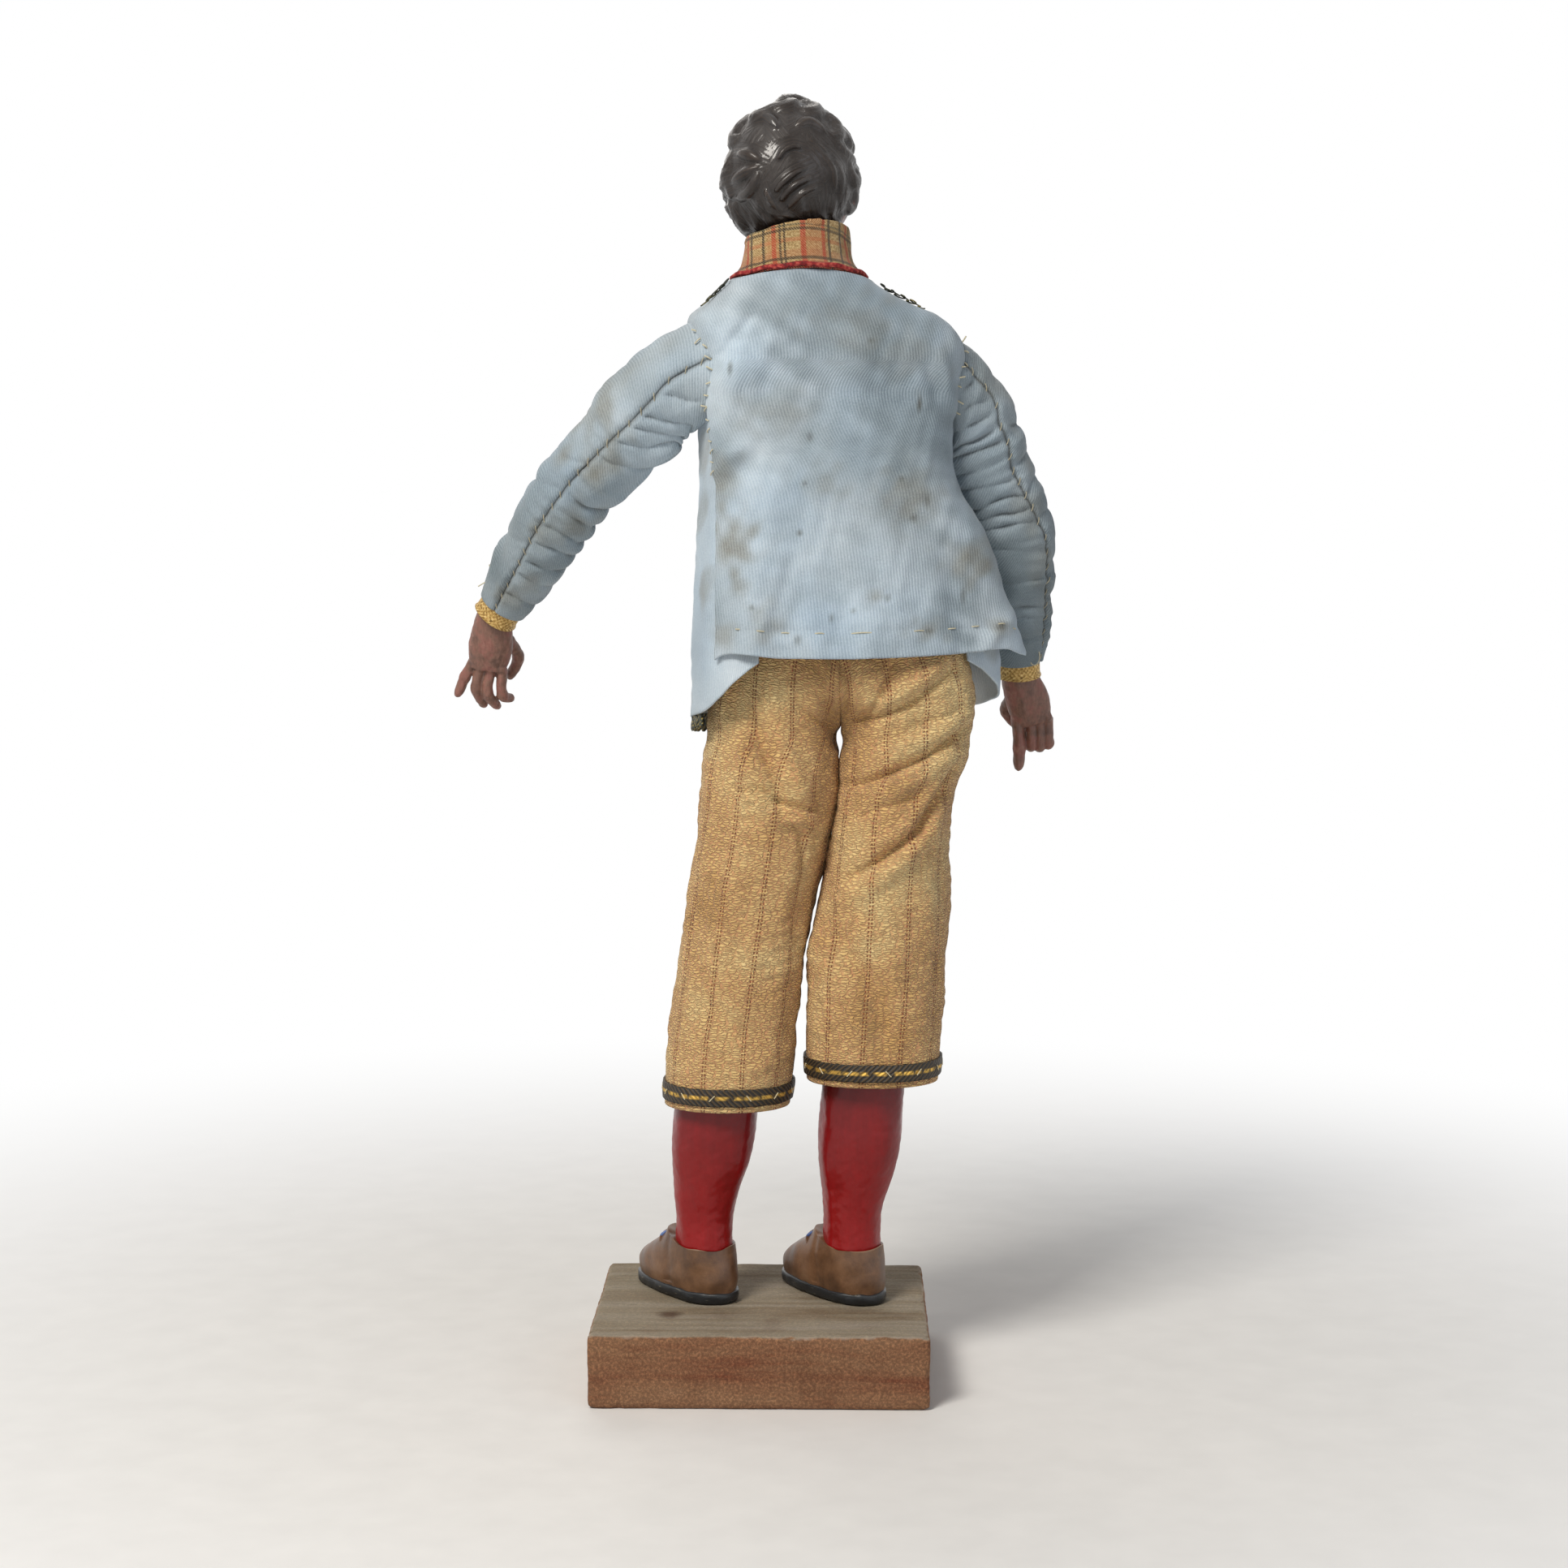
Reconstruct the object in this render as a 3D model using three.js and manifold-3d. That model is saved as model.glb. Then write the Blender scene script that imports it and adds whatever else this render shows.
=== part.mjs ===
import * as THREE from 'three';
import { LoftGeometry } from 'three/addons/geometries/LoftGeometry.js';
import { RoundedBoxGeometry } from 'three/addons/geometries/RoundedBoxGeometry.js';
import { mergeVertices } from 'three/addons/utils/BufferGeometryUtils.js';
import Module from 'manifold-3d';

// A dressed crib figure on its wooden block. It faces -Y, its left is +X and +Z is up.
// Lengths are in millimetres, angles in degrees, and heights of the figure start at its soles.

// Wooden block and pins
const BASE_WIDTH = 105;
const BASE_DEPTH = 85;
const BASE_HEIGHT = 23;
const BASE_EDGE = 1.5;
const PIN_DIAMETER = 3;
const PIN_IN_BLOCK = 15;
const PIN_IN_LEG = 12;

// Gap between pieces that touch, and the armature wire
const FIT = 0.3;
const WIRE_DIAMETER = 2.4;
const WIRE_IN_WOOD = 18;
const WIRE_BEND_GAP = 0.7;

// Carved legs: the shoe, then the stocking up to the wooden top under the breeches
const FEET_TURN = 42;
const SHOE_LENGTH = 45;
const SHOE_WIDTH = 18;
const SHOE_HEIGHT = 17;
const TONGUE_WIDTH = 14.4;
const TONGUE_HEIGHT = 11;
const TONGUE_THICKNESS = 3;
const TONGUE_LEAN = 25;
const BOW_WIDTH = 11;
const BOW_HEIGHT = 4.6;
const BOW_THICKNESS = 3.2;
const SOLE_THICKNESS = 3.2;
const SOLE_EDGE = 0.6;
const TOE_HEIGHT = 11;
const HEEL_TO_ANKLE = 12;
const ANKLE_WIDTH = 18.5;
const ANKLE_HEIGHT = 27;
const CALF_WIDTH = 27;
const CALF_HEIGHT = 60;
const KNEE_WIDTH = 23;
const LEG_HEIGHT = 96;

// Middle line of each leg: height, x, y
const LEFT_LEG = [
  [0, 18, -1], [27, 18, -1], [60, 15, -1], [96, 11, -2], [140, 2, -1], [180, -9, 0],
];
const RIGHT_LEG = [
  [0, -29.3, -1], [27, -29.3, -1], [60, -31.4, -1], [96, -35, -2], [140, -38.5, -1], [180, -41, 0],
];

// Tow wound on the wires
const THIGH_TOW = 27;
const PELVIS_ABOVE_CROTCH = 6;
const WAIST_HEIGHT = 214;
const TOW_TO_WAIST = 4;
const TRUNK_TOP = 292;
const TRUNK_WIDTH = 62;
const TRUNK_DEPTH = 30;
const ARM_TOW = 15;
const FOREARM_TOW = 12.5;
const TOW_TO_BEND = 4;
const TOW_OVER_WIRE = 8;
const LEG_WIRE_IN_PELVIS = 0.68;
const SPINE_IN_BUST = 16;
const TWINE_DIAMETER = 1.2;
const TWINE_ABOVE_WAIST = 12;
const TWINE_LOOPS = 5;
const TWINE_RISE = 10;

// Head of fired clay with its neck and shoulder bust
const HEAD_WIDTH = 36.5;
const HEAD_DEPTH = 43;
const HEAD_HEIGHT = 45.5;
const HEAD_CENTRE = new THREE.Vector3(-9, -4, 353);
const HEAD_TURN = -15;
const HAIR_THICKNESS = 3;
const CURL_HEIGHT = 1.5;
const CURLS_ROUND = 8;
const CURLS_HIGH = 11;
const NECK_DIAMETER = 21;
const NECK_IN_BUST = 14;
const NECK_IN_HEAD = 9;
const BUST_WIDTH = 42;
const BUST_DEPTH = 22;
const BUST_HEIGHT = 24;
const EYE_DIAMETER = 5.2;

// Arms, as points of the figure: the bends of the wire
const TORSO_TURN = 16;
const SHOULDER_SPAN = 77;
const SHOULDER_HEIGHT = 300;
const RIGHT_SHOULDER_DROP = 2;
const SHOULDER_WIRE_BEND = 26;
const SHOULDER_SETBACK = 1;
const LEFT_ELBOW = new THREE.Vector3(59, -6, 258);
const LEFT_WRIST = new THREE.Vector3(86.6, -24, 217.3);
const RIGHT_ELBOW = new THREE.Vector3(-80, -26, 247);
const RIGHT_WRIST = new THREE.Vector3(-83.4, -39, 198);
const WRIST_WIDTH = 12;
const WRIST_DEPTH = 10.4;
const PALM_WIDTH = 14.4;
const WRIST_STUB = 12;
const FINGER_DIAMETER = 3.7;
const POINTING_FINGER = 4.3;
const THUMB_DIAMETER = 4;

// Fingers from the knuckle to the tip, the thumb last
const LEFT_FINGERS = [
  [[93, -27, 205], [97.2, -29, 198], [100.1, -30.5, 191.5]],
  [[92, -27.5, 201], [93.6, -28.5, 194], [91.4, -33.5, 188]],
  [[88.8, -27.5, 200.5], [89.9, -28.5, 192.5], [87, -34, 187.6]],
  [[85, -27.5, 200.5], [85.3, -30, 192], [82.6, -35, 190.4]],
  [[83, -29, 210], [80.6, -35, 204], [84, -38.5, 197]],
];
const RIGHT_FINGERS = [
  [[-93, -41.5, 184], [-93.4, -42.5, 175.4], [-93, -47.5, 176.2], [-92.2, -48, 182]],
  [[-90.4, -41.5, 183], [-90.6, -42.5, 174.6], [-90.2, -48, 175], [-89.8, -48, 181]],
  [[-87.6, -41.5, 183], [-87.9, -42.5, 174.8], [-87.2, -48, 175], [-86.6, -48, 181]],
  [[-83, -41.5, 184], [-83.8, -42, 174], [-83.6, -42.5, 166.8]],
  [[-82, -42, 192], [-79.6, -48, 186], [-84, -51.5, 180]],
];

// Cloth
const JACKET_CLOTH = 0.7;
const BREECHES_CLOTH = 0.8;
const SHIRT_CLOTH = 0.7;
const SHIRT_UNDER_JACKET = 1.6;
const SHIRT_SPREAD = 46;
const SHIRT_ABOVE_BREECHES = 5.5;
const SHIRT_TUCK = 4;
const COLLAR_CLOTH = 1.2;
const COLLAR_HEIGHT = 14;
const COLLAR_WIDTH = 42;
const COLLAR_TOP_WIDTH = 32.8;
const COLLAR_BACK = 17;
const COLLAR_FRONT = 16.5;
const VENT_OVERLAP = 1.4;
const VENT_TOP = 280;
const BACK_HEM = 207;
const LEFT_SIDE_HEM = 190;
const RIGHT_SIDE_HEM = 193;
const FRONT_HEM = 184;
const FRONT_EDGE_ANGLE = -70;
const NECKLINE = 322;
const NECKLINE_BACK_RISE = 2.5;
const NECKLINE_FRONT_DROP = 11;
const ARMHOLE_HEIGHT = 33;
const ARMHOLE_DEPTH = 25;
const ARMHOLE_SPAN = 73;
const ARMHOLE_DROP = 4;
const SLEEVE_WIDTH = 26;
const ELBOW_WIDTH = 24.6;
const SLEEVE_END = 16;
const SLEEVE_FOLDS = 0.7;
const SLEEVE_SHORT_OF_WRIST = 0.1;
const CUFF_RIBBON = 0.5;
const CUFF_LENGTH = 10;
const CUFF_SHOWS = 5;
const BREECHES_ABOVE_WAIST = 5;
const BREECHES_RISE = 35;
const LEFT_BREECHES_HEM = 64;
const RIGHT_BREECHES_HEM = 72;
const KNEE_BRAID_HEIGHT = 5.5;
const KNEE_BRAID_ABOVE_HEM = 2;
const BRAID_THICKNESS = 0.8;
const FRONT_BRAID_ANGLE = 7;
const HEM_FOLDS = 1.6;
const BREECHES_FOLDS = 0.8;
const BREECHES_SETBACK = 1;
const SEAT_TUCK = 3.5;
const LEG_INTO_SEAT = 0.375;

const wasm = await Module();
wasm.setup();

const BREECHES_TOP = WAIST_HEIGHT + BREECHES_ABOVE_WAIST;
const CROTCH_HEIGHT = WAIST_HEIGHT - BREECHES_RISE;
const THIGH_TOP = CROTCH_HEIGHT;
const PELVIS_BOTTOM = CROTCH_HEIGHT + PELVIS_ABOVE_CROTCH;
const PELVIS_TOP = WAIST_HEIGHT - TOW_TO_WAIST;
const TRUNK_BOTTOM = WAIST_HEIGHT + TOW_TO_WAIST;

const radians = THREE.MathUtils.degToRad;
const point = (x, y, z) => new THREE.Vector3(x, y, z);
const blend = THREE.MathUtils.lerp;

// A smooth curve of values through [position, value] pairs, level beyond its ends.
function through(...pairs) {
  const last = pairs.length - 1;
  const slope = (i) => {
    const before = pairs[Math.max(i - 1, 0)];
    const after = pairs[Math.min(i + 1, last)];
    return (after[1] - before[1]) / (after[0] - before[0]);
  };
  return (at) => {
    if (at <= pairs[0][0]) return pairs[0][1];
    if (at >= pairs[last][0]) return pairs[last][1];
    const k = pairs.findIndex((pair) => pair[0] > at) - 1;
    const span = pairs[k + 1][0] - pairs[k][0];
    const t = (at - pairs[k][0]) / span;
    const rise = (1 - t) * slope(k) - t * slope(k + 1);
    const bow = t * (1 - t) * span * (rise + (2 * t - 1) * (pairs[k + 1][1] - pairs[k][1]) / span);
    return blend(pairs[k][1], pairs[k + 1][1], t) + bow;
  };
}

// One closed surface facing out, with equal points merged.
function closed(geometry) {
  const bare = new THREE.BufferGeometry();
  bare.setAttribute('position', geometry.getAttribute('position'));
  bare.setIndex(geometry.getIndex());
  const merged = mergeVertices(bare, 1e-3);
  const all = merged.getIndex().array;
  const place = merged.getAttribute('position');
  const corner = (i) => new THREE.Vector3().fromBufferAttribute(place, i);
  const kept = [];
  let volume = 0;
  for (let i = 0; i < all.length; i += 3) {
    const [a, b, c] = all.slice(i, i + 3);
    if (a === b || b === c || c === a) continue;
    volume += corner(a).dot(corner(b).cross(corner(c)));
    kept.push([a, b, c]);
  }
  const order = volume < 0 ? kept.map(([a, b, c]) => [a, c, b]) : kept;
  merged.setIndex(order.flat());
  return merged;
}

const solidOf = (geometry) => new wasm.Manifold(new wasm.Mesh({
  numProp: 3,
  vertProperties: geometry.getAttribute('position').array,
  triVerts: new Uint32Array(geometry.getIndex().array),
}));

function geometryOf(solid) {
  const mesh = solid.getMesh();
  const geometry = new THREE.BufferGeometry();
  geometry.setAttribute('position', new THREE.BufferAttribute(mesh.vertProperties, 3));
  geometry.setIndex(new THREE.BufferAttribute(mesh.triVerts, 1));
  return geometry;
}

const joined = (...pieces) => geometryOf(pieces.map(solidOf).reduce((all, piece) => all.add(piece)));
const cut = (piece, ...tools) => {
  const left = tools.reduce((rest, tool) => rest.subtract(solidOf(tool)), solidOf(piece));
  return geometryOf(left);
};

// A ring of points in the plane of two axes; a power above 2 squares it off.
function ring(centre, across, along, halfAcross, halfAlong, sides, power = 2) {
  const soft = (value) => Math.sign(value) * Math.abs(value) ** (2 / power);
  return Array.from({ length: sides }, (_, i) => {
    const angle = (i / sides) * 2 * Math.PI;
    return centre.clone()
      .addScaledVector(across, halfAcross * soft(Math.cos(angle)))
      .addScaledVector(along, halfAlong * soft(Math.sin(angle)));
  });
}

const stack = (sections) => closed(new LoftGeometry(sections, { capStart: true, capEnd: true }));
const shell = (outer, inner) => closed(new LoftGeometry([...outer, ...inner.toReversed(), outer[0]]));

// A thin sheet between two grids of points, closed round its rim.
function sheet(outer, inner) {
  const loop = (front, back) => [...front, ...back.toReversed()];
  const rim = (row) => {
    const middle = outer[row].map((p, i) => p.clone().lerp(inner[row][i], 0.5));
    return loop(middle, middle);
  };
  const rows = outer.map((front, row) => loop(front, inner[row]));
  return closed(new LoftGeometry([rim(0), ...rows, rim(outer.length - 1)]));
}

const grid = (rows, columns, at) => Array.from({ length: rows + 1 }, (_, r) =>
  Array.from({ length: columns + 1 }, (_unused, c) => at(c / columns, r / rows)));

// Cross axes of a curve at t, the first one as near as can be to a wanted direction.
function axesAt(curve, t, wanted) {
  const along = curve.getTangentAt(t);
  const first = wanted.clone().addScaledVector(along, -wanted.dot(along)).normalize();
  return [first, along.clone().cross(first)];
}

// A round rod along points; halfAt gives its half widths at each t, and the first end may be a dome.
function rod(points, halfAt, { sides = 8, rows = 8, wanted = point(0, 1, 0), dome = false } = {}) {
  const curve = new THREE.CatmullRomCurve3(points, false, 'centripetal');
  const section = (t) => {
    const [first, second] = axesAt(curve, t, wanted);
    const [a, b] = [halfAt(t)].flat();
    return ring(curve.getPointAt(t), first, second, a, b ?? a, sides);
  };
  const sections = Array.from({ length: rows + 1 }, (_, i) => section(i / rows));
  if (dome) {
    const [first, second] = axesAt(curve, 0, wanted);
    const start = curve.getPointAt(0);
    const back = curve.getTangentAt(0).negate();
    const half = [halfAt(0)].flat()[0];
    const caps = [80, 45].map((angle) => ring(
      start.clone().addScaledVector(back, half * Math.sin(radians(angle))), first, second,
      half * Math.cos(radians(angle)), half * Math.cos(radians(angle)), sides,
    ));
    sections.unshift(...caps);
  }
  return stack(sections);
}

const wireHalf = WIRE_DIAMETER / 2;
const rowsFor = (points) => (points.length > 2 ? 10 : 1);
const wire = (points, options = {}) => rod(points, () => wireHalf, { rows: rowsFor(points), ...options });
const bore = (points) => rod(points, () => wireHalf + FIT, { rows: rowsFor(points) });

const root = new THREE.Group();
root.name = 'nativity_figure';
const figure = new THREE.Group();
figure.position.z = BASE_HEIGHT;
root.add(figure);

function add(parent, name, geometry, color, roughness, metalness = 0) {
  const mesh = new THREE.Mesh(geometry, new THREE.MeshStandardMaterial({ color, roughness, metalness }));
  mesh.name = name;
  parent.add(mesh);
}

// Legs and pins
const legX = (path) => through(...path.map(([height, x]) => [height, x]));
const legY = (path) => through(...path.map(([height, , y]) => [height, y]));
const legPoint = (path, height) => point(legX(path)(height), legY(path)(height), height);

function footSection(path, height, back, front, half) {
  const centre = legPoint(path, height);
  const turn = radians(FEET_TURN - 90);
  const sides = 18;
  return Array.from({ length: sides }, (_, i) => {
    const angle = (i / sides) * 2 * Math.PI;
    const ahead = Math.cos(angle);
    const side = Math.sin(angle) * half * (ahead < 0 ? 1 + 0.12 * ahead : 1);
    const reach = Math.sign(ahead) * Math.abs(ahead) ** 0.85 * (ahead > 0 ? front : back);
    return point(
      centre.x + reach * Math.cos(turn) - side * Math.sin(turn),
      centre.y + reach * Math.sin(turn) + side * Math.cos(turn),
      height,
    );
  });
}

// A rounded lump on the instep, given its size across, along and up, and how far its top leans ahead.
function instepLump(path, ahead, height, [across, along, up], lean) {
  const turn = radians(FEET_TURN - 90);
  const lump = new THREE.SphereGeometry(0.5, 14, 8).scale(across, along, up);
  lump.rotateX(-radians(lean)).rotateZ(turn - Math.PI / 2);
  const foot = legPoint(path, 0);
  return closed(lump.translate(foot.x + ahead * Math.cos(turn), foot.y + ahead * Math.sin(turn), height));
}

const pinRod = (ends, grow) => rod(ends, () => PIN_DIAMETER / 2 + grow, { rows: 1 });

function carvedLeg(path) {
  const toe = SHOE_LENGTH - HEEL_TO_ANKLE;
  const half = SHOE_WIDTH / 2;
  const ankle = ANKLE_WIDTH / 2;
  const calf = CALF_WIDTH / 2;
  const knee = KNEE_WIDTH / 2;
  const instep = (SHOE_HEIGHT + TOE_HEIGHT) / 2;
  const levels = [
    [0, HEEL_TO_ANKLE - SOLE_EDGE, toe - SOLE_EDGE, half - SOLE_EDGE],
    [SOLE_EDGE, HEEL_TO_ANKLE, toe, half],
    [SOLE_THICKNESS - 0.2, HEEL_TO_ANKLE, toe, half],
    [SOLE_THICKNESS, HEEL_TO_ANKLE - SOLE_EDGE, toe - SOLE_EDGE, half - SOLE_EDGE],
    [(SOLE_THICKNESS + TOE_HEIGHT) / 2, HEEL_TO_ANKLE - SOLE_EDGE, toe - 1, half],
    [TOE_HEIGHT - 1.5, HEEL_TO_ANKLE - 1, toe * 0.88, half * 0.98],
    [TOE_HEIGHT, HEEL_TO_ANKLE - 1, toe * 0.74, half * 0.95],
    [instep, HEEL_TO_ANKLE - 1.2, toe * 0.52, half],
    [SHOE_HEIGHT, HEEL_TO_ANKLE - 0.8, toe * 0.45, half * 1.06],
    [SHOE_HEIGHT + 0.4, ankle * 1.05, ankle * 1.15, ankle],
    [ANKLE_HEIGHT, ankle, ankle * 1.05, ankle],
    [(ANKLE_HEIGHT + CALF_HEIGHT) / 2,
      blend(ankle, calf, 0.62), blend(ankle, calf, 0.45), blend(ankle, calf, 0.5)],
    [CALF_HEIGHT, calf * 1.08, calf * 0.95, calf],
    [(CALF_HEIGHT + LEG_HEIGHT) / 2, blend(calf, knee, 0.4), calf * 0.92, blend(calf, knee, 0.4)],
    [LEG_HEIGHT, knee, knee, knee],
  ];
  const leg = stack(levels.map((level) => footSection(path, ...level)));
  const overInstep = toe * 0.45;
  const tongueSize = [TONGUE_WIDTH, TONGUE_THICKNESS, TONGUE_HEIGHT];
  const tongue = instepLump(path, overInstep, SHOE_HEIGHT - TONGUE_HEIGHT * 0.25, tongueSize, TONGUE_LEAN);
  const bowSize = [BOW_WIDTH, BOW_THICKNESS, BOW_HEIGHT];
  const bow = instepLump(path, overInstep + TONGUE_THICKNESS / 2, SHOE_HEIGHT + 1, bowSize, TONGUE_LEAN);
  const whole = joined(leg, tongue, bow);
  const pinHole = pinRod([legPoint(path, -1), legPoint(path, PIN_IN_LEG + FIT)], FIT);
  const wireHole = bore([legPoint(path, LEG_HEIGHT - WIRE_IN_WOOD - FIT), legPoint(path, LEG_HEIGHT + 1)]);
  return cut(whole, pinHole, wireHole);
}

const pinEnds = (path) => [legPoint(path, -PIN_IN_BLOCK), legPoint(path, PIN_IN_LEG)];
const block = new RoundedBoxGeometry(BASE_WIDTH, BASE_DEPTH, BASE_HEIGHT, 2, BASE_EDGE);
block.translate(0, 0, BASE_HEIGHT / 2);
const blockHoles = [LEFT_LEG, RIGHT_LEG].map((path) => {
  const [low] = pinEnds(path);
  const hole = pinRod([low.clone().setZ(low.z - FIT), low.clone().setZ(1)], FIT);
  return hole.translate(0, 0, BASE_HEIGHT);
});
add(root, 'base_block', cut(closed(block), ...blockHoles), 0x8a6a4c, 0.8);

const legs = [['left', LEFT_LEG, 1], ['right', RIGHT_LEG, -1]];
for (const [side, path] of legs) {
  add(figure, `${side}_foot_pin`, pinRod(pinEnds(path), 0), 0x4a4540, 0.5, 0.9);
  add(figure, `${side}_leg`, carvedLeg(path).translate(0, 0, FIT), 0x951b20, 0.45);
}

// Trunk axis: its x at each height, and points given as left, back and height of the turned trunk
const spineX = through(
  [150, -24], [190, -25], [214, -24], [270, -20.5], [300, -20], [312, -17], [322, -12], [335, -11],
);
const turnX = Math.cos(radians(TORSO_TURN));
const turnY = Math.sin(radians(TORSO_TURN));
const leftward = point(turnX, turnY, 0);
const backward = point(-turnY, turnX, 0);
const body = (left, back, height) => point(spineX(height), 0, height)
  .addScaledVector(leftward, left)
  .addScaledVector(backward, back);

// Level sections of stuffing: each level is a share of the height between low and high, and a swelling.
const stuffed = (centreAt, [low, high], [wide, deep], sides, levels) => stack(levels.map(([share, swell]) => {
  const height = blend(low, high, share);
  return ring(centreAt(height), leftward, backward, (wide / 2) * swell, (deep / 2) * swell, sides);
}));
const trunkAxis = (height) => body(0, 0, height);

// Leg wires, thighs and pelvis
const legWireLine = (side, path) => [
  legPoint(path, LEG_HEIGHT + FIT - WIRE_IN_WOOD),
  legPoint(path, LEG_HEIGHT),
  legPoint(path, (LEG_HEIGHT + THIGH_TOP) / 2),
  legPoint(path, THIGH_TOP),
  body(side * (WIRE_DIAMETER + 2 * FIT), 0, blend(PELVIS_BOTTOM, PELVIS_TOP, LEG_WIRE_IN_PELVIS)),
];
const legBores = [];
for (const [name, path, side] of legs) {
  const line = legWireLine(side, path);
  legBores.push(bore(line));
  add(figure, `${name}_leg_wire`, wire(line), 0x3f3a36, 0.5, 0.9);
  const ends = [LEG_HEIGHT + 2 * FIT, THIGH_TOP];
  const swelling = [[0, 0.8], [0.2, 0.96], [0.45, 1], [0.75, 0.94], [1, 0.7]];
  const tow = stuffed((height) => legPoint(path, height), ends, [THIGH_TOW, THIGH_TOW], 12, swelling);
  add(figure, `${name}_thigh_tow`, cut(tow, bore(line)), 0xb59a68, 0.95);
}
const pelvisWireLine = [trunkAxis(PELVIS_BOTTOM + wireHalf), trunkAxis(WAIST_HEIGHT - wireHalf - FIT)];
add(figure, 'pelvis_wire', wire(pelvisWireLine), 0x3f3a36, 0.5, 0.9);

// Trunk: spine wire, shoulder wire, tow and its twine
const leftShoulder = body(SHOULDER_SPAN / 2, -SHOULDER_SETBACK, SHOULDER_HEIGHT);
const rightShoulder = body(-SHOULDER_SPAN / 2, -SHOULDER_SETBACK, SHOULDER_HEIGHT - RIGHT_SHOULDER_DROP);
const spineTop = TRUNK_TOP + SPINE_IN_BUST;
const spineLine = [WAIST_HEIGHT, (WAIST_HEIGHT + TRUNK_TOP) / 2, TRUNK_TOP, spineTop].map(trunkAxis);
const apart = (from, to, distance) => {
  const along = to.clone().sub(from).normalize();
  return from.clone().addScaledVector(along, distance);
};
const shoulderBehind = WIRE_DIAMETER + 2 * FIT;
const leftInner = body(SHOULDER_WIRE_BEND, shoulderBehind, TRUNK_TOP - TOW_OVER_WIRE);
const rightInner = body(-SHOULDER_WIRE_BEND, shoulderBehind, TRUNK_TOP - TOW_OVER_WIRE);
const shoulderLine = [
  apart(leftShoulder, leftInner, wireHalf + WIRE_BEND_GAP),
  leftInner,
  body(0, shoulderBehind, TRUNK_TOP - 1.5 * TOW_OVER_WIRE),
  rightInner,
  apart(rightShoulder, rightInner, wireHalf + WIRE_BEND_GAP),
];
const trunkLevels = [0, 0.2, 0.45, 0.7, 0.9, 1].map((share) => blend(TRUNK_BOTTOM, TRUNK_TOP, share));
const trunkShare = (height) => (height - TRUNK_BOTTOM) / (TRUNK_TOP - TRUNK_BOTTOM);
const trunkWide = through([0, 0.74], [0.3, 0.88], [0.68, 1], [0.9, 0.98], [1, 0.72]);
const trunkDeep = through([0, 0.72], [0.3, 0.92], [0.68, 1], [0.9, 0.92], [1, 0.6]);
const trunkSides = 16;
const trunkSection = (height, grow) => {
  const halfLeft = (TRUNK_WIDTH / 2) * trunkWide(trunkShare(height)) + grow;
  const halfBack = (TRUNK_DEPTH / 2) * trunkDeep(trunkShare(height)) + grow;
  return ring(trunkAxis(height), leftward, backward, halfLeft, halfBack, trunkSides);
};
const trunk = stack(trunkLevels.map((height) => trunkSection(height, 0)));
const shoulderBore = rod(shoulderLine, () => wireHalf + FIT, { rows: 12 });
add(figure, 'trunk_tow', cut(trunk, bore(spineLine), shoulderBore), 0xb59a68, 0.95);
add(figure, 'spine_wire', wire(spineLine, { dome: true }), 0x3f3a36, 0.5, 0.9);
add(figure, 'shoulder_wire', wire(shoulderLine, { rows: 12 }), 0x3f3a36, 0.5, 0.9);

const twinePoints = Array.from({ length: TWINE_LOOPS * trunkSides + 1 }, (_, i) => {
  const height = WAIST_HEIGHT + TWINE_ABOVE_WAIST + (TWINE_RISE * i) / trunkSides;
  return trunkSection(height, TWINE_DIAMETER / 2 + 2 * FIT)[i % trunkSides];
});
const twineSections = twinePoints.map((centre, i) => {
  const ahead = twinePoints[Math.min(i + 1, twinePoints.length - 1)].clone();
  const along = ahead.sub(twinePoints[Math.max(i - 1, 0)]).normalize();
  const up = point(0, 0, 1).addScaledVector(along, -along.z).normalize();
  return ring(centre, up, along.clone().cross(up), TWINE_DIAMETER / 2, TWINE_DIAMETER / 2, 4);
});
const turnsApart = twinePoints.slice(trunkSides).map((p, i) => p.distanceTo(twinePoints[i]));
const twineGap = Math.min(...turnsApart) - TWINE_DIAMETER;
console.log(`least gap of the twine to itself ${twineGap.toFixed(2)} mm`);
add(figure, 'binding_twine', stack(twineSections), 0x8c7447, 0.95);

// Head, neck and bust in one piece of clay, with two glass eyes
function headRadius(x, y, z) {
  const face = THREE.MathUtils.smoothstep(-y, 0.25, 0.6) * THREE.MathUtils.smoothstep(0.62 - z, 0, 0.2);
  const dome = (u, v, wideU, wideV) => Math.exp(-(((x - u) / wideU) ** 2) - (((z - v) / wideV) ** 2));
  const ahead = y < 0 ? 1 : 0;
  const nose = 5 * dome(0, -0.16, 0.12, 0.13) + 2 * dome(0, 0.08, 0.09, 0.2);
  const sockets = -1.6 * (dome(0.36, 0.1, 0.17, 0.1) + dome(-0.36, 0.1, 0.17, 0.1));
  const brow = 0.7 * dome(0, 0.27, 0.5, 0.09);
  const lips = 1.3 * dome(0, -0.47, 0.2, 0.09) - 0.8 * dome(0, -0.335, 0.25, 0.04);
  const chin = 2.4 * dome(0, -0.8, 0.3, 0.16);
  const around = Math.atan2(y, x);
  const curls = Math.sin(CURLS_ROUND * around + 5 * z) * Math.cos(CURLS_HIGH * z - 2 * around);
  const waves = CURL_HEIGHT * curls * Math.sqrt(1 - z * z);
  const hair = (1 - face) * THREE.MathUtils.smoothstep(z, -0.88, -0.55);
  return ahead * (nose + sockets + brow + lips + chin) * face + hair * (HAIR_THICKNESS + waves);
}

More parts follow.
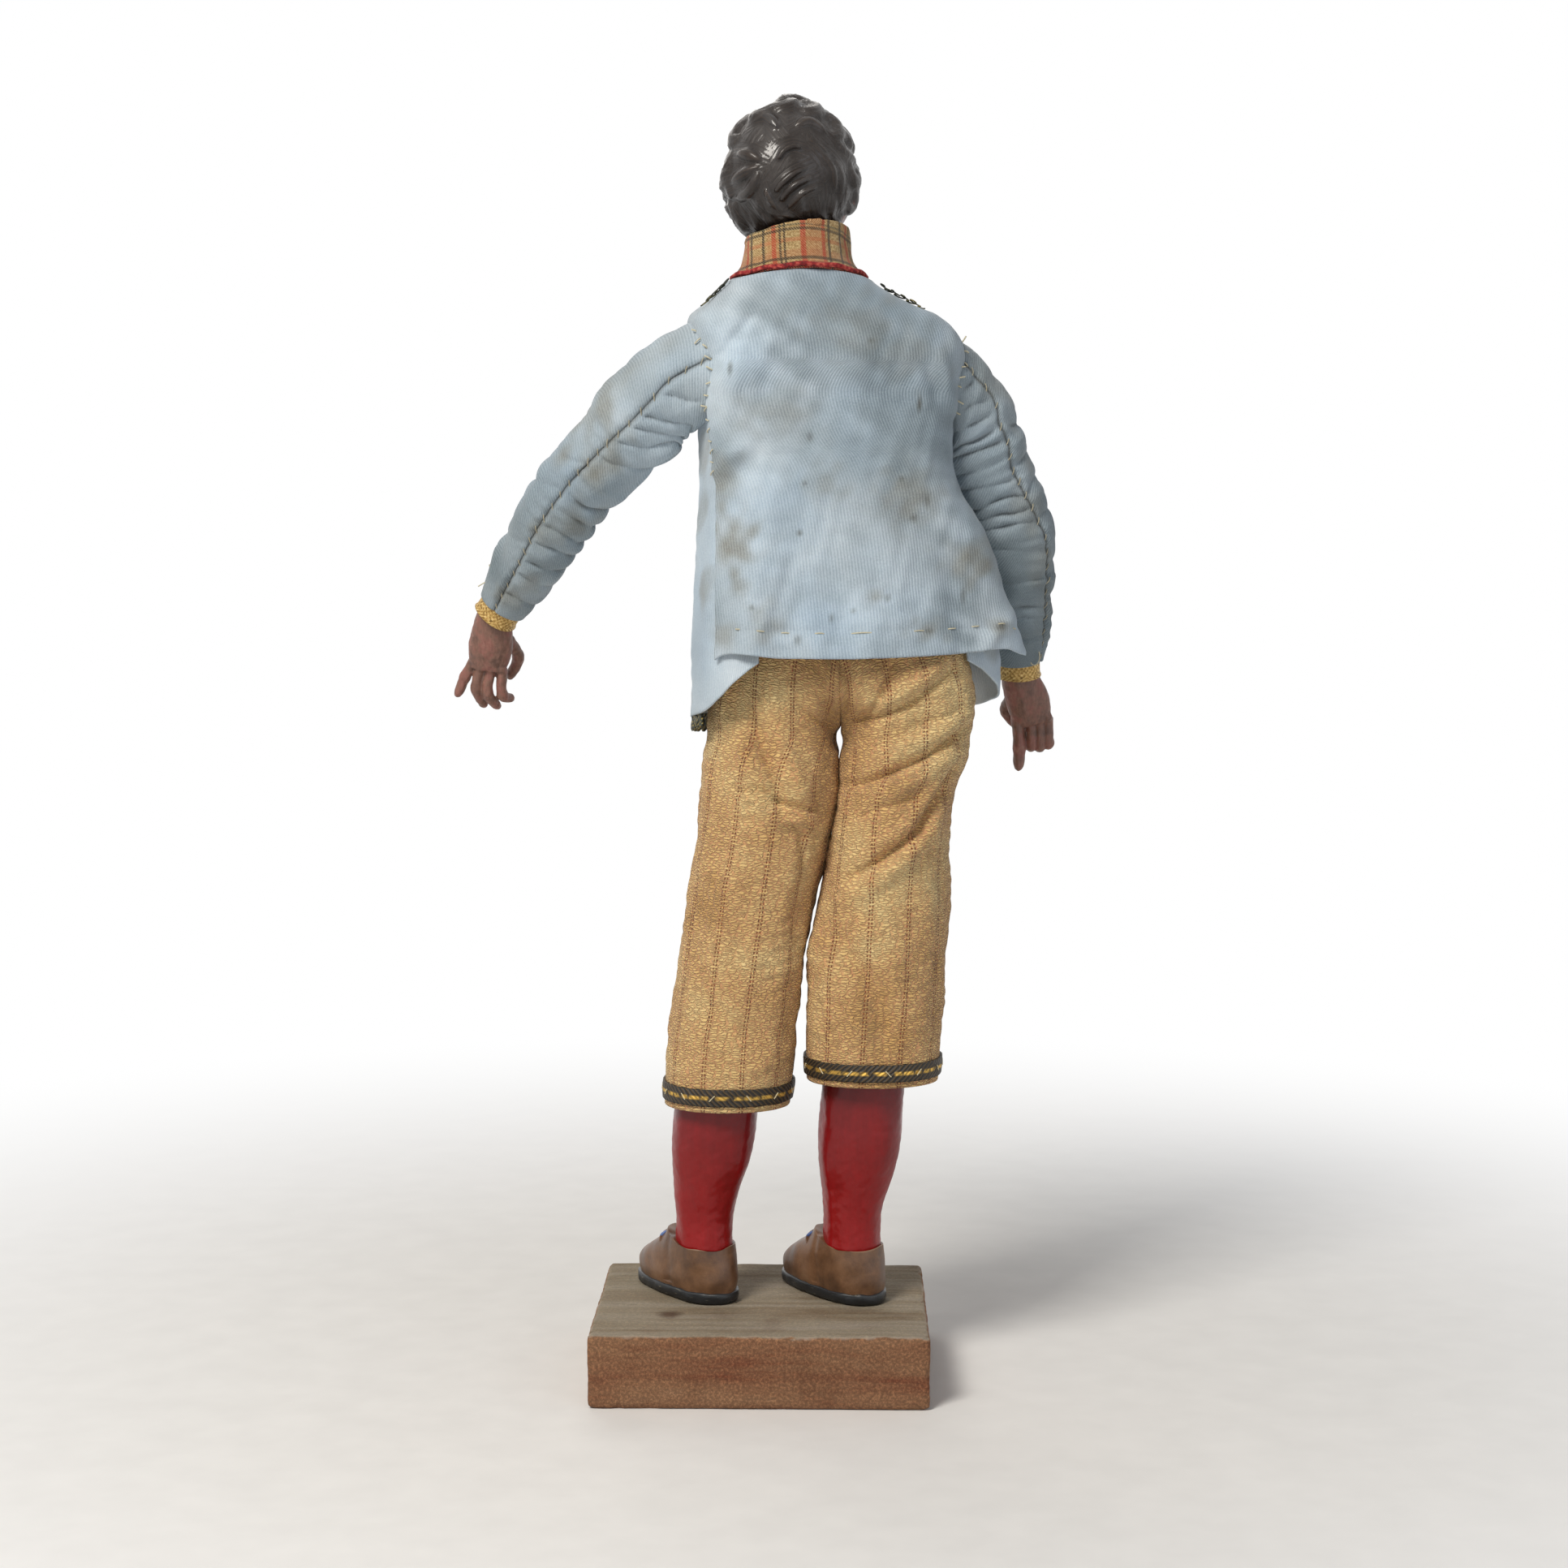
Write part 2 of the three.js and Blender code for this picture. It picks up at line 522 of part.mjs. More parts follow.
function headShape() {
  const sides = 44;
  const rows = 28;
  const sections = Array.from({ length: rows + 1 }, (_, r) => {
    const tilt = blend(-Math.PI / 2, Math.PI / 2, r / rows);
    return Array.from({ length: sides }, (_unused, s) => {
      const turn = (s / sides) * 2 * Math.PI;
      const away = point(Math.cos(tilt) * Math.cos(turn), Math.cos(tilt) * Math.sin(turn), Math.sin(tilt));
      const jaw = 1 - 0.16 * THREE.MathUtils.smoothstep(-away.z, 0.15, 0.9);
      const nape = away.y > 0 ? 1 - 0.36 * THREE.MathUtils.smoothstep(-away.z, 0.1, 0.85) : 1;
      const skull = point(away.x * jaw * HEAD_WIDTH, away.y * nape * HEAD_DEPTH, away.z * HEAD_HEIGHT);
      return skull.multiplyScalar(0.5).addScaledVector(away, headRadius(...away));
    });
  });
  return closed(new LoftGeometry(sections)).rotateZ(radians(HEAD_TURN)).translate(...HEAD_CENTRE);
}

const skullFoot = HEAD_CENTRE.clone().add(point(0, 3, NECK_IN_HEAD - HEAD_HEIGHT / 2));
const neckLine = [trunkAxis(NECKLINE - NECK_IN_BUST), trunkAxis(NECKLINE), skullFoot];
const neckHalf = through([0, NECK_DIAMETER * 0.56], [1, NECK_DIAMETER / 2]);
const neck = rod(neckLine, neckHalf, { sides: 16, rows: 4, wanted: backward });
const bustSwelling = [[0, 1], [0.3, 0.96], [0.55, 0.84], [0.8, 0.66], [1, 0.5]];
const bustEnds = [TRUNK_TOP + FIT, TRUNK_TOP + FIT + BUST_HEIGHT];
const bust = stuffed(trunkAxis, bustEnds, [BUST_WIDTH, BUST_DEPTH], 16, bustSwelling);
const eyeBall = (side, grow) => {
  const centre = point(side * HEAD_WIDTH * 0.18, -HEAD_DEPTH * 0.405, HEAD_HEIGHT * 0.055);
  centre.applyAxisAngle(point(0, 0, 1), radians(HEAD_TURN)).add(HEAD_CENTRE);
  return closed(new THREE.SphereGeometry(EYE_DIAMETER / 2 + grow, 10, 6).translate(...centre));
};
const clay = joined(headShape(), neck, bust);
const spineSeat = bore([trunkAxis(TRUNK_TOP - 1), trunkAxis(spineTop + FIT)]);
add(figure, 'head_and_bust', cut(clay, spineSeat, eyeBall(1, FIT), eyeBall(-1, FIT)), 0x9a6a52, 0.45);
add(figure, 'left_glass_eye', eyeBall(1, 0), 0x2a211c, 0.1);
add(figure, 'right_glass_eye', eyeBall(-1, 0), 0x2a211c, 0.1);

// Jacket: half widths and depths of the cloth round the trunk axis at each height
const jacketLeft = through(
  [183, 48.5], [207, 46.5], [240, 43.5], [262, 41], [277, 40.5], [297, 41],
  [306, 41.5], [311, 39.5], [314.5, 34], [318, 28], [321, 23.5], [325, 20.5],
);
const jacketRight = through(
  [183, 53], [207, 54], [235, 48], [262, 38], [277, 38], [290, 40.5], [300, 43],
  [306, 42], [310, 39], [314.5, 32.5], [318, 27.5], [321, 23.5], [325, 20.5],
);
const flareRight = through([207, 6], [230, 4.5], [250, 4.5], [263, 3.5], [286, 1.5], [297, 0]);
const jacketBack = through(
  [183, 27], [207, 25.5], [230, 22], [260, 20.5], [290, 20], [305, 18.5], [313, 17.5], [320, 17], [325, 16.5],
);
const jacketFront = through(
  [183, 39], [207, 33], [240, 24.5], [270, 22], [295, 21], [308, 19], [316, 16], [325, 14.5],
);
const backLeftEdge = through([207, 23], [255, 22], [275, 12], [288, 6]);
const backRightEdge = through([255, 165], [285, 166], [297, 174]);
const frontBackEdge = through([207, 50], [250, 48], [268, 30], [280, 12], [290, 3]);
const necklineAt = (angle) => {
  const offset = Math.sin(angle) > 0 ? NECKLINE_BACK_RISE : -NECKLINE_FRONT_DROP;
  return NECKLINE + offset * Math.sin(angle) ** 2;
};

// A point of the jacket: angle 0 is the left side and 90 degrees the back; inset moves it inwards.
const jacketSquare = through([207, 0.82], [260, 0.74], [285, 0.6], [310, 0.6], [325, 0.85]);
function jacketPoint(angle, height, inset, flare = 0) {
  const soft = (value) => Math.sign(value) * Math.abs(value) ** jacketSquare(height);
  const left = soft(Math.cos(angle));
  const back = soft(Math.sin(angle));
  const wide = left > 0 ? jacketLeft(height) : jacketRight(height) + flare * flareRight(height);
  const deep = back > 0 ? jacketBack(height) : jacketFront(height);
  return body(left * (wide - inset), back * (deep - inset), height);
}

// Armholes and sleeves: rings that turn from the upright armhole to the line of the arm
const sleeveEnd = (elbow, wrist) => wrist.clone().lerp(elbow, SLEEVE_SHORT_OF_WRIST);
function sleeveRings(side, shoulder, elbow, wrist, grow) {
  const hole = body(side * ARMHOLE_SPAN / 2, -SHOULDER_SETBACK, SHOULDER_HEIGHT - ARMHOLE_DROP);
  const end = sleeveEnd(elbow, wrist);
  const curve = new THREE.CatmullRomCurve3([
    hole,
    shoulder.clone().lerp(elbow, 0.35),
    shoulder.clone().lerp(elbow, 0.65),
    elbow,
    elbow.clone().lerp(end, 0.5),
    end,
  ], false, 'centripetal');
  const upper = SLEEVE_WIDTH / 2;
  const bend = ELBOW_WIDTH / 2;
  const last = SLEEVE_END / 2;
  const lower = [[0.4, upper], [0.6, bend], [0.82, blend(bend, last, 0.35)], [1, last]];
  const tall = through([0, ARMHOLE_HEIGHT / 2], [0.1, ARMHOLE_HEIGHT / 2], [0.25, upper + 2], ...lower);
  const deep = through([0, ARMHOLE_DEPTH / 2], [0.25, upper], ...lower);
  const outward = leftward.clone().multiplyScalar(side);
  const rows = 13;
  return Array.from({ length: rows + 1 }, (_, i) => {
    const t = i / rows;
    const upright = 1 - THREE.MathUtils.smoothstep(t, 0.02, 0.3);
    const along = curve.getTangentAt(t).lerp(outward, upright).normalize();
    const first = backward.clone().addScaledVector(along, -along.dot(backward)).normalize();
    const second = along.clone().cross(first);
    const folded = THREE.MathUtils.smoothstep(t, 0.1, 0.3) * THREE.MathUtils.smoothstep(1 - t, 0.02, 0.2);
    const ripple = SLEEVE_FOLDS * Math.sin(t * 38) * folded;
    return ring(curve.getPointAt(t), first, second, deep(t) + ripple + grow, tall(t) + ripple + grow, 14);
  });
}

const arms = [
  ['left', 1, leftShoulder, LEFT_ELBOW, LEFT_WRIST, LEFT_FINGERS],
  ['right', -1, rightShoulder, RIGHT_ELBOW, RIGHT_WRIST, RIGHT_FINGERS],
];
const armholes = arms.map(([, side, shoulder, elbow, wrist]) => {
  const rings = sleeveRings(side, shoulder, elbow, wrist, FIT).slice(0, 8);
  const inside = rings[0].map((p) => p.clone().addScaledVector(leftward, -FIT * side));
  return stack([inside, ...rings]);
});

const backPanel = (inset) => grid(11, 18, (u, v) => {
  const height = blend(BACK_HEM, necklineAt(u * Math.PI), v);
  const angle = radians(blend(backLeftEdge(height), backRightEdge(height), u));
  const hanging = THREE.MathUtils.smoothstep(VENT_TOP - height, 0, VENT_TOP - BACK_HEM);
  const fold = HEM_FOLDS * hanging * (0.5 - 0.5 * Math.cos(6 * Math.PI * u));
  return jacketPoint(angle, height, inset - fold, 1);
});
const frontPanel = (side, inset) => grid(11, 9, (u, v) => {
  const sideHem = side > 0 ? LEFT_SIDE_HEM : RIGHT_SIDE_HEM;
  const hem = through([0, BACK_HEM - 2], [0.35, sideHem], [1, FRONT_HEM])(u);
  const height = blend(hem, necklineAt(radians(FRONT_EDGE_ANGLE * u)), v);
  const angle = blend(frontBackEdge(height), FRONT_EDGE_ANGLE, u);
  const belowVent = THREE.MathUtils.smoothstep(VENT_TOP + 12 - height, 0, 12);
  const under = belowVent * THREE.MathUtils.smoothstep(angle, -25, 2) * (VENT_OVERLAP + JACKET_CLOTH);
  return jacketPoint(radians(side > 0 ? angle : 180 - angle), height, inset + under);
});
const panels = [
  ['jacket_back', backPanel],
  ['jacket_left_front', (inset) => frontPanel(1, inset)],
  ['jacket_right_front', (inset) => frontPanel(-1, inset)],
];
for (const [name, panel] of panels) {
  add(figure, name, cut(sheet(panel(0), panel(JACKET_CLOTH)), ...armholes), 0xa9b3bd, 0.9);
}
const braid = (side, inset) => grid(12, 1, (u, v) => {
  const height = blend(FRONT_HEM + 1.5, necklineAt(radians(FRONT_EDGE_ANGLE)) - 1, v);
  const angle = FRONT_EDGE_ANGLE + 1 + u * FRONT_BRAID_ANGLE;
  return jacketPoint(radians(side > 0 ? angle : 180 - angle), height, inset);
});
for (const [name, side] of [['left', 1], ['right', -1]]) {
  const strip = sheet(braid(side, -FIT - BRAID_THICKNESS), braid(side, -FIT));
  add(figure, `${name}_front_braid`, strip, 0x5c5a30, 0.6, 0.3);
}

// Shirt front and standing collar
const shirt = (inset) => grid(7, 8, (u, v) => {
  const angle = radians(-90 + SHIRT_SPREAD * (1 - 2 * u));
  const height = blend(BREECHES_TOP + SHIRT_ABOVE_BREECHES, necklineAt(angle) - 2, v);
  const tuck = SHIRT_TUCK * through([0, 1], [0.25, 0.15], [0.55, 0])(v);
  return jacketPoint(angle, height, inset + SHIRT_UNDER_JACKET + JACKET_CLOTH + tuck);
});
add(figure, 'shirt_front', sheet(shirt(0), shirt(SHIRT_CLOTH)), 0xd9b77a, 0.9);

const collar = (inset) => grid(3, 20, (u, v) => {
  const angle = u * 2 * Math.PI;
  const height = necklineAt(angle) + 2 * FIT + v * COLLAR_HEIGHT;
  const taper = (COLLAR_WIDTH - COLLAR_TOP_WIDTH) / 2;
  const narrow = taper * through([0, 0], [0.35, 0.7], [1, 1])(v) + inset;
  const back = Math.sin(angle) > 0 ? COLLAR_BACK - 0.6 * narrow : COLLAR_FRONT - 0.5 * narrow;
  return body((COLLAR_WIDTH / 2 - narrow) * Math.cos(angle), back * Math.sin(angle), height);
});
const opened = (rows) => rows.map((row) => row.slice(0, -1));
add(figure, 'neck_collar', shell(opened(collar(0)), opened(collar(COLLAR_CLOTH))), 0xd9b77a, 0.9);

// Arms: wires, tow, sleeves, cuffs and hands
const upperSpindle = through([0, 0.42], [0.42, 1], [0.7, 1], [1, 0.5]);
const lowerSpindle = through([0, 0.5], [0.35, 1], [1, 0.8]);
for (const [name, side, shoulder, elbow, wrist, fingers] of arms) {
  const stub = apart(wrist, elbow, WRIST_STUB);
  const upperWire = [shoulder, apart(elbow, shoulder, wireHalf + FIT)];
  const lowerWire = [elbow, wrist];
  add(figure, `${name}_upper_arm_wire`, wire(upperWire, { rows: 2, dome: true }), 0x3f3a36, 0.5, 0.9);
  add(figure, `${name}_forearm_wire`, wire(lowerWire, { rows: 2, dome: true }), 0x3f3a36, 0.5, 0.9);
  const upperEnds = [apart(shoulder, elbow, TOW_TO_BEND), apart(elbow, shoulder, TOW_TO_BEND)];
  const upperTow = rod(upperEnds, (t) => (ARM_TOW / 2) * upperSpindle(t), { sides: 10, rows: 5 });
  add(figure, `${name}_upper_arm_tow`, cut(upperTow, bore([shoulder, elbow])), 0xb59a68, 0.95);
  const lowerEnds = [apart(elbow, wrist, TOW_TO_BEND), apart(stub, elbow, FIT)];
  const lowerTow = rod(lowerEnds, (t) => (FOREARM_TOW / 2) * lowerSpindle(t), { sides: 10, rows: 5 });
  add(figure, `${name}_forearm_tow`, cut(lowerTow, bore([elbow, wrist])), 0xb59a68, 0.95);
  const cloth = (inset) => sleeveRings(side, shoulder, elbow, wrist, -inset);
  add(figure, `${name}_sleeve`, shell(cloth(0), cloth(JACKET_CLOTH)), 0xa9b3bd, 0.9);

  const knuckles = new THREE.Vector3();
  fingers.slice(0, 4).forEach(([base]) => knuckles.add(point(...base).multiplyScalar(0.25)));
  const handLine = [stub, wrist, wrist.clone().lerp(knuckles, 0.55), knuckles.clone().add(point(0, 0, -1.5))];
  const wristHalf = WRIST_WIDTH / 2;
  const palmHalf = PALM_WIDTH / 2;
  const palmWide = through([0, wristHalf * 0.92], [0.4, wristHalf], [0.75, palmHalf], [1, palmHalf * 0.8]);
  const palmDeep = through([0, 0.5], [0.4, 0.48], [0.75, 0.42], [1, 0.24]);
  const palmHalves = (t) => [palmWide(t), WRIST_DEPTH * palmDeep(t)];
  const palm = rod(handLine, palmHalves, { sides: 12, rows: 6, wanted: point(1, 0, 0) });
  const digits = fingers.map((points, i) => {
    const pointing = name === 'right' && i === 3;
    const width = i === 4 ? THUMB_DIAMETER : pointing ? POINTING_FINGER : FINGER_DIAMETER;
    const taper = through([0, 1], [0.6, 0.95], [0.9, 0.75], [1, 0.35]);
    const line = points.map((p) => point(...p));
    return rod(line, (t) => (width / 2) * taper(t), { sides: 6, rows: 5, wanted: point(1, 0.2, 0.1) });
  });
  const wireHole = bore([apart(stub, elbow, 1), apart(wrist, elbow, -FIT)]);
  add(figure, `${name}_hand`, cut(joined(palm, ...digits), wireHole), 0x7d5a4c, 0.5);

  const cuffAxis = elbow.clone().sub(wrist).normalize();
  const cuffFoot = sleeveEnd(elbow, wrist);
  const cuffRing = (along, half) => {
    const first = backward.clone().addScaledVector(cuffAxis, -cuffAxis.dot(backward)).normalize();
    const second = cuffAxis.clone().cross(first);
    return ring(cuffFoot.clone().addScaledVector(cuffAxis, along), first, second, half, half, 16);
  };
  const cuffHalf = SLEEVE_END / 2 - JACKET_CLOTH - FIT;
  const cuffLevels = [-CUFF_SHOWS, 0, CUFF_LENGTH - CUFF_SHOWS];
  const cuff = (inset) => cuffLevels.map((along) => cuffRing(along, cuffHalf - inset));
  add(figure, `${name}_cuff`, shell(cuff(0), cuff(CUFF_RIBBON)), 0xb9985a, 0.7);
}

// Breeches: two leg tubes that meet along the inseam and open into the seat
const leftOuter = through([62, 31], [80, 30.2], [105, 27.2], [131, 23.5], [160, 19.5], [200, 17]);
const rightOuter = through(
  [70, -56], [105, -58], [131, -58.8], [154, -58.8], [163, -60], [171, -63], [182, -65.6], [200, -66],
);
const leftInseam = through([62, -8.8], [105, -13.2], [131, -17.3], [160, -23], [176, -24.4]);
const rightInseam = through([70, -14.2], [105, -13.9], [131, -18], [160, -23.7], [176, -25.2]);
const legDeep = through([62, 19], [105, 19.5], [160, 20], [190, 19.5]);
const breechesSides = 18;
const legTop = blend(CROTCH_HEIGHT, BREECHES_TOP, LEG_INTO_SEAT);
function breechesLeg(outerAt, inseamAt, low, high, inset) {
  const rows = 8;
  return Array.from({ length: rows + 1 }, (_, i) => {
    const height = blend(low, high, i / rows);
    const outside = outerAt(height);
    const inside = inseamAt(height);
    const drawn = SEAT_TUCK * THREE.MathUtils.smoothstep(height, CROTCH_HEIGHT, legTop);
    const fold = BREECHES_FOLDS * Math.sin(height * 0.3) * THREE.MathUtils.smoothstep(height, 78, 100);
    const half = Math.abs(outside - inside) / 2 - inset - drawn;
    const deep = legDeep(height) - inset - drawn + fold;
    const centre = point((outside + inside) / 2, -BREECHES_SETBACK, height);
    return ring(centre, point(1, 0, 0), point(0, 1, 0), half, deep, breechesSides, 2.2);
  });
}
function breechesSeat(low, high, inset) {
  const seatWide = through([0, 38], [0.175, 41], [0.425, 41.5], [0.725, 39.5], [1, 35]);
  const seatDeep = through([0, 15], [0.2, 19.5], [0.65, 20], [1, 18.5]);
  return [0, 0.12, 0.27, 0.47, 0.72, 1].map((share) => {
    const height = blend(low, high, share);
    const rise = (height - CROTCH_HEIGHT) / (BREECHES_TOP - CROTCH_HEIGHT);
    const half = seatWide(rise) - inset;
    const deep = seatDeep(rise) - inset;
    return ring(trunkAxis(height), point(1, 0, 0), point(0, 1, 0), half, deep, breechesSides, 2.3);
  });
}
const breechesBody = (inset, over) => joined(
  stack(breechesLeg(leftOuter, leftInseam, LEFT_BREECHES_HEM - over, legTop, inset)),
  stack(breechesLeg(rightOuter, rightInseam, RIGHT_BREECHES_HEM - over, legTop, inset)),
  stack(breechesSeat(CROTCH_HEIGHT + inset, BREECHES_TOP + over, inset)),
);
add(figure, 'breeches', cut(breechesBody(0, 0), breechesBody(BREECHES_CLOTH, 1)), 0xc89b55, 0.95);

// Tow that fills the seat of the breeches, round the upper ends of the leg wires
const pelvis = stack(breechesSeat(PELVIS_BOTTOM, PELVIS_TOP, BREECHES_CLOTH + 2 * FIT));
add(figure, 'pelvis_tow', cut(pelvis, ...legBores, bore(pelvisWireLine)), 0xb59a68, 0.95);

const knees = [
  ['left', leftOuter, leftInseam, LEFT_BREECHES_HEM],
  ['right', rightOuter, rightInseam, RIGHT_BREECHES_HEM],
];
for (const [side, outerAt, inseamAt, hem] of knees) {
  const low = hem + KNEE_BRAID_ABOVE_HEM;
  const band = (grow) => [low, low + KNEE_BRAID_HEIGHT].map((height) =>
    breechesLeg(outerAt, inseamAt, height, height, -grow)[0]);
  add(figure, `${side}_knee_braid`, shell(band(FIT + BRAID_THICKNESS), band(FIT)), 0x3a2e1e, 0.7);
}

export default root;
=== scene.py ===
import math
from functools import partial

import bmesh
import bpy
import numpy as np
from mathutils import Euler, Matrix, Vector
from mathutils.kdtree import KDTree


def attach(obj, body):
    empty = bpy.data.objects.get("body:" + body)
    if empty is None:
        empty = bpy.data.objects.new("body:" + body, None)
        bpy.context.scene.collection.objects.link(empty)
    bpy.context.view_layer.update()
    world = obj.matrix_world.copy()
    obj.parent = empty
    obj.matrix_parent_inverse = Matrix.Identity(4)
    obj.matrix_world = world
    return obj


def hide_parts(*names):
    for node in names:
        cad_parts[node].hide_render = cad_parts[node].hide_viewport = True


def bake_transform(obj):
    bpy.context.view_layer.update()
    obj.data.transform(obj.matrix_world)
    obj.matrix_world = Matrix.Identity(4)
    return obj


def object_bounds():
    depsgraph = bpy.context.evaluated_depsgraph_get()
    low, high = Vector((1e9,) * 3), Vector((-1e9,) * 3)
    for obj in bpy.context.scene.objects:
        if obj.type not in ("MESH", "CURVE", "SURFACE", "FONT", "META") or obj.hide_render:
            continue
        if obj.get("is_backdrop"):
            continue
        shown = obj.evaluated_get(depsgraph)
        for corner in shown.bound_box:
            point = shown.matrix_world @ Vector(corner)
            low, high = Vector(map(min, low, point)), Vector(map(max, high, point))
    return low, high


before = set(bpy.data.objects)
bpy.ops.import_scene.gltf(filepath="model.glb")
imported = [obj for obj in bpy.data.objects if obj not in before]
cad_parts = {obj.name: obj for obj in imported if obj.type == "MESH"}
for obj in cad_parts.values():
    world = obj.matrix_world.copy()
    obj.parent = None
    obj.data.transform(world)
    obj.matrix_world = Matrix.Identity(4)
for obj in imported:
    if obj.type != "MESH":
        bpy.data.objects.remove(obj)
cad_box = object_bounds()


# Wooden block
# A sawn softwood block that the figure is pinned to. Its top is greyed by dust, its sides keep an
# old brown stain, and years of handling have rounded its far corners and chipped its edges.
MM = 0.001
BLOCK_SIZE = (105.0, 85.0, 23.0)
BLOCK_CORNER = 5.0
BLOCK_EDGE = 1.3


def started(name, primitive, **settings):
    """Adds a primitive alone in the selection and names it."""
    bpy.ops.object.select_all(action="DESELECT")
    primitive(**settings)
    piece = bpy.context.object
    piece.name = piece.data.name = name
    return piece


def places(piece):
    """The points of a mesh in millimetres."""
    flat = np.empty(len(piece.data.vertices) * 3, np.float32)
    piece.data.vertices.foreach_get("co", flat)
    return flat.reshape(-1, 3).astype(float) / MM


def move_to(piece, points):
    """Moves the points of a mesh to places in millimetres."""
    piece.data.vertices.foreach_set("co", (points * MM).astype(np.float32).ravel())
    piece.data.update()


def normals(piece):
    flat = np.empty(len(piece.data.vertices) * 3, np.float32)
    piece.data.vertex_normals.foreach_get("vector", flat)
    return flat.reshape(-1, 3).astype(float)


def alone(piece):
    """Selects a piece alone, for the operators that work on the selection."""
    bpy.ops.object.select_all(action="DESELECT")
    piece.select_set(True)
    bpy.context.view_layer.objects.active = piece


def pushed(piece, heights):
    """Moves each point of a mesh out along its normal by a height in millimetres."""
    move_to(piece, places(piece) + normals(piece) * heights[:, None])


def finished(piece, *modifiers):
    """Adds modifiers given as (kind, settings) and applies each one, then shades the piece smooth."""
    alone(piece)
    for kind, settings in modifiers:
        bpy.ops.object.modifier_add(type=kind)
        modifier = piece.modifiers[-1]
        for key, value in settings.items():
            setattr(modifier, key, value)
        bpy.ops.object.modifier_apply(modifier=modifier.name)
    bpy.ops.object.shade_smooth()
    return piece


def thickened(piece, thickness):
    """Gives a sheet its thickness in millimetres, on its inner face."""
    return finished(piece, ("SOLIDIFY", {"thickness": thickness * MM, "offset": -1}))


def wander(points, size, seed, waves=10):
    """Smooth random heights, mostly from -1 to 1, that change over about that size."""
    draw = np.random.default_rng(seed)
    total = np.zeros(len(points))
    for _ in range(waves):
        way = draw.normal(size=points.shape[1])
        way *= draw.uniform(0.6, 1.5) * 2 * math.pi / size / np.linalg.norm(way)
        total += np.sin(points @ way + draw.uniform(0, 2 * math.pi))
    return total * math.sqrt(2 / waves) / 1.4


def linear(code, alpha=1.0):
    """A linear colour from an sRGB hex value."""
    parts = [int(code[i:i + 2], 16) / 255 for i in (1, 3, 5)]
    return [c / 12.92 if c <= 0.04045 else ((c + 0.055) / 1.055) ** 2.4 for c in parts] + [alpha]


def node(material, kind, *inputs, output=0, stops=(), **named):
    """Adds a node and returns one of its outputs. Sockets given as inputs are linked, other values are
    set, colours as hex; names in small letters are settings; stops are a ramp's places and colours."""
    tree = material.node_tree
    made = tree.nodes.new("ShaderNode" + kind)
    wanted = dict(enumerate(inputs))
    for name, value in named.items():
        if name.islower():
            setattr(made, name, value)
        else:
            wanted[name.replace("_", " ")] = value
    for name, value in wanted.items():
        if isinstance(value, bpy.types.NodeSocket):
            tree.links.new(value, made.inputs[name])
        else:
            made.inputs[name].default_value = linear(value) if isinstance(value, str) else value
    for i, (place, colour) in enumerate(stops):
        stop = made.color_ramp.elements[i] if i < 2 else made.color_ramp.elements.new(place)
        stop.position = place
        stop.color = linear(colour) if isinstance(colour, str) else (colour, colour, colour, 1)
    return made.outputs[output]


def new_material(name, **values):
    """A material with a Principled shader; values are the sockets that are the same all over."""
    material = bpy.data.materials.new(name)
    material.use_nodes = True
    sockets = material.node_tree.nodes["Principled BSDF"].inputs
    for key, value in values.items():
        sockets[key.replace("_", " ")].default_value = linear(value) if isinstance(value, str) else value
    return material


def put(material, **sources):
    """Links sources to the sockets of a material's shader."""
    sockets = material.node_tree.nodes["Principled BSDF"].inputs
    for key, source in sources.items():
        material.node_tree.links.new(source, sockets[key.replace("_", " ")])


def dressed(piece, material, body, slot, *stands_for):
    """Gives a piece its material and the body that it moves with, and hides the CAD nodes it stands for; its
    slot is not used.
    """
    piece.data.materials.clear()
    piece.data.materials.append(material)
    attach(piece, body)
    if stands_for:
        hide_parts(*stands_for)
    return piece


block = started("wooden_block", bpy.ops.mesh.primitive_cube_add, size=1)
block.scale = [side * MM for side in BLOCK_SIZE]
block.location.z = BLOCK_SIZE[2] / 2 * MM
bpy.ops.object.transform_apply(location=True, rotation=True, scale=True)
bpy.ops.object.mode_set(mode="EDIT")
shape = bmesh.from_edit_mesh(block.data)
for edge in shape.edges:
    a, b = (v.co / MM for v in edge.verts)
    edge.select_set(abs(a.z - b.z) > 1 and a.y < 0)
bpy.ops.mesh.bevel(offset=BLOCK_CORNER * MM, segments=4, affect="EDGES")
bpy.ops.object.mode_set(mode="OBJECT")
finished(
    block,
    ("BEVEL", {"width": BLOCK_EDGE * MM, "segments": 3, "limit_method": "ANGLE", "angle_limit": 0.7}),
    ("REMESH", {"mode": "VOXEL", "voxel_size": 0.95 * MM}),
    ("SMOOTH", {"factor": 0.5, "iterations": 2}),
)
at = places(block)
half = np.array(BLOCK_SIZE) / 2
near = np.sort(half - np.abs(at - [0, 0, half[2]]), axis=1)
edge_share = np.exp(-((near[:, 1] / 1.6) ** 2))
chips = np.clip(wander(at, 7, 3) + 0.6 * wander(at, 3, 4) - 0.55, 0, None)
saw_marks = 0.06 * wander(at * [0.12, 1, 1], 2.2, 5) + 0.1 * wander(at, 16, 6)
worn = saw_marks - 0.85 * edge_share * chips
worn[at[:, 2] < 0.6] = 0
pushed(block, worn)
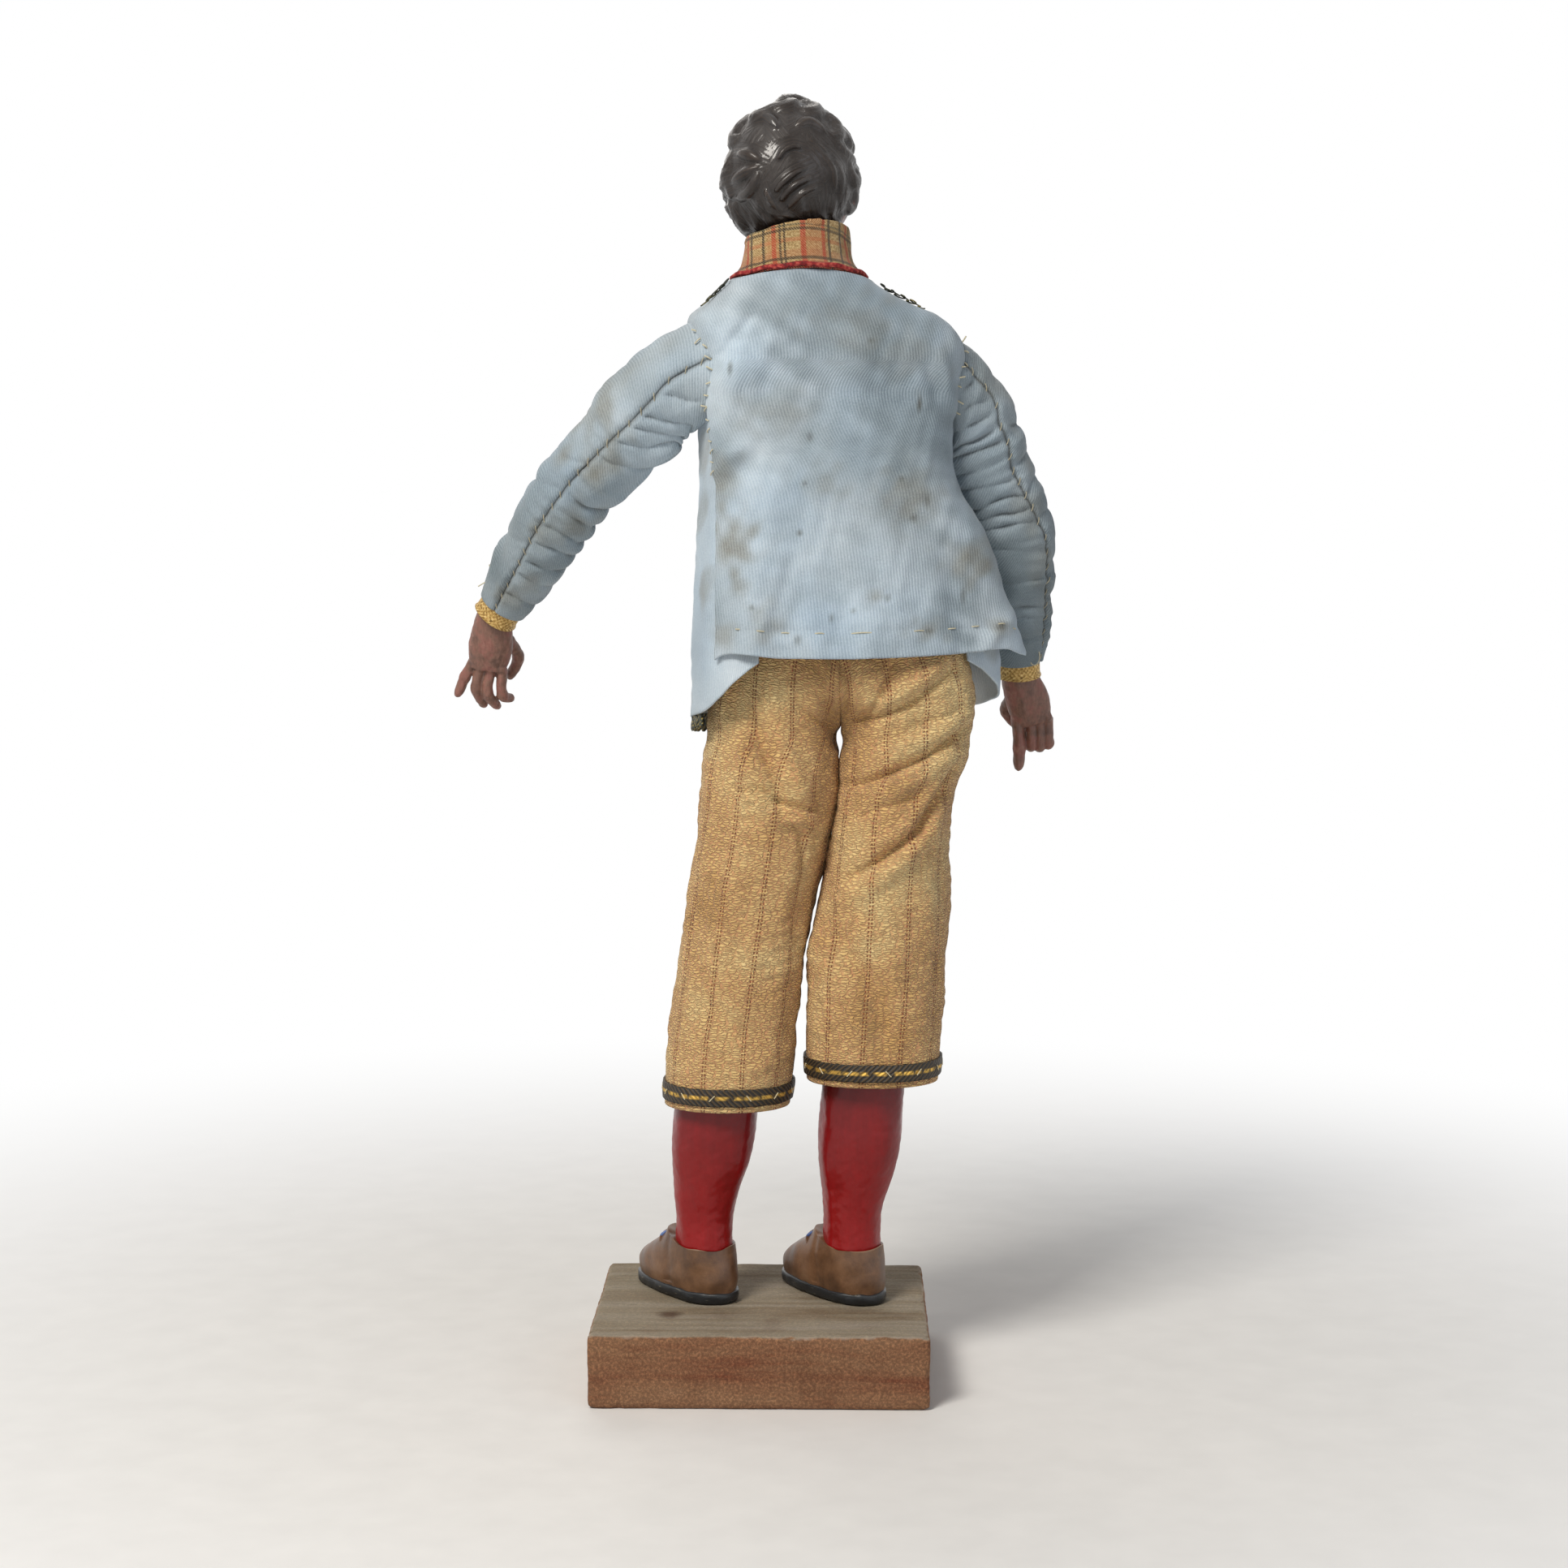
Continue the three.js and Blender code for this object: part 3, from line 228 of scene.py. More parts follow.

# Old pine: the top is greyed with dust over faint long streaks and painted lighter, as painted light
# that lifts the figure's shadow on it; the sides are rough sawn and stained, so that they show as fine
# red-brown grains in level bands, and the edges are rubbed pale.
pine = new_material("old_stained_pine", Roughness=0.85, IOR=1.35)
place = node(pine, "TexCoord", output="Object")
spot = node(pine, "SeparateXYZ", place).node.outputs
facing = node(pine, "SeparateXYZ", node(pine, "NewGeometry", output="Normal"), output="Z")
long_grain = node(pine, "Mapping", Scale=(12, 150, 190), Vector=place)
streaks = node(pine, "TexNoise", Scale=1, Detail=5, Roughness=0.55, Distortion=0.8, Vector=long_grain)
grains = node(pine, "TexNoise", Scale=1200, Detail=3, Roughness=0.75, Vector=place)
cloud = node(pine, "TexNoise", Scale=60, Detail=5, Roughness=0.65, Vector=place)
# The top's dusty grey is set lighter than the wood, as painted light against the figure's shadow on it.
top_dust_and_painted_light = node(
    pine, "ValToRGB", streaks,
    stops=[(0.3, "#80715c"), (0.44, "#8e8370"), (0.55, "#978e7d"), (0.7, "#a0978a")])
band = node(pine, "Mapping", Scale=(14, 14, 130), Vector=place)
bands = node(pine, "TexNoise", Scale=1, Detail=6, Roughness=0.65, Vector=band)
side_tone = node(
    pine, "ValToRGB", bands,
    stops=[(0.3, "#7d4b37"), (0.42, "#8f674e"), (0.55, "#987459"), (0.7, "#a07e63")])
speck = node(pine, "ValToRGB", grains, stops=[(0.3, "#3a2a20"), (0.48, "#80766a"), (0.68, "#e8dcc8")])
side_grain = node(pine, "MixRGB", blend_type="OVERLAY", Fac=0.55, Color1=side_tone, Color2=speck)
top_grain = node(pine, "MixRGB", blend_type="OVERLAY", Fac=0.25, Color1=top_dust_and_painted_light, Color2=speck)
on_top = node(pine, "MapRange", From_Min=0.55, From_Max=0.9, Value=facing)
bare = node(pine, "MixRGB", Fac=on_top, Color1=side_grain, Color2=top_grain)
stain_share = node(pine, "MapRange", From_Min=0.52, From_Max=0.72, To_Max=0.35, Value=cloud)
stained = node(pine, "MixRGB", blend_type="MULTIPLY", Color2="#9a6a54", Fac=stain_share, Color1=bare)
edge_far = node(pine, "Math", cloud, 0.006, spot["Z"], operation="MULTIPLY_ADD")
edge_rise = node(pine, "MapRange", From_Min=0.0252, From_Max=0.0262, To_Max=0.6, Value=edge_far)
edge_share = node(pine, "MapRange", From_Min=0.8, From_Max=0.98, To_Min=1, To_Max=0, Value=facing)
pale = node(pine, "Math", edge_rise, edge_share, operation="MULTIPLY")
rubbed = node(pine, "MixRGB", Color2="#b5a898", Fac=pale, Color1=stained)
knot = node(pine, "VectorMath", place, (0.0285, 0.0195, 0.023), operation="DISTANCE", output="Value")
knot_edge = node(pine, "Math", streaks, 0.006, -0.003, operation="MULTIPLY_ADD")
knot_far = node(pine, "Math", knot, knot_edge, operation="ADD")
knot_share = node(pine, "MapRange", From_Min=0.0016, From_Max=0.0052, To_Min=0.8, To_Max=0, Value=knot_far)
knotted = node(pine, "MixRGB", blend_type="MULTIPLY", Color2="#7a4d2c", Fac=knot_share, Color1=rubbed)
grain_bump = node(pine, "Bump", Strength=0.4, Distance=0.0004, Height=streaks)
fibre_bump = node(pine, "Bump", Strength=0.35, Distance=0.0003, Height=grains, Normal=grain_bump)
put(pine, Base_Color=knotted, Normal=fibre_bump)
dressed(block, pine, "stand", "block_wood", "base_block")


# Carved legs
# Each leg is one piece of carved wood: a round calf painted as a red stocking, and a painted shoe
# with a black sole. A steel pin in the sole holds it to the block.
SIDES = {"left": 1, "right": -1}
FEET_TURN = math.radians(42 - 90)
STAND = 23.3
LEG_ANKLE = 9.25
LEG_CALF = 13.5
LEG_KNEE = 11.5
SHOE_TOP = 17.0
SOLE_TOP = 3.6
LEG_LINES = {
    "left": [(0, 18, -1), (27, 18, -1), (60, 15, -1), (96, 11, -2), (140, 2, -1), (180, -9, 0)],
    "right": [
        (0, -29.3, -1), (27, -29.3, -1), (60, -31.4, -1), (96, -35, -2), (140, -38.5, -1), (180, -41, 0)]}


def through(*pairs):
    """A smooth curve of values through (place, value) pairs, level beyond its ends."""
    spots, values = np.array(pairs, float).T
    rise = np.r_[values[1:], values[-1]] - np.r_[values[0], values[:-1]]
    slopes = rise / (np.r_[spots[1:], spots[-1]] - np.r_[spots[0], spots[:-1]])

    def value_at(where):
        where = np.clip(where, spots[0], spots[-1])
        k = np.clip(np.searchsorted(spots, where, side="right") - 1, 0, len(spots) - 2)
        span = spots[k + 1] - spots[k]
        t = (where - spots[k]) / span
        step = values[k + 1] - values[k]
        bow = (1 - t) * (slopes[k] * span - step) - t * (slopes[k + 1] * span - step)
        return values[k] + t * step + t * (1 - t) * bow

    return value_at


def unit(ways):
    """Directions of length one, from one way or from a row of them."""
    return ways / np.linalg.norm(ways, axis=ways.ndim - 1 or None)[..., None]


def ease(value, low, high):
    """A smooth step from 0 at low to 1 at high."""
    share = np.clip((value - low) / (high - low), 0, 1)
    return share * share * (3 - 2 * share)


def sewn(piece):
    """Joins the first and last columns of a grid that has been bent round to a tube."""
    alone(piece)
    bpy.ops.object.mode_set(mode="EDIT")
    bpy.ops.mesh.select_all(action="SELECT")
    bpy.ops.mesh.remove_doubles(threshold=1e-6)
    bpy.ops.object.mode_set(mode="OBJECT")
    return piece


def sheet_grid(name, columns, rows, place_of, inside=None):
    """A grid primitive whose points go to place_of(across, up) in millimetres, facing away from inside."""
    piece = started(
        name, bpy.ops.mesh.primitive_grid_add, x_subdivisions=columns, y_subdivisions=rows, size=1)
    flat = places(piece) * MM + 0.5
    at = place_of(flat[:, 0], flat[:, 1])
    move_to(piece, at)
    away = at - (at.mean(axis=0) if inside is None else inside)
    if np.sum(normals(piece) * away) < 0:
        bpy.ops.object.mode_set(mode="EDIT")
        bpy.ops.mesh.select_all(action="SELECT")
        bpy.ops.mesh.flip_normals()
        bpy.ops.object.mode_set(mode="OBJECT")
    return piece


def ball_piece(name, segments, rings):
    """A ball of half size 1, and its points."""
    piece = started(name, bpy.ops.mesh.primitive_uv_sphere_add, segments=segments, ring_count=rings, radius=1)
    return piece, places(piece) * MM


def leg_axis(line, height):
    """Where a leg's middle is at each height, from points of (height, x, y)."""
    heights, xs, ys = zip(*line)
    return through(*zip(heights, xs))(height), through(*zip(heights, ys))(height)


def foot_points(line, turn_share, height, back, front, side, blunt=0.85):
    """Points round a foot or leg: back, front and side are its reaches at each height."""
    xs, ys = leg_axis(line, height)
    angle = turn_share * 2 * math.pi
    ahead = np.cos(angle)
    across = np.sin(angle) * side * np.where(ahead < 0, 1 + 0.12 * ahead, 1)
    reach = np.sign(ahead) * np.abs(ahead) ** blunt * np.where(ahead > 0, front, back)
    return np.stack([
        xs + reach * math.cos(FEET_TURN) - across * math.sin(FEET_TURN),
        ys + reach * math.sin(FEET_TURN) + across * math.cos(FEET_TURN),
        height + STAND,
    ], axis=1)


def capped(piece):
    """Closes the open ends of a tube."""
    alone(piece)
    bpy.ops.object.mode_set(mode="EDIT")
    bpy.ops.mesh.select_all(action="DESELECT")
    bpy.ops.mesh.select_non_manifold(extend=False)
    bpy.ops.mesh.fill_holes(sides=0)
    bpy.ops.mesh.select_all(action="SELECT")
    bpy.ops.mesh.normals_make_consistent(inside=False)
    bpy.ops.object.mode_set(mode="OBJECT")
    return piece


# Oil paint on carved lime wood: thick glossy red, bright at the ankle and painted darker towards the
# knee as shade from the breeches, with small dents in the wood and faint brush streaks down the leg.
stocking_paint = new_material("red_stocking_paint", IOR=1.3, Coat_Weight=0.35, Coat_Roughness=0.1)
place = node(stocking_paint, "TexCoord", output="Object")
down = node(stocking_paint, "Mapping", Scale=(520, 520, 60), Vector=place)
brush = node(stocking_paint, "TexNoise", Scale=1, Detail=5, Roughness=0.6, Vector=down)
cloud = node(stocking_paint, "TexNoise", Scale=95, Detail=4, Roughness=0.6, Vector=place)
height = node(stocking_paint, "SeparateXYZ", place, output="Z")
# The red darkens with height: painted shade where the breeches overhang the calf.
painted_shade_height = node(stocking_paint, "Math", cloud, 0.035, height, operation="MULTIPLY_ADD")
red = node(
    stocking_paint, "ValToRGB",
    node(stocking_paint, "MapRange", From_Min=0.05, From_Max=0.14, Value=painted_shade_height),
    stops=[(0.0, "#9a0b0e"), (0.35, "#8a0b0e"), (0.65, "#6e0d10"), (1.0, "#430d13")])
streaked = node(stocking_paint, "MixRGB", blend_type="SOFT_LIGHT", Fac=0.35, Color1=red, Color2=brush)
rough = node(stocking_paint, "MapRange", From_Min=0.3, From_Max=0.7, To_Min=0.35, To_Max=0.55, Value=cloud)
grain = node(stocking_paint, "Bump", Strength=0.22, Distance=0.0003, Height=brush)
dents = node(stocking_paint, "Bump", Strength=0.4, Distance=0.0014, Height=cloud, Normal=grain)
put(stocking_paint, Base_Color=streaked, Roughness=rough, Normal=dents)

# Brown paint on the shoe, rubbed lighter on its raised parts, and black on the sole, scratched
# through to the pale ground along its rim.
shoe_paint = new_material("brown_shoe_paint", IOR=1.48, Coat_Weight=0.2, Coat_Roughness=0.3)
place = node(shoe_paint, "TexCoord", output="Object")
cloud = node(shoe_paint, "TexNoise", Scale=110, Detail=5, Roughness=0.65, Vector=place)
fine = node(shoe_paint, "TexNoise", Scale=900, Detail=3, Roughness=0.6, Vector=place)
raised = node(shoe_paint, "NewGeometry", output="Pointiness")
brown = node(
    shoe_paint, "ValToRGB", cloud,
    stops=[(0.3, "#4b3220"), (0.48, "#6a4a31"), (0.6, "#7a573b"), (0.75, "#86654a")])
rubbed = node(shoe_paint, "MapRange", From_Min=0.515, From_Max=0.56, To_Max=0.55, Value=raised)
lighter = node(shoe_paint, "MixRGB", Color2="#a08468", Fac=rubbed, Color1=brown)
rough = node(shoe_paint, "MapRange", From_Min=0.3, From_Max=0.7, To_Min=0.36, To_Max=0.58, Value=cloud)
dents = node(shoe_paint, "Bump", Strength=0.3, Distance=0.0009, Height=cloud)
skin = node(shoe_paint, "Bump", Strength=0.25, Distance=0.0002, Height=fine, Normal=dents)
put(shoe_paint, Base_Color=lighter, Roughness=rough, Normal=skin)

sole_paint = new_material("black_sole_paint", IOR=1.48)
place = node(sole_paint, "TexCoord", output="Object")
flat_scratch = node(sole_paint, "Mapping", Scale=(170, 170, 1500), Vector=place)
scratch = node(sole_paint, "TexNoise", Scale=1, Detail=4, Roughness=0.7, Vector=flat_scratch)
scuff = node(sole_paint, "MapRange", From_Min=0.63, From_Max=0.7, Value=scratch)
black = node(sole_paint, "MixRGB", Color1="#1f2124", Color2="#8d8672", Fac=scuff)
rough = node(sole_paint, "MapRange", To_Min=0.38, To_Max=0.75, Value=scuff)
chip = node(sole_paint, "Bump", Strength=0.4, Distance=0.0004, Height=scratch)
put(sole_paint, Base_Color=black, Roughness=rough, Normal=chip)

# Blue paint on the bow, worn pale in places.
bow_paint = new_material("blue_bow_paint", Roughness=0.45, IOR=1.48)
place = node(bow_paint, "TexCoord", output="Object")
cloud = node(bow_paint, "TexNoise", Scale=420, Detail=4, Vector=place)
blue = node(bow_paint, "ValToRGB", cloud, stops=[(0.35, "#36508a"), (0.5, "#5573b0"), (0.68, "#8098c6")])
dents = node(bow_paint, "Bump", Strength=0.3, Distance=0.0003, Height=cloud)
put(bow_paint, Base_Color=blue, Normal=dents)

leg_back = through(
    (13, 8), (16, 9.1), (20.4, 9.1), (27, 9.3), (35, 11), (45, 14), (56, 15), (78, 13.4), (96, LEG_KNEE))
leg_front = through(
    (13, 8), (16, 10), (20.4, 10.2), (27, 9.7), (43, 11.2), (60, 12.8), (78, 12.4), (96, LEG_KNEE))
leg_side = through(
    (13, 7.6), (16, 9), (20.4, 9), (27, LEG_ANKLE), (35, 10.5), (45, 12.6), (56, LEG_CALF), (78, 12.8),
    (96, LEG_KNEE))
upper_back = through((SOLE_TOP - 1, 11.2), (7, 11.8), (11, 11.5), (14, 10.8), (SHOE_TOP, 10.0))
upper_front = through(
    (SOLE_TOP - 1, 31.6), (6, 32.4), (8.4, 32), (10.2, 29.6), (12, 25.4), (14, 19.6), (15.5, 16.6),
    (SHOE_TOP, 14.6))
upper_side = through((SOLE_TOP - 1, 8.6), (6.5, 9.3), (10, 9.4), (14, 9.7), (SHOE_TOP, 9.7))
for side in SIDES:
    line = LEG_LINES[side]

    def stocking_points(across, up):
        height = 13 + up * 83
        return foot_points(line, across, height, leg_back(height), leg_front(height), leg_side(height), 1.0)

    stocking = capped(sewn(sheet_grid(f"{side}_stocking", 96, 120, stocking_points)))
    at = places(stocking)
    carved = 0.16 * wander(at * [1, 1, 0.4], 9, 11) + 0.05 * wander(at, 3, 12)
    pushed(stocking, carved)
    dressed(finished(stocking), stocking_paint, "stand", "carved_leg", f"{side}_leg")

    def shoe_points(across, up):
        height = SOLE_TOP - 1 + np.clip(up / 0.82, 0, 1) * (SHOE_TOP - SOLE_TOP + 1)
        inwards = np.clip((up - 0.82) / 0.18, 0, 1)
        waves = 0.6 + 0.5 * np.sin(across * 19) * np.sin(across * 7 + 1)
        lip = waves * np.sin(np.pi * np.clip((up - 0.74) / 0.26, 0, 1))
        shrink = 1 - 0.34 * inwards ** 2
        forward = ease(np.cos(across * 2 * math.pi), -0.3, 0.8) * ease(up, 0.3, 0.82)
        return foot_points(
            line, across, height + lip - 1.6 * inwards ** 2 + 3.7 * forward, upper_back(height) * shrink,
            upper_front(height) * shrink, upper_side(height) * shrink)

    shoe = capped(sewn(sheet_grid(f"{side}_shoe", 120, 90, shoe_points)))
    at = places(shoe)
    ahead = (at[:, :2] - [line[0][1], line[0][2]]) @ [math.cos(FEET_TURN), math.sin(FEET_TURN)]
    step = 0.5 * np.exp(-(((ahead - 8.5) / 1.1) ** 2)) * (at[:, 2] > STAND + SOLE_TOP + 1)
    carved = 0.14 * wander(at, 10, 13) - step
    pushed(shoe, carved)
    dressed(finished(shoe), shoe_paint, "stand", "carved_leg", f"{side}_leg")

    def sole_points(across, up):
        height = through(
            (0, 0), (0.18, 0.05), (0.35, 0.9), (0.7, SOLE_TOP - 0.6), (0.88, SOLE_TOP), (1, SOLE_TOP))(up)
        grow = through((0, -6), (0.18, -0.9), (0.35, 0), (0.7, 0.2), (0.88, -0.5), (1, -3))(up)
        return foot_points(line, across, height, 11.9 + grow, 33 + grow, 9.2 + grow)

    sole = capped(sewn(sheet_grid(f"{side}_sole", 110, 18, sole_points)))
    at = places(sole)
    worn = 0.14 * wander(at, 6, 14) * (at[:, 2] > STAND + 0.4)
    pushed(sole, worn)
    dressed(finished(sole), sole_paint, "stand", "carved_leg", f"{side}_leg")

    # The tongue stands up over the instep and carries a small ribbon bow.
    way = np.array([math.cos(FEET_TURN), math.sin(FEET_TURN), 0])
    cross = np.array([-way[1], way[0], 0])
    instep = np.array([line[0][1], line[0][2], STAND]) + way * 14.6
    tongue, ball = ball_piece(f"{side}_shoe_tongue", 32, 20)
    lean = way * 0.42 + np.array([0, 0, 0.9])
    flare = 1 + 0.3 * ball[:, 2]
    points = instep + [0, 0, 14.6] + np.outer(ball[:, 0] * 7.2 * flare, cross)
    points += np.outer(ball[:, 2] * 5.4, lean)
    points += np.outer(ball[:, 1] * 1.1 - 0.9 * ball[:, 0] ** 2, way)
    move_to(tongue, points)
    dressed(finished(tongue), shoe_paint, "stand", "carved_leg", f"{side}_leg")
    bow = started(
        f"{side}_shoe_bow", bpy.ops.mesh.primitive_torus_add, major_segments=40, minor_segments=10,
        major_radius=1, minor_radius=0.3)
    loop = places(bow) * MM
    pinch = np.abs(loop[:, 0]) ** 0.8
    slope = np.array([0, 0, 0.75]) - way * 0.66
    proud = np.array([0, 0, 0.66]) + way * 0.75
    tied = instep + way * 0.9 + [0, 0, 17.6]
    points = tied + np.outer(loop[:, 0] * 4.8, cross)
    points += np.outer(loop[:, 1] * 2.4 * pinch, slope) + np.outer(loop[:, 2] * 2.2 + 0.4, proud)
    move_to(bow, points)
    dressed(finished(bow), bow_paint, "stand", "carved_leg", f"{side}_leg")
    knot, ball = ball_piece(f"{side}_bow_knot", 20, 12)
    points = tied + proud + np.outer(ball[:, 0] * 1.4, cross) + np.outer(ball[:, 1] * 1.1, proud)
    move_to(knot, points + np.outer(ball[:, 2] * 1.6, slope))
    dressed(finished(knot), bow_paint, "stand", "carved_leg", f"{side}_leg")


# Iron wire and pins
# Two steel pins hold the feet to the block, and soft iron wire, browned by rust, makes the bones:
# one run up each leg, the spine, the shoulders and two lengths in each arm.
iron = new_material("rusted_iron_wire", Metallic=1.0)
place = node(iron, "TexCoord", output="Object")
rust = node(iron, "TexNoise", Scale=700, Detail=5, Roughness=0.7, Vector=place)
brown = node(iron, "ValToRGB", rust, stops=[(0.4, "#6e6a66"), (0.55, "#5a4636"), (0.7, "#6f4327")])
dull = node(iron, "MapRange", From_Min=0.4, From_Max=0.65, To_Min=0.35, To_Max=0.8, Value=rust)
pits = node(iron, "Bump", Strength=0.4, Distance=0.0003, Height=rust)
put(iron, Base_Color=brown, Roughness=dull, Normal=pits)
for name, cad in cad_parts.items():
    if name.endswith(("_wire", "_pin")):
        cad.data.materials.clear()
        cad.data.materials.append(iron)

# Tow stuffing
# Hanks of flax tow wound round the wires to fill out thighs, hips, trunk and arms, tied round the
# trunk with twine. The clothes hide all of it.
TRUNK_TURN = math.radians(16)
LEFTWARD = np.array([math.cos(TRUNK_TURN), math.sin(TRUNK_TURN), 0])
BACKWARD = np.array([-math.sin(TRUNK_TURN), math.cos(TRUNK_TURN), 0])
SOLES = 23.0
THIGH_FOOT = 96.6
SEAT_FOOT, SEAT_RISE = 179, 40
TRUNK_FOOT, TRUNK_RISE = 218, 74
# Shoulder, elbow and wrist of each arm.
ARMS = {
    "left": np.array([(17.3, 9.7, 323.0), (59.0, -6.0, 281.0), (86.6, -24.0, 240.3)]),
    "right": np.array([(-56.7, -11.6, 321.0), (-80.0, -26.0, 270.0), (-83.4, -39.0, 221.0)]),
}
spine_x = through(
    (150, -24), (190, -25), (214, -24), (270, -20.5), (300, -20), (312, -17), (322, -12), (335, -11))


def trunk_place(left, back, height):
    """Points given left and back of the turned trunk's axis, at heights above the soles."""
    axis = np.stack([spine_x(height), 0 * height, height + SOLES], axis=1)
    return axis + np.outer(left, LEFTWARD) + np.outer(back, BACKWARD)


def threads(name, runs, half, sides=2):
    """Round threads along runs of points in millimetres, in one mesh."""
    line = bpy.data.curves.new(name, "CURVE")
    line.dimensions = "3D"
    line.bevel_depth = half * MM
    line.bevel_resolution = sides
    line.use_fill_caps = True
    for run in runs:
        spline = line.splines.new("POLY")
        spline.points.add(len(run) - 1)
        spline.points.foreach_set("co", np.c_[np.array(run) * MM, np.ones(len(run))].ravel())
    piece = bpy.data.objects.new(name, line)
    bpy.context.scene.collection.objects.link(piece)
    alone(piece)
    bpy.ops.object.convert(target="MESH")
    piece = bpy.context.object
    piece.name = piece.data.name = name
    return finished(piece)


# Flax tow: long pale straw fibres lying along the limb, with darker gaps between the strands.
tow = new_material("flax_tow", Roughness=0.9, Sheen_Weight=0.3)
place = node(tow, "TexCoord", output="Object")
along = node(tow, "Mapping", Scale=(900, 900, 60), Vector=place)
fibres = node(tow, "TexNoise", Scale=1, Detail=4, Roughness=0.65, Vector=along)
straw = node(tow, "ValToRGB", fibres, stops=[(0.34, "#6f5a36"), (0.5, "#b0945f"), (0.68, "#cdb584")])
strands = node(tow, "Bump", Strength=0.7, Distance=0.0006, Height=fibres)
put(tow, Base_Color=straw, Normal=strands)

spindle_upper = through((0, 0.42), (0.42, 1), (0.7, 1), (1, 0.5))
spindle_lower = through((0, 0.5), (0.35, 1), (1, 0.8))
thigh_swell = through((0, 0.8), (0.2, 0.96), (0.45, 1), (0.75, 0.94), (1, 0.7))
trunk_wide = through((0, 0.74), (0.3, 0.88), (0.68, 1), (0.9, 0.98), (1, 0.72))
seat_wide = through((0, 38), (0.175, 41), (0.425, 41.5), (0.725, 39.5), (1, 35))
seat_deep = through((0, 15), (0.2, 19.5), (0.65, 20), (1, 18.5))
trunk_deep = through((0, 0.72), (0.3, 0.92), (0.68, 1), (0.9, 0.92), (1, 0.6))


def limb(start, end, short_start, short_end, half, swell):
    """A round hank between two bends of the wire, stopping short of both."""
    way = unit(end - start)
    low, high = start + way * short_start, end - way * short_end
    first = unit(np.cross(way, [0.2, 1, 0.1]))
    second = np.cross(way, first)

    def points(across, up):
        turn = across * 2 * math.pi
        wide = half * swell(up)
        middle = low + np.outer(up, high - low)
        return middle + np.outer(np.cos(turn) * wide, first) + np.outer(np.sin(turn) * wide, second)

    return points


def thigh(side):
    line = LEG_LINES[side]

    def points(across, up):
        height = THIGH_FOOT + up * (SEAT_FOOT - THIGH_FOOT)
        turn = across * 2 * math.pi
        wide = 13.5 * thigh_swell(up)
        xs, ys = leg_axis(line, height)
        return np.stack([
            xs + wide * np.cos(turn),
            ys + wide * np.sin(turn),
            height + SOLES,
        ], axis=1)

    return points


def trunk(across, up, proud=0):
    turn = across * 2 * math.pi
    wide, deep = 31 * trunk_wide(up) + proud, 15 * trunk_deep(up) + proud
    return trunk_place(wide * np.cos(turn), deep * np.sin(turn), TRUNK_FOOT + TRUNK_RISE * up)


def rounded(angle, power):
    """Points of a unit ring squared off by a power above 2."""
    x, y = np.cos(angle), np.sin(angle)
    return np.sign(x) * np.abs(x) ** (2 / power), np.sign(y) * np.abs(y) ** (2 / power)


def hips(across, up):
    height = 194 + 16 * up
    rise = (height - SEAT_FOOT) / SEAT_RISE
    wide, deep = seat_wide(rise) - 3.2, seat_deep(rise) - 8
    x, y = rounded(across * 2 * math.pi, 2.3)
    return np.stack([
        spine_x(height) + wide * x,
        deep * y,
        height + SOLES,
    ], axis=1)


for name, body, points in [
    ("left_thigh_tow", "stand", thigh("left")),
    ("right_thigh_tow", "stand", thigh("right")),
    ("pelvis_tow", "stand", hips),
    ("trunk_tow", "torso", trunk),
] + [
    (f"{side}_upper_arm_tow", f"{side}_upper_arm", limb(*ARMS[side][:2], 4, 4, 7.5, spindle_upper))
    for side in SIDES
] + [
    (f"{side}_forearm_tow", f"{side}_forearm", limb(*ARMS[side][1:], 4, 12.3, 6.25, spindle_lower))
    for side in SIDES
]:
    hank = capped(sewn(sheet_grid(f"{name}_hank", 48, 40, points)))
    at = places(hank)
    pushed(hank, 0.3 * wander(at * [1, 1, 0.3], 4, 21) - 0.4)
    dressed(finished(hank), tow, body, "tow", name)

# Hemp twine wound five times round the trunk.
twine = new_material("hemp_twine", Roughness=0.85)
place = node(twine, "TexCoord", output="Object")
twist = node(twine, "TexNoise", Scale=1600, Detail=3, Vector=place)
hemp = node(twine, "ValToRGB", twist, stops=[(0.35, "#5e4b2c"), (0.6, "#96804f")])
strands = node(twine, "Bump", Strength=0.6, Distance=0.0003, Height=twist)
put(twine, Base_Color=hemp, Normal=strands)
share = np.linspace(0, 5, 241)
winding = trunk(share, (226 + 10 * share - TRUNK_FOOT) / TRUNK_RISE, proud=1.0)
dressed(threads("trunk_twine", [winding], 0.6), twine, "torso", "twine", "binding_twine")


# Head and bust
# Head, neck and shoulder bust are one piece of fired clay, painted in oils: brown skin and dark
# hair modelled in thick wavy locks that turn out from the crown. The eyes are glass set in the clay.
HEAD_MIDDLE = np.array([-9.0, -4.0, 376.0])
HEAD_TURN = math.radians(-15)
SKULL = np.array([18.25, 21.5, 22.75])
BIG_LOCKS = 52
LOCK_STEPS = 16


def turned(points, angle=HEAD_TURN):
    """Points of the untilted head, which looks along -Y, put in their place on the figure."""
    turn = np.array(
        [[math.cos(angle), math.sin(angle), 0], [-math.sin(angle), math.cos(angle), 0], [0, 0, 1]])
    return points @ turn + HEAD_MIDDLE


def skull_reach(away):
    """The bare skull's point in each direction from the head's middle."""
    jaw = 1 - 0.16 * ease(-away[:, 2], 0.15, 0.9)
    nape = np.where(away[:, 1] > 0, 1 - 0.36 * ease(-away[:, 2], 0.1, 0.85), 1)
    return away * SKULL * np.stack([jaw, nape, np.ones(len(away))], axis=1)


def blob(name, middle, size, lean=(0, 0, 0)):
    """A rounded lump in the untilted head's frame: its middle, half sizes and turns in degrees."""
    piece, ball = ball_piece(name, 24, 16)
    round_points = ball * np.array(size)
    tip = np.array(Euler([math.radians(a) for a in lean]).to_matrix())
    move_to(piece, turned(round_points @ tip.T + np.array(middle)))
    return piece


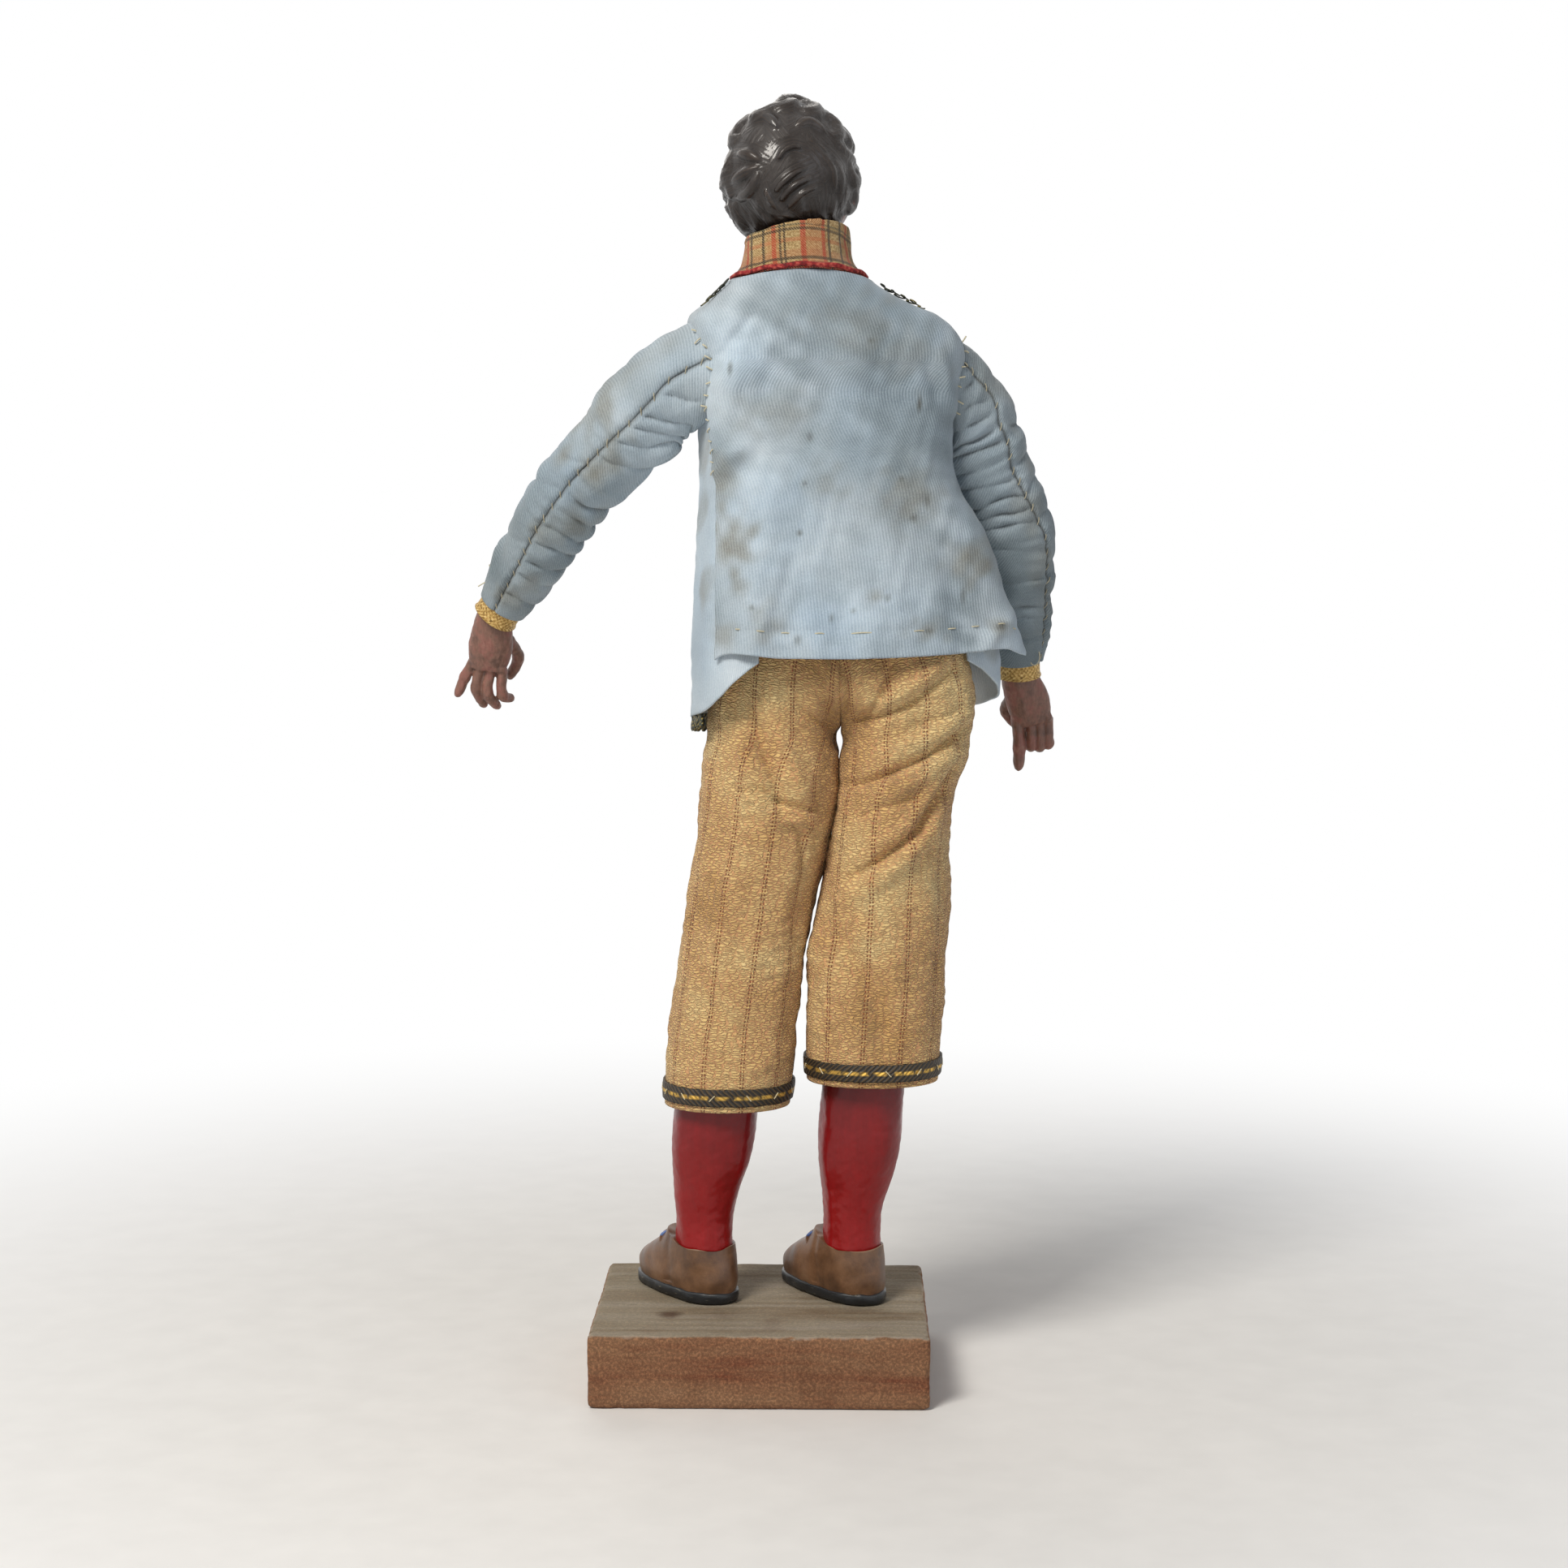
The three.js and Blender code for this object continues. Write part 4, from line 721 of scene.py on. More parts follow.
def rod(name, line, halves, sides=10):
    """A round bar along points, with a half width at each, as a closed mesh."""
    line = np.array(line, float)
    halves = np.broadcast_to(halves, len(line))
    way = unit(np.gradient(line, axis=0))
    first = unit(np.cross(way, [0.31, 0.17, 0.93]))
    second = np.cross(way, first)
    turn = np.arange(sides) / sides * 2 * math.pi
    ring = line[:, None] + halves[:, None, None] * (
        np.cos(turn)[None, :, None] * first[:, None] + np.sin(turn)[None, :, None] * second[:, None])
    ends = np.stack([line[0] - way[0] * halves[0] * 0.6, line[-1] + way[-1] * halves[-1] * 0.6])
    points = np.concatenate([ring.reshape(-1, 3), ends])
    count = len(line)
    faces = []
    for row in range(count - 1):
        for i in range(sides):
            j = (i + 1) % sides
            faces.append((row * sides + i, row * sides + j, (row + 1) * sides + j, (row + 1) * sides + i))
    for i in range(sides):
        j = (i + 1) % sides
        faces.append((count * sides, j, i))
        faces.append((count * sides + 1, (count - 1) * sides + i, (count - 1) * sides + j))
    mesh = bpy.data.meshes.new(name)
    mesh.from_pydata((points * MM).tolist(), [], faces)
    piece = bpy.data.objects.new(name, mesh)
    bpy.context.scene.collection.objects.link(piece)
    return piece


def fused(name, pieces, voxel, smooths):
    """Joins overlapping closed pieces into one skin."""
    bpy.ops.object.select_all(action="DESELECT")
    for piece in pieces:
        piece.select_set(True)
    bpy.context.view_layer.objects.active = pieces[0]
    bpy.ops.object.join()
    whole = bpy.context.object
    whole.name = whole.data.name = name
    return finished(
        whole,
        ("REMESH", {"mode": "VOXEL", "voxel_size": voxel * MM}),
        ("SMOOTH", {"factor": 0.5, "iterations": smooths}),
    )


def search_tree(points):
    """A tree that finds the nearest of many points."""
    tree = KDTree(len(points))
    for i, spot in enumerate(points):
        tree.insert(spot, i)
    tree.balance()
    return tree


draw = np.random.default_rng(8)
crown = unit(np.array([-0.12, 0.5, 0.86]))
lock_lines = []


def on_face(away):
    """Whether a direction looks out of the forehead, the face or a cheek."""
    return away[1] < -0.42 + 0.5 * max(0, away[2] - 0.45) or (away[1] < 0.02 and away[2] < -0.28)


def comb_lock(away, length, swing, hook, height, half):
    """One lock: from a direction it is combed away from the crown and down, swinging from side to side."""
    phase = draw.uniform(0, 2 * math.pi)
    spots = []
    for step in range(LOCK_STEPS):
        share = step / (LOCK_STEPS - 1)
        spots.append(away)
        nape = ease(np.array([-away[2]]), -0.25, 0.35)[0] * (away[1] > 0)
        out = away - crown * (away @ crown)
        out = out / max(np.linalg.norm(out), 0.2)
        flow = out + np.array([-0.5 * nape, 0, -0.3 - 0.8 * nape]) + 0.5 * np.cross(crown, away) * (1 - nape)
        flow -= away * (flow @ away)
        flow = unit(flow)
        heading = swing * math.sin(2 * math.pi * share * 1.2 + phase) + hook * share ** 2
        ahead = flow * math.cos(heading) + np.cross(away, flow) * math.sin(heading)
        away = unit(away + ahead * length / LOCK_STEPS)
        if on_face(away) and step > 2:
            break
    share = np.linspace(0, 1, LOCK_STEPS)
    spots = np.array(spots)
    spots = np.stack([np.interp(share, np.linspace(0, 1, len(spots)), spots[:, i]) for i in range(3)], axis=1)
    rise = height * np.sin(math.pi * np.clip(0.15 + share * 0.8, 0, 1))
    lock_lines.append((turned(skull_reach(spots) + spots * rise[:, None]), half))


def curved_over(ways):
    """Directions shared evenly along a smooth run over the head."""
    spots = np.array(ways)
    share = np.linspace(0, 1, len(spots))
    run = np.stack(
        [through(*zip(share, spots[:, i]))(np.linspace(0, 1, LOCK_STEPS)) for i in range(3)], axis=1)
    return unit(run)


def bare(away):
    """Whether a direction looks out of the face or below the hairline."""
    return on_face(away) or away[2] < (-0.66 if away[1] > 0.25 else -0.42 + 0.5 * away[1])


def over_head(count):
    """Directions spread evenly over the hair."""
    for k in range(count):
        z = 1 - (k + 0.5) / count * 2
        turn = k * math.pi * (3 - math.sqrt(5))
        away = np.array([math.sqrt(1 - z * z) * math.cos(turn), math.sqrt(1 - z * z) * math.sin(turn), z])
        away += draw.normal(size=3) * 0.06
        away = unit(away)
        if not bare(away):
            yield away


for away in over_head(BIG_LOCKS):
    comb_lock(
        away, draw.uniform(0.8, 1.2), draw.uniform(0.2, 0.5), draw.normal() * 0.4, draw.uniform(-2.4, -1.0),
        draw.uniform(3.8, 4.8))


def seen_behind(azimuth, rise):
    """A direction of the untilted head from degrees right of and above the middle of its seen side."""
    azimuth, rise = math.radians(azimuth) - HEAD_TURN, math.radians(rise)
    return np.array([-math.sin(azimuth) * math.cos(rise), math.cos(azimuth) * math.cos(rise), math.sin(rise)])


# Thin ridges combed down the nape.
for azimuth, rise, length, hook in [
    (-56, -16, 0.45, 0.5), (-46, -24, 0.42, 0.4), (-36, -18, 0.5, 0.6), (-28, -26, 0.4, 0.5),
    (8, -34, 0.3, 0.8), (16, -30, 0.3, 0.2), (26, -26, 0.32, 0), (36, -24, 0.35, -0.2),
    (46, -14, 0.4, -0.3), (54, -24, 0.35, -0.3)]:
    comb_lock(seen_behind(azimuth, rise), length, 0.2, hook, draw.uniform(1.3, 1.9), draw.uniform(1.0, 1.4))
# Wavy locks: a faint S in the middle, short bright waves below it, and a fan that turns to the left side.
for half, *turns in [
    (0.8, (-7, 9), (-2, 15), (6, 18), (13, 17)), (0.9, (-10, -13), (-3, -7), (6, -1), (16, 3)),
    (0.9, (-6, -19), (2, -12), (11, -7), (21, -3)), (0.9, (0, -23), (8, -17), (17, -12), (26, -9)),
    (0.9, (-7, -28), (1, -29), (9, -33)), (1.1, (-19, -12), (-16, -19), (-10, -26)),
    (1.2, (-17, -29), (-9, -38), (3, -46)), (1.1, (-26, -28), (-23, -35), (-18, -42)),
    (2.0, (-24, 9), (-38, 14), (-52, 16)), (2.0, (-25, 4), (-42, 0), (-60, -4)),
    (2.0, (-24, 0), (-36, -12), (-56, -16)), (2.2, (-10, 34), (-26, 44), (-46, 40)),
    (2.2, (10, 36), (26, 40), (42, 30)), (1.8, (30, 14), (40, 4), (46, -10))]:
    spots = curved_over([seen_behind(*turn) for turn in turns])
    lock_lines.append((turned(skull_reach(spots) + spots * (3.3 - 0.85 * half)), half))

# Rounded curls stand out at the sides, over the brow and on top, each turning in on itself.
for azimuth, rise, size, hand, half in [
    (-66, 36, 5.0, 1, 4.3), (-79, 6, 5.6, -1, 4.4), (-75, -24, 4.8, 1, 3.7), (-44, 56, 5.2, -1, 4.0),
    (-14, 66, 5.4, 1, 4.0), (16, 78, 5.0, 1, 4.2), (30, 60, 5.2, -1, 3.9), (55, 42, 4.8, 1, 3.7),
    (72, 27, 3.4, -1, 2.9), (79, 6, 4.4, 1, 3.3), (76, -15, 3.6, -1, 2.9), (56, -34, 3.6, 1, 1.9),
    (103, 30, 5.0, 1, 2.9), (-133, 30, 5.0, -1, 2.9), (125, 52, 5.0, -1, 2.9), (-155, 52, 5.0, 1, 2.9),
    (157, 58, 5.0, 1, 2.9), (100, 0, 4.6, -1, 2.7), (-112, 4, 4.8, 1, 2.8), (-106, 44, 5.2, 1, 2.9)]:
    away = seen_behind(azimuth, rise)
    east = unit(np.cross([0, 0, 1.0], away))
    north = np.cross(away, east)
    share = np.linspace(0, 1, LOCK_STEPS)
    turn = hand * share * 1.6 * math.pi + draw.uniform(0, 6)
    reach = size * (1 - 0.65 * share) / 21
    spots = unit(away + np.outer(np.cos(turn) * reach, east) + np.outer(np.sin(turn) * reach, north))
    lock_lines.append((turned(skull_reach(spots) + spots * (3.0 - 0.85 * half + 1.0 * share)[:, None]), half))

skull, away = ball_piece("skull", 64, 48)
away = unit(away)
face = ease(-away[:, 1], 0.25, 0.6) * ease(0.62 - away[:, 2], 0, 0.2)
hair_cap = (1 - face) * ease(away[:, 2], -0.75, -0.5)


def dome(u, v, wide, tall):
    return np.exp(-((away[:, 0] - u) / wide) ** 2 - ((away[:, 2] - v) / tall) ** 2)


eye_hollows = dome(0.36, 0.12, 0.2, 0.11) + dome(-0.36, 0.12, 0.2, 0.11)
relief = -2.0 * eye_hollows - 1.1 * dome(0, -0.335, 0.3, 0.05)
relief += 0.9 * dome(0, 0.3, 0.5, 0.08) + 1.2 * (dome(0.5, -0.2, 0.2, 0.16) + dome(-0.5, -0.2, 0.2, 0.16))
relief += 2.2 * dome(0, -0.8, 0.26, 0.15)
relief *= face * (away[:, 1] < 0)
move_to(skull, turned(skull_reach(away) + away * (relief + 1.9 * hair_cap)[:, None]))
neck_foot = trunk_place(np.zeros(1), np.zeros(1), np.array([306.0]))[0]
neck_mid = trunk_place(np.zeros(1), np.zeros(1), np.array([324.0]))[0]
neck_top = HEAD_MIDDLE + [0, 3, -12]
share = np.linspace(0, 1, 12)[:, None]
neck_line = (1 - share) ** 2 * neck_foot + 2 * share * (1 - share) * neck_mid + share ** 2 * neck_top
clay_lumps = [skull, rod("neck", neck_line, np.linspace(11.8, 10.5, 12), 24)]
bust, ball = ball_piece("bust", 40, 24)
move_to(bust, trunk_place(ball[:, 0] * 20.5, ball[:, 1] * 10.6, 304 + 11.2 * ball[:, 2]))
clay_lumps.append(bust)
clay_lumps += [
    rod(
        "nose_bridge",
        turned(np.array([[0, -20.3, 5.5], [0, -22.2, 1.5], [0, -24.2, -2.6], [0, -25.0, -4.6]])),
        [1.5, 1.45, 1.7, 1.9]),
    blob("nose_tip", (0, -24.7, -4.7), (2.1, 1.9, 1.8)),
    blob("nose_wing_left", (2.0, -23.2, -5.0), (1.3, 1.8, 1.4)),
    blob("nose_wing_right", (-2.0, -23.2, -5.0), (1.3, 1.8, 1.4)),
    blob("brow_left", (6.2, -19.3, 6.4), (4.6, 1.8, 1.2), (0, 8, -14)),
    blob("brow_right", (-6.2, -19.3, 6.4), (4.6, 1.8, 1.2), (0, -8, 14)),
    blob("upper_lip", (0, -21.6, -9.7), (3.9, 1.7, 0.95)),
    blob("lower_lip", (0, -21.3, -11.6), (3.2, 1.7, 1.1)),
    blob("lower_face", (0, -11.3, -11.5), (11.5, 10.6, 10)),
    blob("chin", (0, -18.4, -17.4), (4.8, 3.2, 3.2)),
    blob("cheek_left", (7.6, -15.2, -4.6), (5, 5.2, 5)),
    blob("cheek_right", (-7.6, -15.2, -4.6), (5, 5.2, 5)),
    blob("ear_left", (17.6, 0.4, -1.5), (1.6, 3.2, 5.0), (8, 0, 12)),
    blob("ear_right", (-17.6, 0.4, -1.5), (1.6, 3.2, 5.0), (8, 0, -12))]
taper = through((0, 0.55), (0.25, 0.95), (0.55, 1), (0.85, 0.72), (1, 0.3))(np.linspace(0, 1, LOCK_STEPS))
clay_lumps += [rod(f"lock_{i}", line, half * taper, 8) for i, (line, half) in enumerate(lock_lines)]
head = fused("head_and_bust_clay", clay_lumps, 0.43, 4)

# Each point of the hair takes the run of its nearest lock, for strands combed along the lock.
at = places(head)
lock_points = np.concatenate([line for line, _ in lock_lines])
lock_ways = unit(np.concatenate([np.gradient(line, axis=0) for line, _ in lock_lines]))
lock_halves = np.concatenate([half * taper for _, half in lock_lines])
nearest = search_tree(lock_points)
found = [nearest.find(spot) for spot in at]
which = np.array([f[1] for f in found])
distance = np.array([f[2] for f in found])
local = (at - HEAD_MIDDLE) @ np.array([
    [math.cos(HEAD_TURN), -math.sin(HEAD_TURN), 0],
    [math.sin(HEAD_TURN), math.cos(HEAD_TURN), 0],
    [0, 0, 1],
])
away = unit(local / SKULL)
outward = normals(head)
across = np.cross(lock_ways[which], outward)
across /= np.maximum(np.linalg.norm(across, axis=1), 1e-6)[:, None]
sideways = np.einsum("ij,ij->i", at - lock_points[which], across)
lock_number = which // LOCK_STEPS
is_hair = 1 - ease(distance - lock_halves[which], 0.5, 1.1)
ahead, above = -away[:, 1], away[:, 2]
is_hair += (1 - ease(ahead, 0.2, 0.45)) * ease(above, -0.36, -0.22) + (1 - ease(ahead, -0.16, 0.02))
is_hair += ease(above, 0.62, 0.76) * (1 - ease(ahead, 0.5, 0.66)) + ease(above, 0.8, 0.9)
is_hair = np.clip(is_hair, 0, 1) * (at[:, 2] > 350)
combed = head.vertex_groups.new(name="combed")
combed.add(np.nonzero(is_hair > 0.5)[0].tolist(), 1.0, "REPLACE")
finished(head, ("SMOOTH", {"factor": 0.5, "iterations": 7, "vertex_group": "combed"}))
at, outward = places(head), normals(head)
groove = 0.05 * np.sin(sideways * 4.6 + lock_number * 1.7) + 0.04 * np.sin(sideways * 7.7 + lock_number)
move_to(head, at + outward * (is_hair * groove)[:, None])
x, y, z = local.T
lips = np.exp(-((x / 3.7) ** 4) - (((z + 10.6) / 1.7) ** 4)) * (y < -17)
arch = z - 7.0 + 0.05 * (np.abs(x) - 6.5) ** 2
brows = np.exp(-(((np.abs(x) - 6.4) / 3.9) ** 4) - (arch / 0.85) ** 2) * (y < -10)
for name, values in [
    ("hair", is_hair), ("strand", sideways + lock_number * 3.7), ("lips", lips), ("brows", brows)]:
    layer = head.data.attributes.new(name, "FLOAT", "POINT")
    layer.data.foreach_set("value", values.astype(np.float32))

# Oil paint under old varnish: warm brown skin, redder on lips and cheeks, and near-black hair whose
# varnish catches the light along the strands.
clay_paint = new_material("painted_clay", IOR=1.36, Coat_Roughness=0.13)
place = node(clay_paint, "TexCoord", output="Object")
hair = node(clay_paint, "Attribute", attribute_name="hair", output="Fac")
strand = node(clay_paint, "Attribute", attribute_name="strand", output="Fac")
comb = node(clay_paint, "TexNoise", noise_dimensions="1D", Scale=3.2, Detail=3, Roughness=0.6, W=strand)
cloud = node(clay_paint, "TexNoise", Scale=120, Detail=5, Roughness=0.6, Vector=place)
skin = node(clay_paint, "ValToRGB", cloud, stops=[(0.32, "#623a31"), (0.5, "#7d4e42"), (0.68, "#93604f")])
dark = node(clay_paint, "ValToRGB", comb, stops=[(0.3, "#150f0c"), (0.5, "#221a15"), (0.7, "#34281f")])
hollow = node(clay_paint, "NewGeometry", output="Pointiness")
deep = node(clay_paint, "MapRange", From_Min=0.43, From_Max=0.53, To_Min=0.45, To_Max=1.1, Value=hollow)
shaded = node(clay_paint, "MixRGB", blend_type="MULTIPLY", Fac=0.9, Color1=dark, Color2=deep)
for name, tint in (("lips", "#6b2f2c"), ("brows", "#2a1a14")):
    share = node(clay_paint, "Attribute", attribute_name=name, output="Fac")
    skin = node(clay_paint, "MixRGB", Color2=tint, Fac=share, Color1=skin)
colour = node(clay_paint, "MixRGB", Fac=hair, Color1=skin, Color2=shaded)
rough = node(clay_paint, "MapRange", From_Min=0.3, From_Max=0.7, To_Min=0.34, To_Max=0.56, Value=cloud)
varnish = node(clay_paint, "MapRange", From_Min=0.38, From_Max=0.62, To_Min=0.1, To_Max=0.6, Value=cloud)
combed = node(clay_paint, "Math", comb, hair, operation="MULTIPLY")
ridge = node(clay_paint, "Bump", Strength=0.4, Distance=0.0003, Height=combed)
dents = node(clay_paint, "Bump", Strength=0.2, Distance=0.0006, Height=cloud, Normal=ridge)
put(clay_paint, Base_Color=colour, Roughness=rough, Coat_Weight=varnish, Normal=dents)
dressed(head, clay_paint, "torso", "fired_clay", "head_and_bust")

# Lids modelled over each eye, leaving an almond opening.
lid_paint = new_material("painted_clay_lids", Base_Color="#74473b", Roughness=0.4)
for side, sign in SIDES.items():
    middle = np.array([sign * 0.18 * 36.5, -0.405 * 43, 0.055 * 45.5])
    lid, _ = ball_piece(f"{side}_eyelids", 64, 48)
    bpy.ops.object.mode_set(mode="EDIT")
    shape = bmesh.from_edit_mesh(lid.data)
    gone = []
    for face in shape.faces:
        x, y, z = face.calc_center_median()
        round_turn = math.degrees(math.atan2(x, -y))
        rise = math.degrees(math.asin(max(-1, min(1, z / math.sqrt(x * x + y * y + z * z)))))
        almond = 1 - (round_turn / 52) ** 2
        if y > 0.25 or (y < 0 and almond > 0 and -17 * almond < rise < 20 * almond):
            gone.append(face)
    bmesh.ops.delete(shape, geom=gone, context="FACES")
    bmesh.update_edit_mesh(lid.data)
    bpy.ops.object.mode_set(mode="OBJECT")
    ball = places(lid) * MM
    move_to(lid, turned(ball * 3.05 + middle))
    thickened(lid, 0.4)
    dressed(lid, lid_paint, "torso", "fired_clay", "head_and_bust")

# Glass eyes: brown iris and black pupil under clear glass, on a dull ivory ball.
ahead = Vector((math.sin(HEAD_TURN), -math.cos(HEAD_TURN), 0))
for side in SIDES:
    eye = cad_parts[f"{side}_glass_eye"]
    eye_glass = new_material(f"painted_glass_{side}_eye", Roughness=0.06, IOR=1.52)
    place = node(eye_glass, "TexCoord", output="Object")
    from_middle = node(eye_glass, "VectorMath", place, places(eye).mean(axis=0) * MM, operation="SUBTRACT")
    looking = node(eye_glass, "VectorMath", from_middle, operation="NORMALIZE")
    facing = node(eye_glass, "VectorMath", looking, ahead, operation="DOT_PRODUCT", output="Value")
    iris = node(
        eye_glass, "ValToRGB", facing,
        stops=[(0.86, "#d8cdb8"), (0.875, "#3a2415"), (0.95, "#5a3a20"), (0.965, "#120c08")])
    put(eye_glass, Base_Color=iris)
    eye.data.materials.clear()
    eye.data.materials.append(eye_glass)


# Carved hands
# Each hand is carved from one piece of lime wood and painted brown, with tendons and knuckles cut in.
# A hole in its wrist takes the end of the arm wire.
FINGERS = {
    "left": [
        [(93, -27, 205), (97.2, -29, 198), (100.1, -30.5, 191.5)],
        [(92, -27.5, 201), (93.6, -28.5, 194), (91.4, -33.5, 188)],
        [(88.8, -27.5, 200.5), (89.9, -28.5, 192.5), (87, -34, 187.6)],
        [(85, -27.5, 200.5), (85.3, -30, 192), (82.6, -35, 190.4)],
        [(83, -29, 210), (80.6, -35, 204), (84, -38.5, 197)]],
    "right": [
        [(-93, -41.5, 184), (-93.4, -42.5, 175.4), (-93, -47.5, 176.2), (-92.2, -48, 182)],
        [(-90.4, -41.5, 183), (-90.6, -42.5, 174.6), (-90.2, -48, 175), (-89.8, -48, 181)],
        [(-87.6, -41.5, 183), (-87.9, -42.5, 174.8), (-87.2, -48, 175), (-86.6, -48, 181)],
        [(-83, -41.5, 184), (-83.8, -42, 174), (-83.6, -42.5, 166.8)],
        [(-82, -42, 192), (-79.6, -48, 186), (-84, -51.5, 180)]]}


def curved(points, count):
    """Evenly shared points of a smooth curve through a few points."""
    points = np.array(points, float)
    spots = np.r_[0, np.cumsum(np.linalg.norm(np.diff(points, axis=0), axis=1))]
    where = np.linspace(0, spots[-1], count)
    return np.stack([through(*zip(spots, points[:, i]))(where) for i in range(3)], axis=1)


def flat_rod(name, line, wide, deep, wanted, sides=24):
    """A bar like rod, wider along the wanted direction than across it."""
    piece = rod(name, line, 1.0, sides)
    at = places(piece)
    way = unit(np.gradient(line, axis=0))
    first = unit(wanted - way * (way @ wanted)[:, None])
    second = np.cross(way, first)
    turn = np.arange(sides) / sides * 2 * math.pi
    ring = line[:, None] + np.cos(turn)[None, :, None] * (wide[:, None] * first)[:, None]
    ring = ring + np.sin(turn)[None, :, None] * (deep[:, None] * second)[:, None]
    at[:-2] = ring.reshape(-1, 3)
    move_to(piece, at)
    alone(piece)
    bpy.ops.object.mode_set(mode="EDIT")
    bpy.ops.mesh.select_all(action="SELECT")
    bpy.ops.mesh.normals_make_consistent(inside=False)
    bpy.ops.object.mode_set(mode="OBJECT")
    return piece


# Brown flesh paint, redder at the knuckles and dusty grey between the fingers.
hand_paint = new_material("painted_lime_wood", IOR=1.48, Coat_Weight=0.12, Coat_Roughness=0.35)
place = node(hand_paint, "TexCoord", output="Object")
cloud = node(hand_paint, "TexNoise", Scale=170, Detail=5, Roughness=0.65, Vector=place)
carving = node(hand_paint, "Mapping", Scale=(1300, 1300, 160), Vector=place)
grain = node(hand_paint, "TexNoise", Scale=1, Detail=4, Roughness=0.65, Vector=carving)
flesh = node(
    hand_paint, "ValToRGB", cloud,
    stops=[(0.32, "#5f4339"), (0.48, "#7d5a4c"), (0.6, "#8a5a50"), (0.74, "#977263")])
hollow = node(hand_paint, "NewGeometry", output="Pointiness")
greying = node(hand_paint, "MapRange", From_Min=0.5, From_Max=0.42, To_Max=0.75, Value=hollow)
greyed = node(hand_paint, "MixRGB", Color2="#4d4340", Fac=greying, Color1=flesh)
worn = node(hand_paint, "MapRange", From_Min=0.53, From_Max=0.6, To_Max=0.5, Value=hollow)
pink = node(hand_paint, "MixRGB", Color2="#a07468", Fac=worn, Color1=greyed)
streaked = node(hand_paint, "MixRGB", blend_type="SOFT_LIGHT", Fac=0.7, Color1=pink, Color2=grain)
rough = node(hand_paint, "MapRange", From_Min=0.3, From_Max=0.7, To_Min=0.4, To_Max=0.65, Value=cloud)
cuts = node(hand_paint, "Bump", Strength=0.35, Distance=0.0003, Height=grain)
put(hand_paint, Base_Color=streaked, Roughness=rough, Normal=cuts)

for side, (_, elbow, wrist) in ARMS.items():
    fingers = [np.array(points) + [0, 0, SOLES] for points in FINGERS[side]]
    knuckles = np.mean([points[0] for points in fingers[:4]], axis=0)
    up_arm = unit(elbow - wrist)
    line = curved([wrist + up_arm * 12, wrist, wrist + (knuckles - wrist) * 0.55, knuckles - [0, 0, 1.5]], 24)
    share = np.linspace(0, 1, 24)
    wide = through((0, 5.5), (0.4, 6), (0.75, 7.2), (1, 5.8))(share)
    deep = 10.4 * through((0, 0.5), (0.4, 0.48), (0.75, 0.42), (1, 0.24))(share)
    lumps = [flat_rod("palm", line, wide, deep, np.array([1.0, 0, 0]))]
    back_of_hand = np.array([0.1, 1.0, 0.12])
    for i, points in enumerate(fingers):
        width = 4.0 if i == 4 else 4.3 if side == "right" and i == 3 else 3.7
        run = curved(points, 26)
        bends = np.linalg.norm(run[None] - points[1:-1, None], axis=2)
        share = np.linspace(0, 1, 26)
        half = width / 2 * through((0, 1.02), (0.35, 0.93), (0.7, 0.92), (0.92, 0.82), (1, 0.55))(share)
        half += 0.28 * np.exp(-((bends / 1.5) ** 2)).sum(axis=0)
        lumps.append(rod("finger", run, half, 14))
        if i < 4:
            knuckle = points[0] + back_of_hand
            line = knuckle + np.outer([-1.2, 0, 1.2], [0, 0, 1])
            lumps.append(rod("knuckle", line, [1.2, 1.75, 1.2], 12))
            foot = wrist + (knuckles - wrist) * 0.1 + [-1.4 * (i - 1.5), 0, 0]
            bow = np.array([knuckle, (knuckle + foot) / 2, foot]) + np.outer([0.45, 2.6, 4.2], back_of_hand)
            lumps.append(rod("tendon", curved(bow, 14), np.linspace(0.95, 0.6, 14), 8))
    hand = fused(f"{side}_carved_hand", lumps, 0.3, 3)
    pushed(hand, 0.06 * wander(places(hand), 2.4, 31))
    dressed(hand, hand_paint, f"{side}_forearm", "carved_hand", f"{side}_hand")


# Breeches
# Knee breeches of ochre crêpe with rust-coloured dotted stripes, cut as two halves: each is sewn to
# a tube below the crotch and to its twin along the middle of seat and front. The hems are turned up.
BREECHES_CLOTH = 0.8
BREECHES_HEM = {"left": 64, "right": 72}
CROTCH = 180.5
BREECHES_TOP = 219.0
left_outer = through((62, 31), (80, 30.2), (105, 27.2), (131, 23.5), (160, 19.5), (200, 17))
right_outer = through(
    (70, -56), (105, -58), (131, -58.8), (154, -58.8), (163, -60), (171, -63), (182, -65.6), (200, -66))
left_inseam = through(
    (62, -8.8), (105, -13.2), (131, -17.3), (160, -23.3), (174.5, -24.5), (179.5, -23.6), (183.5, -24.7))
right_inseam = through(
    (70, -14.2), (105, -13.9), (131, -18), (160, -23.6), (174.5, -24.6), (179.5, -25.5), (183.5, -24.7))
leg_deep = through((62, 19), (105, 19.5), (160, 20), (190, 19.5))


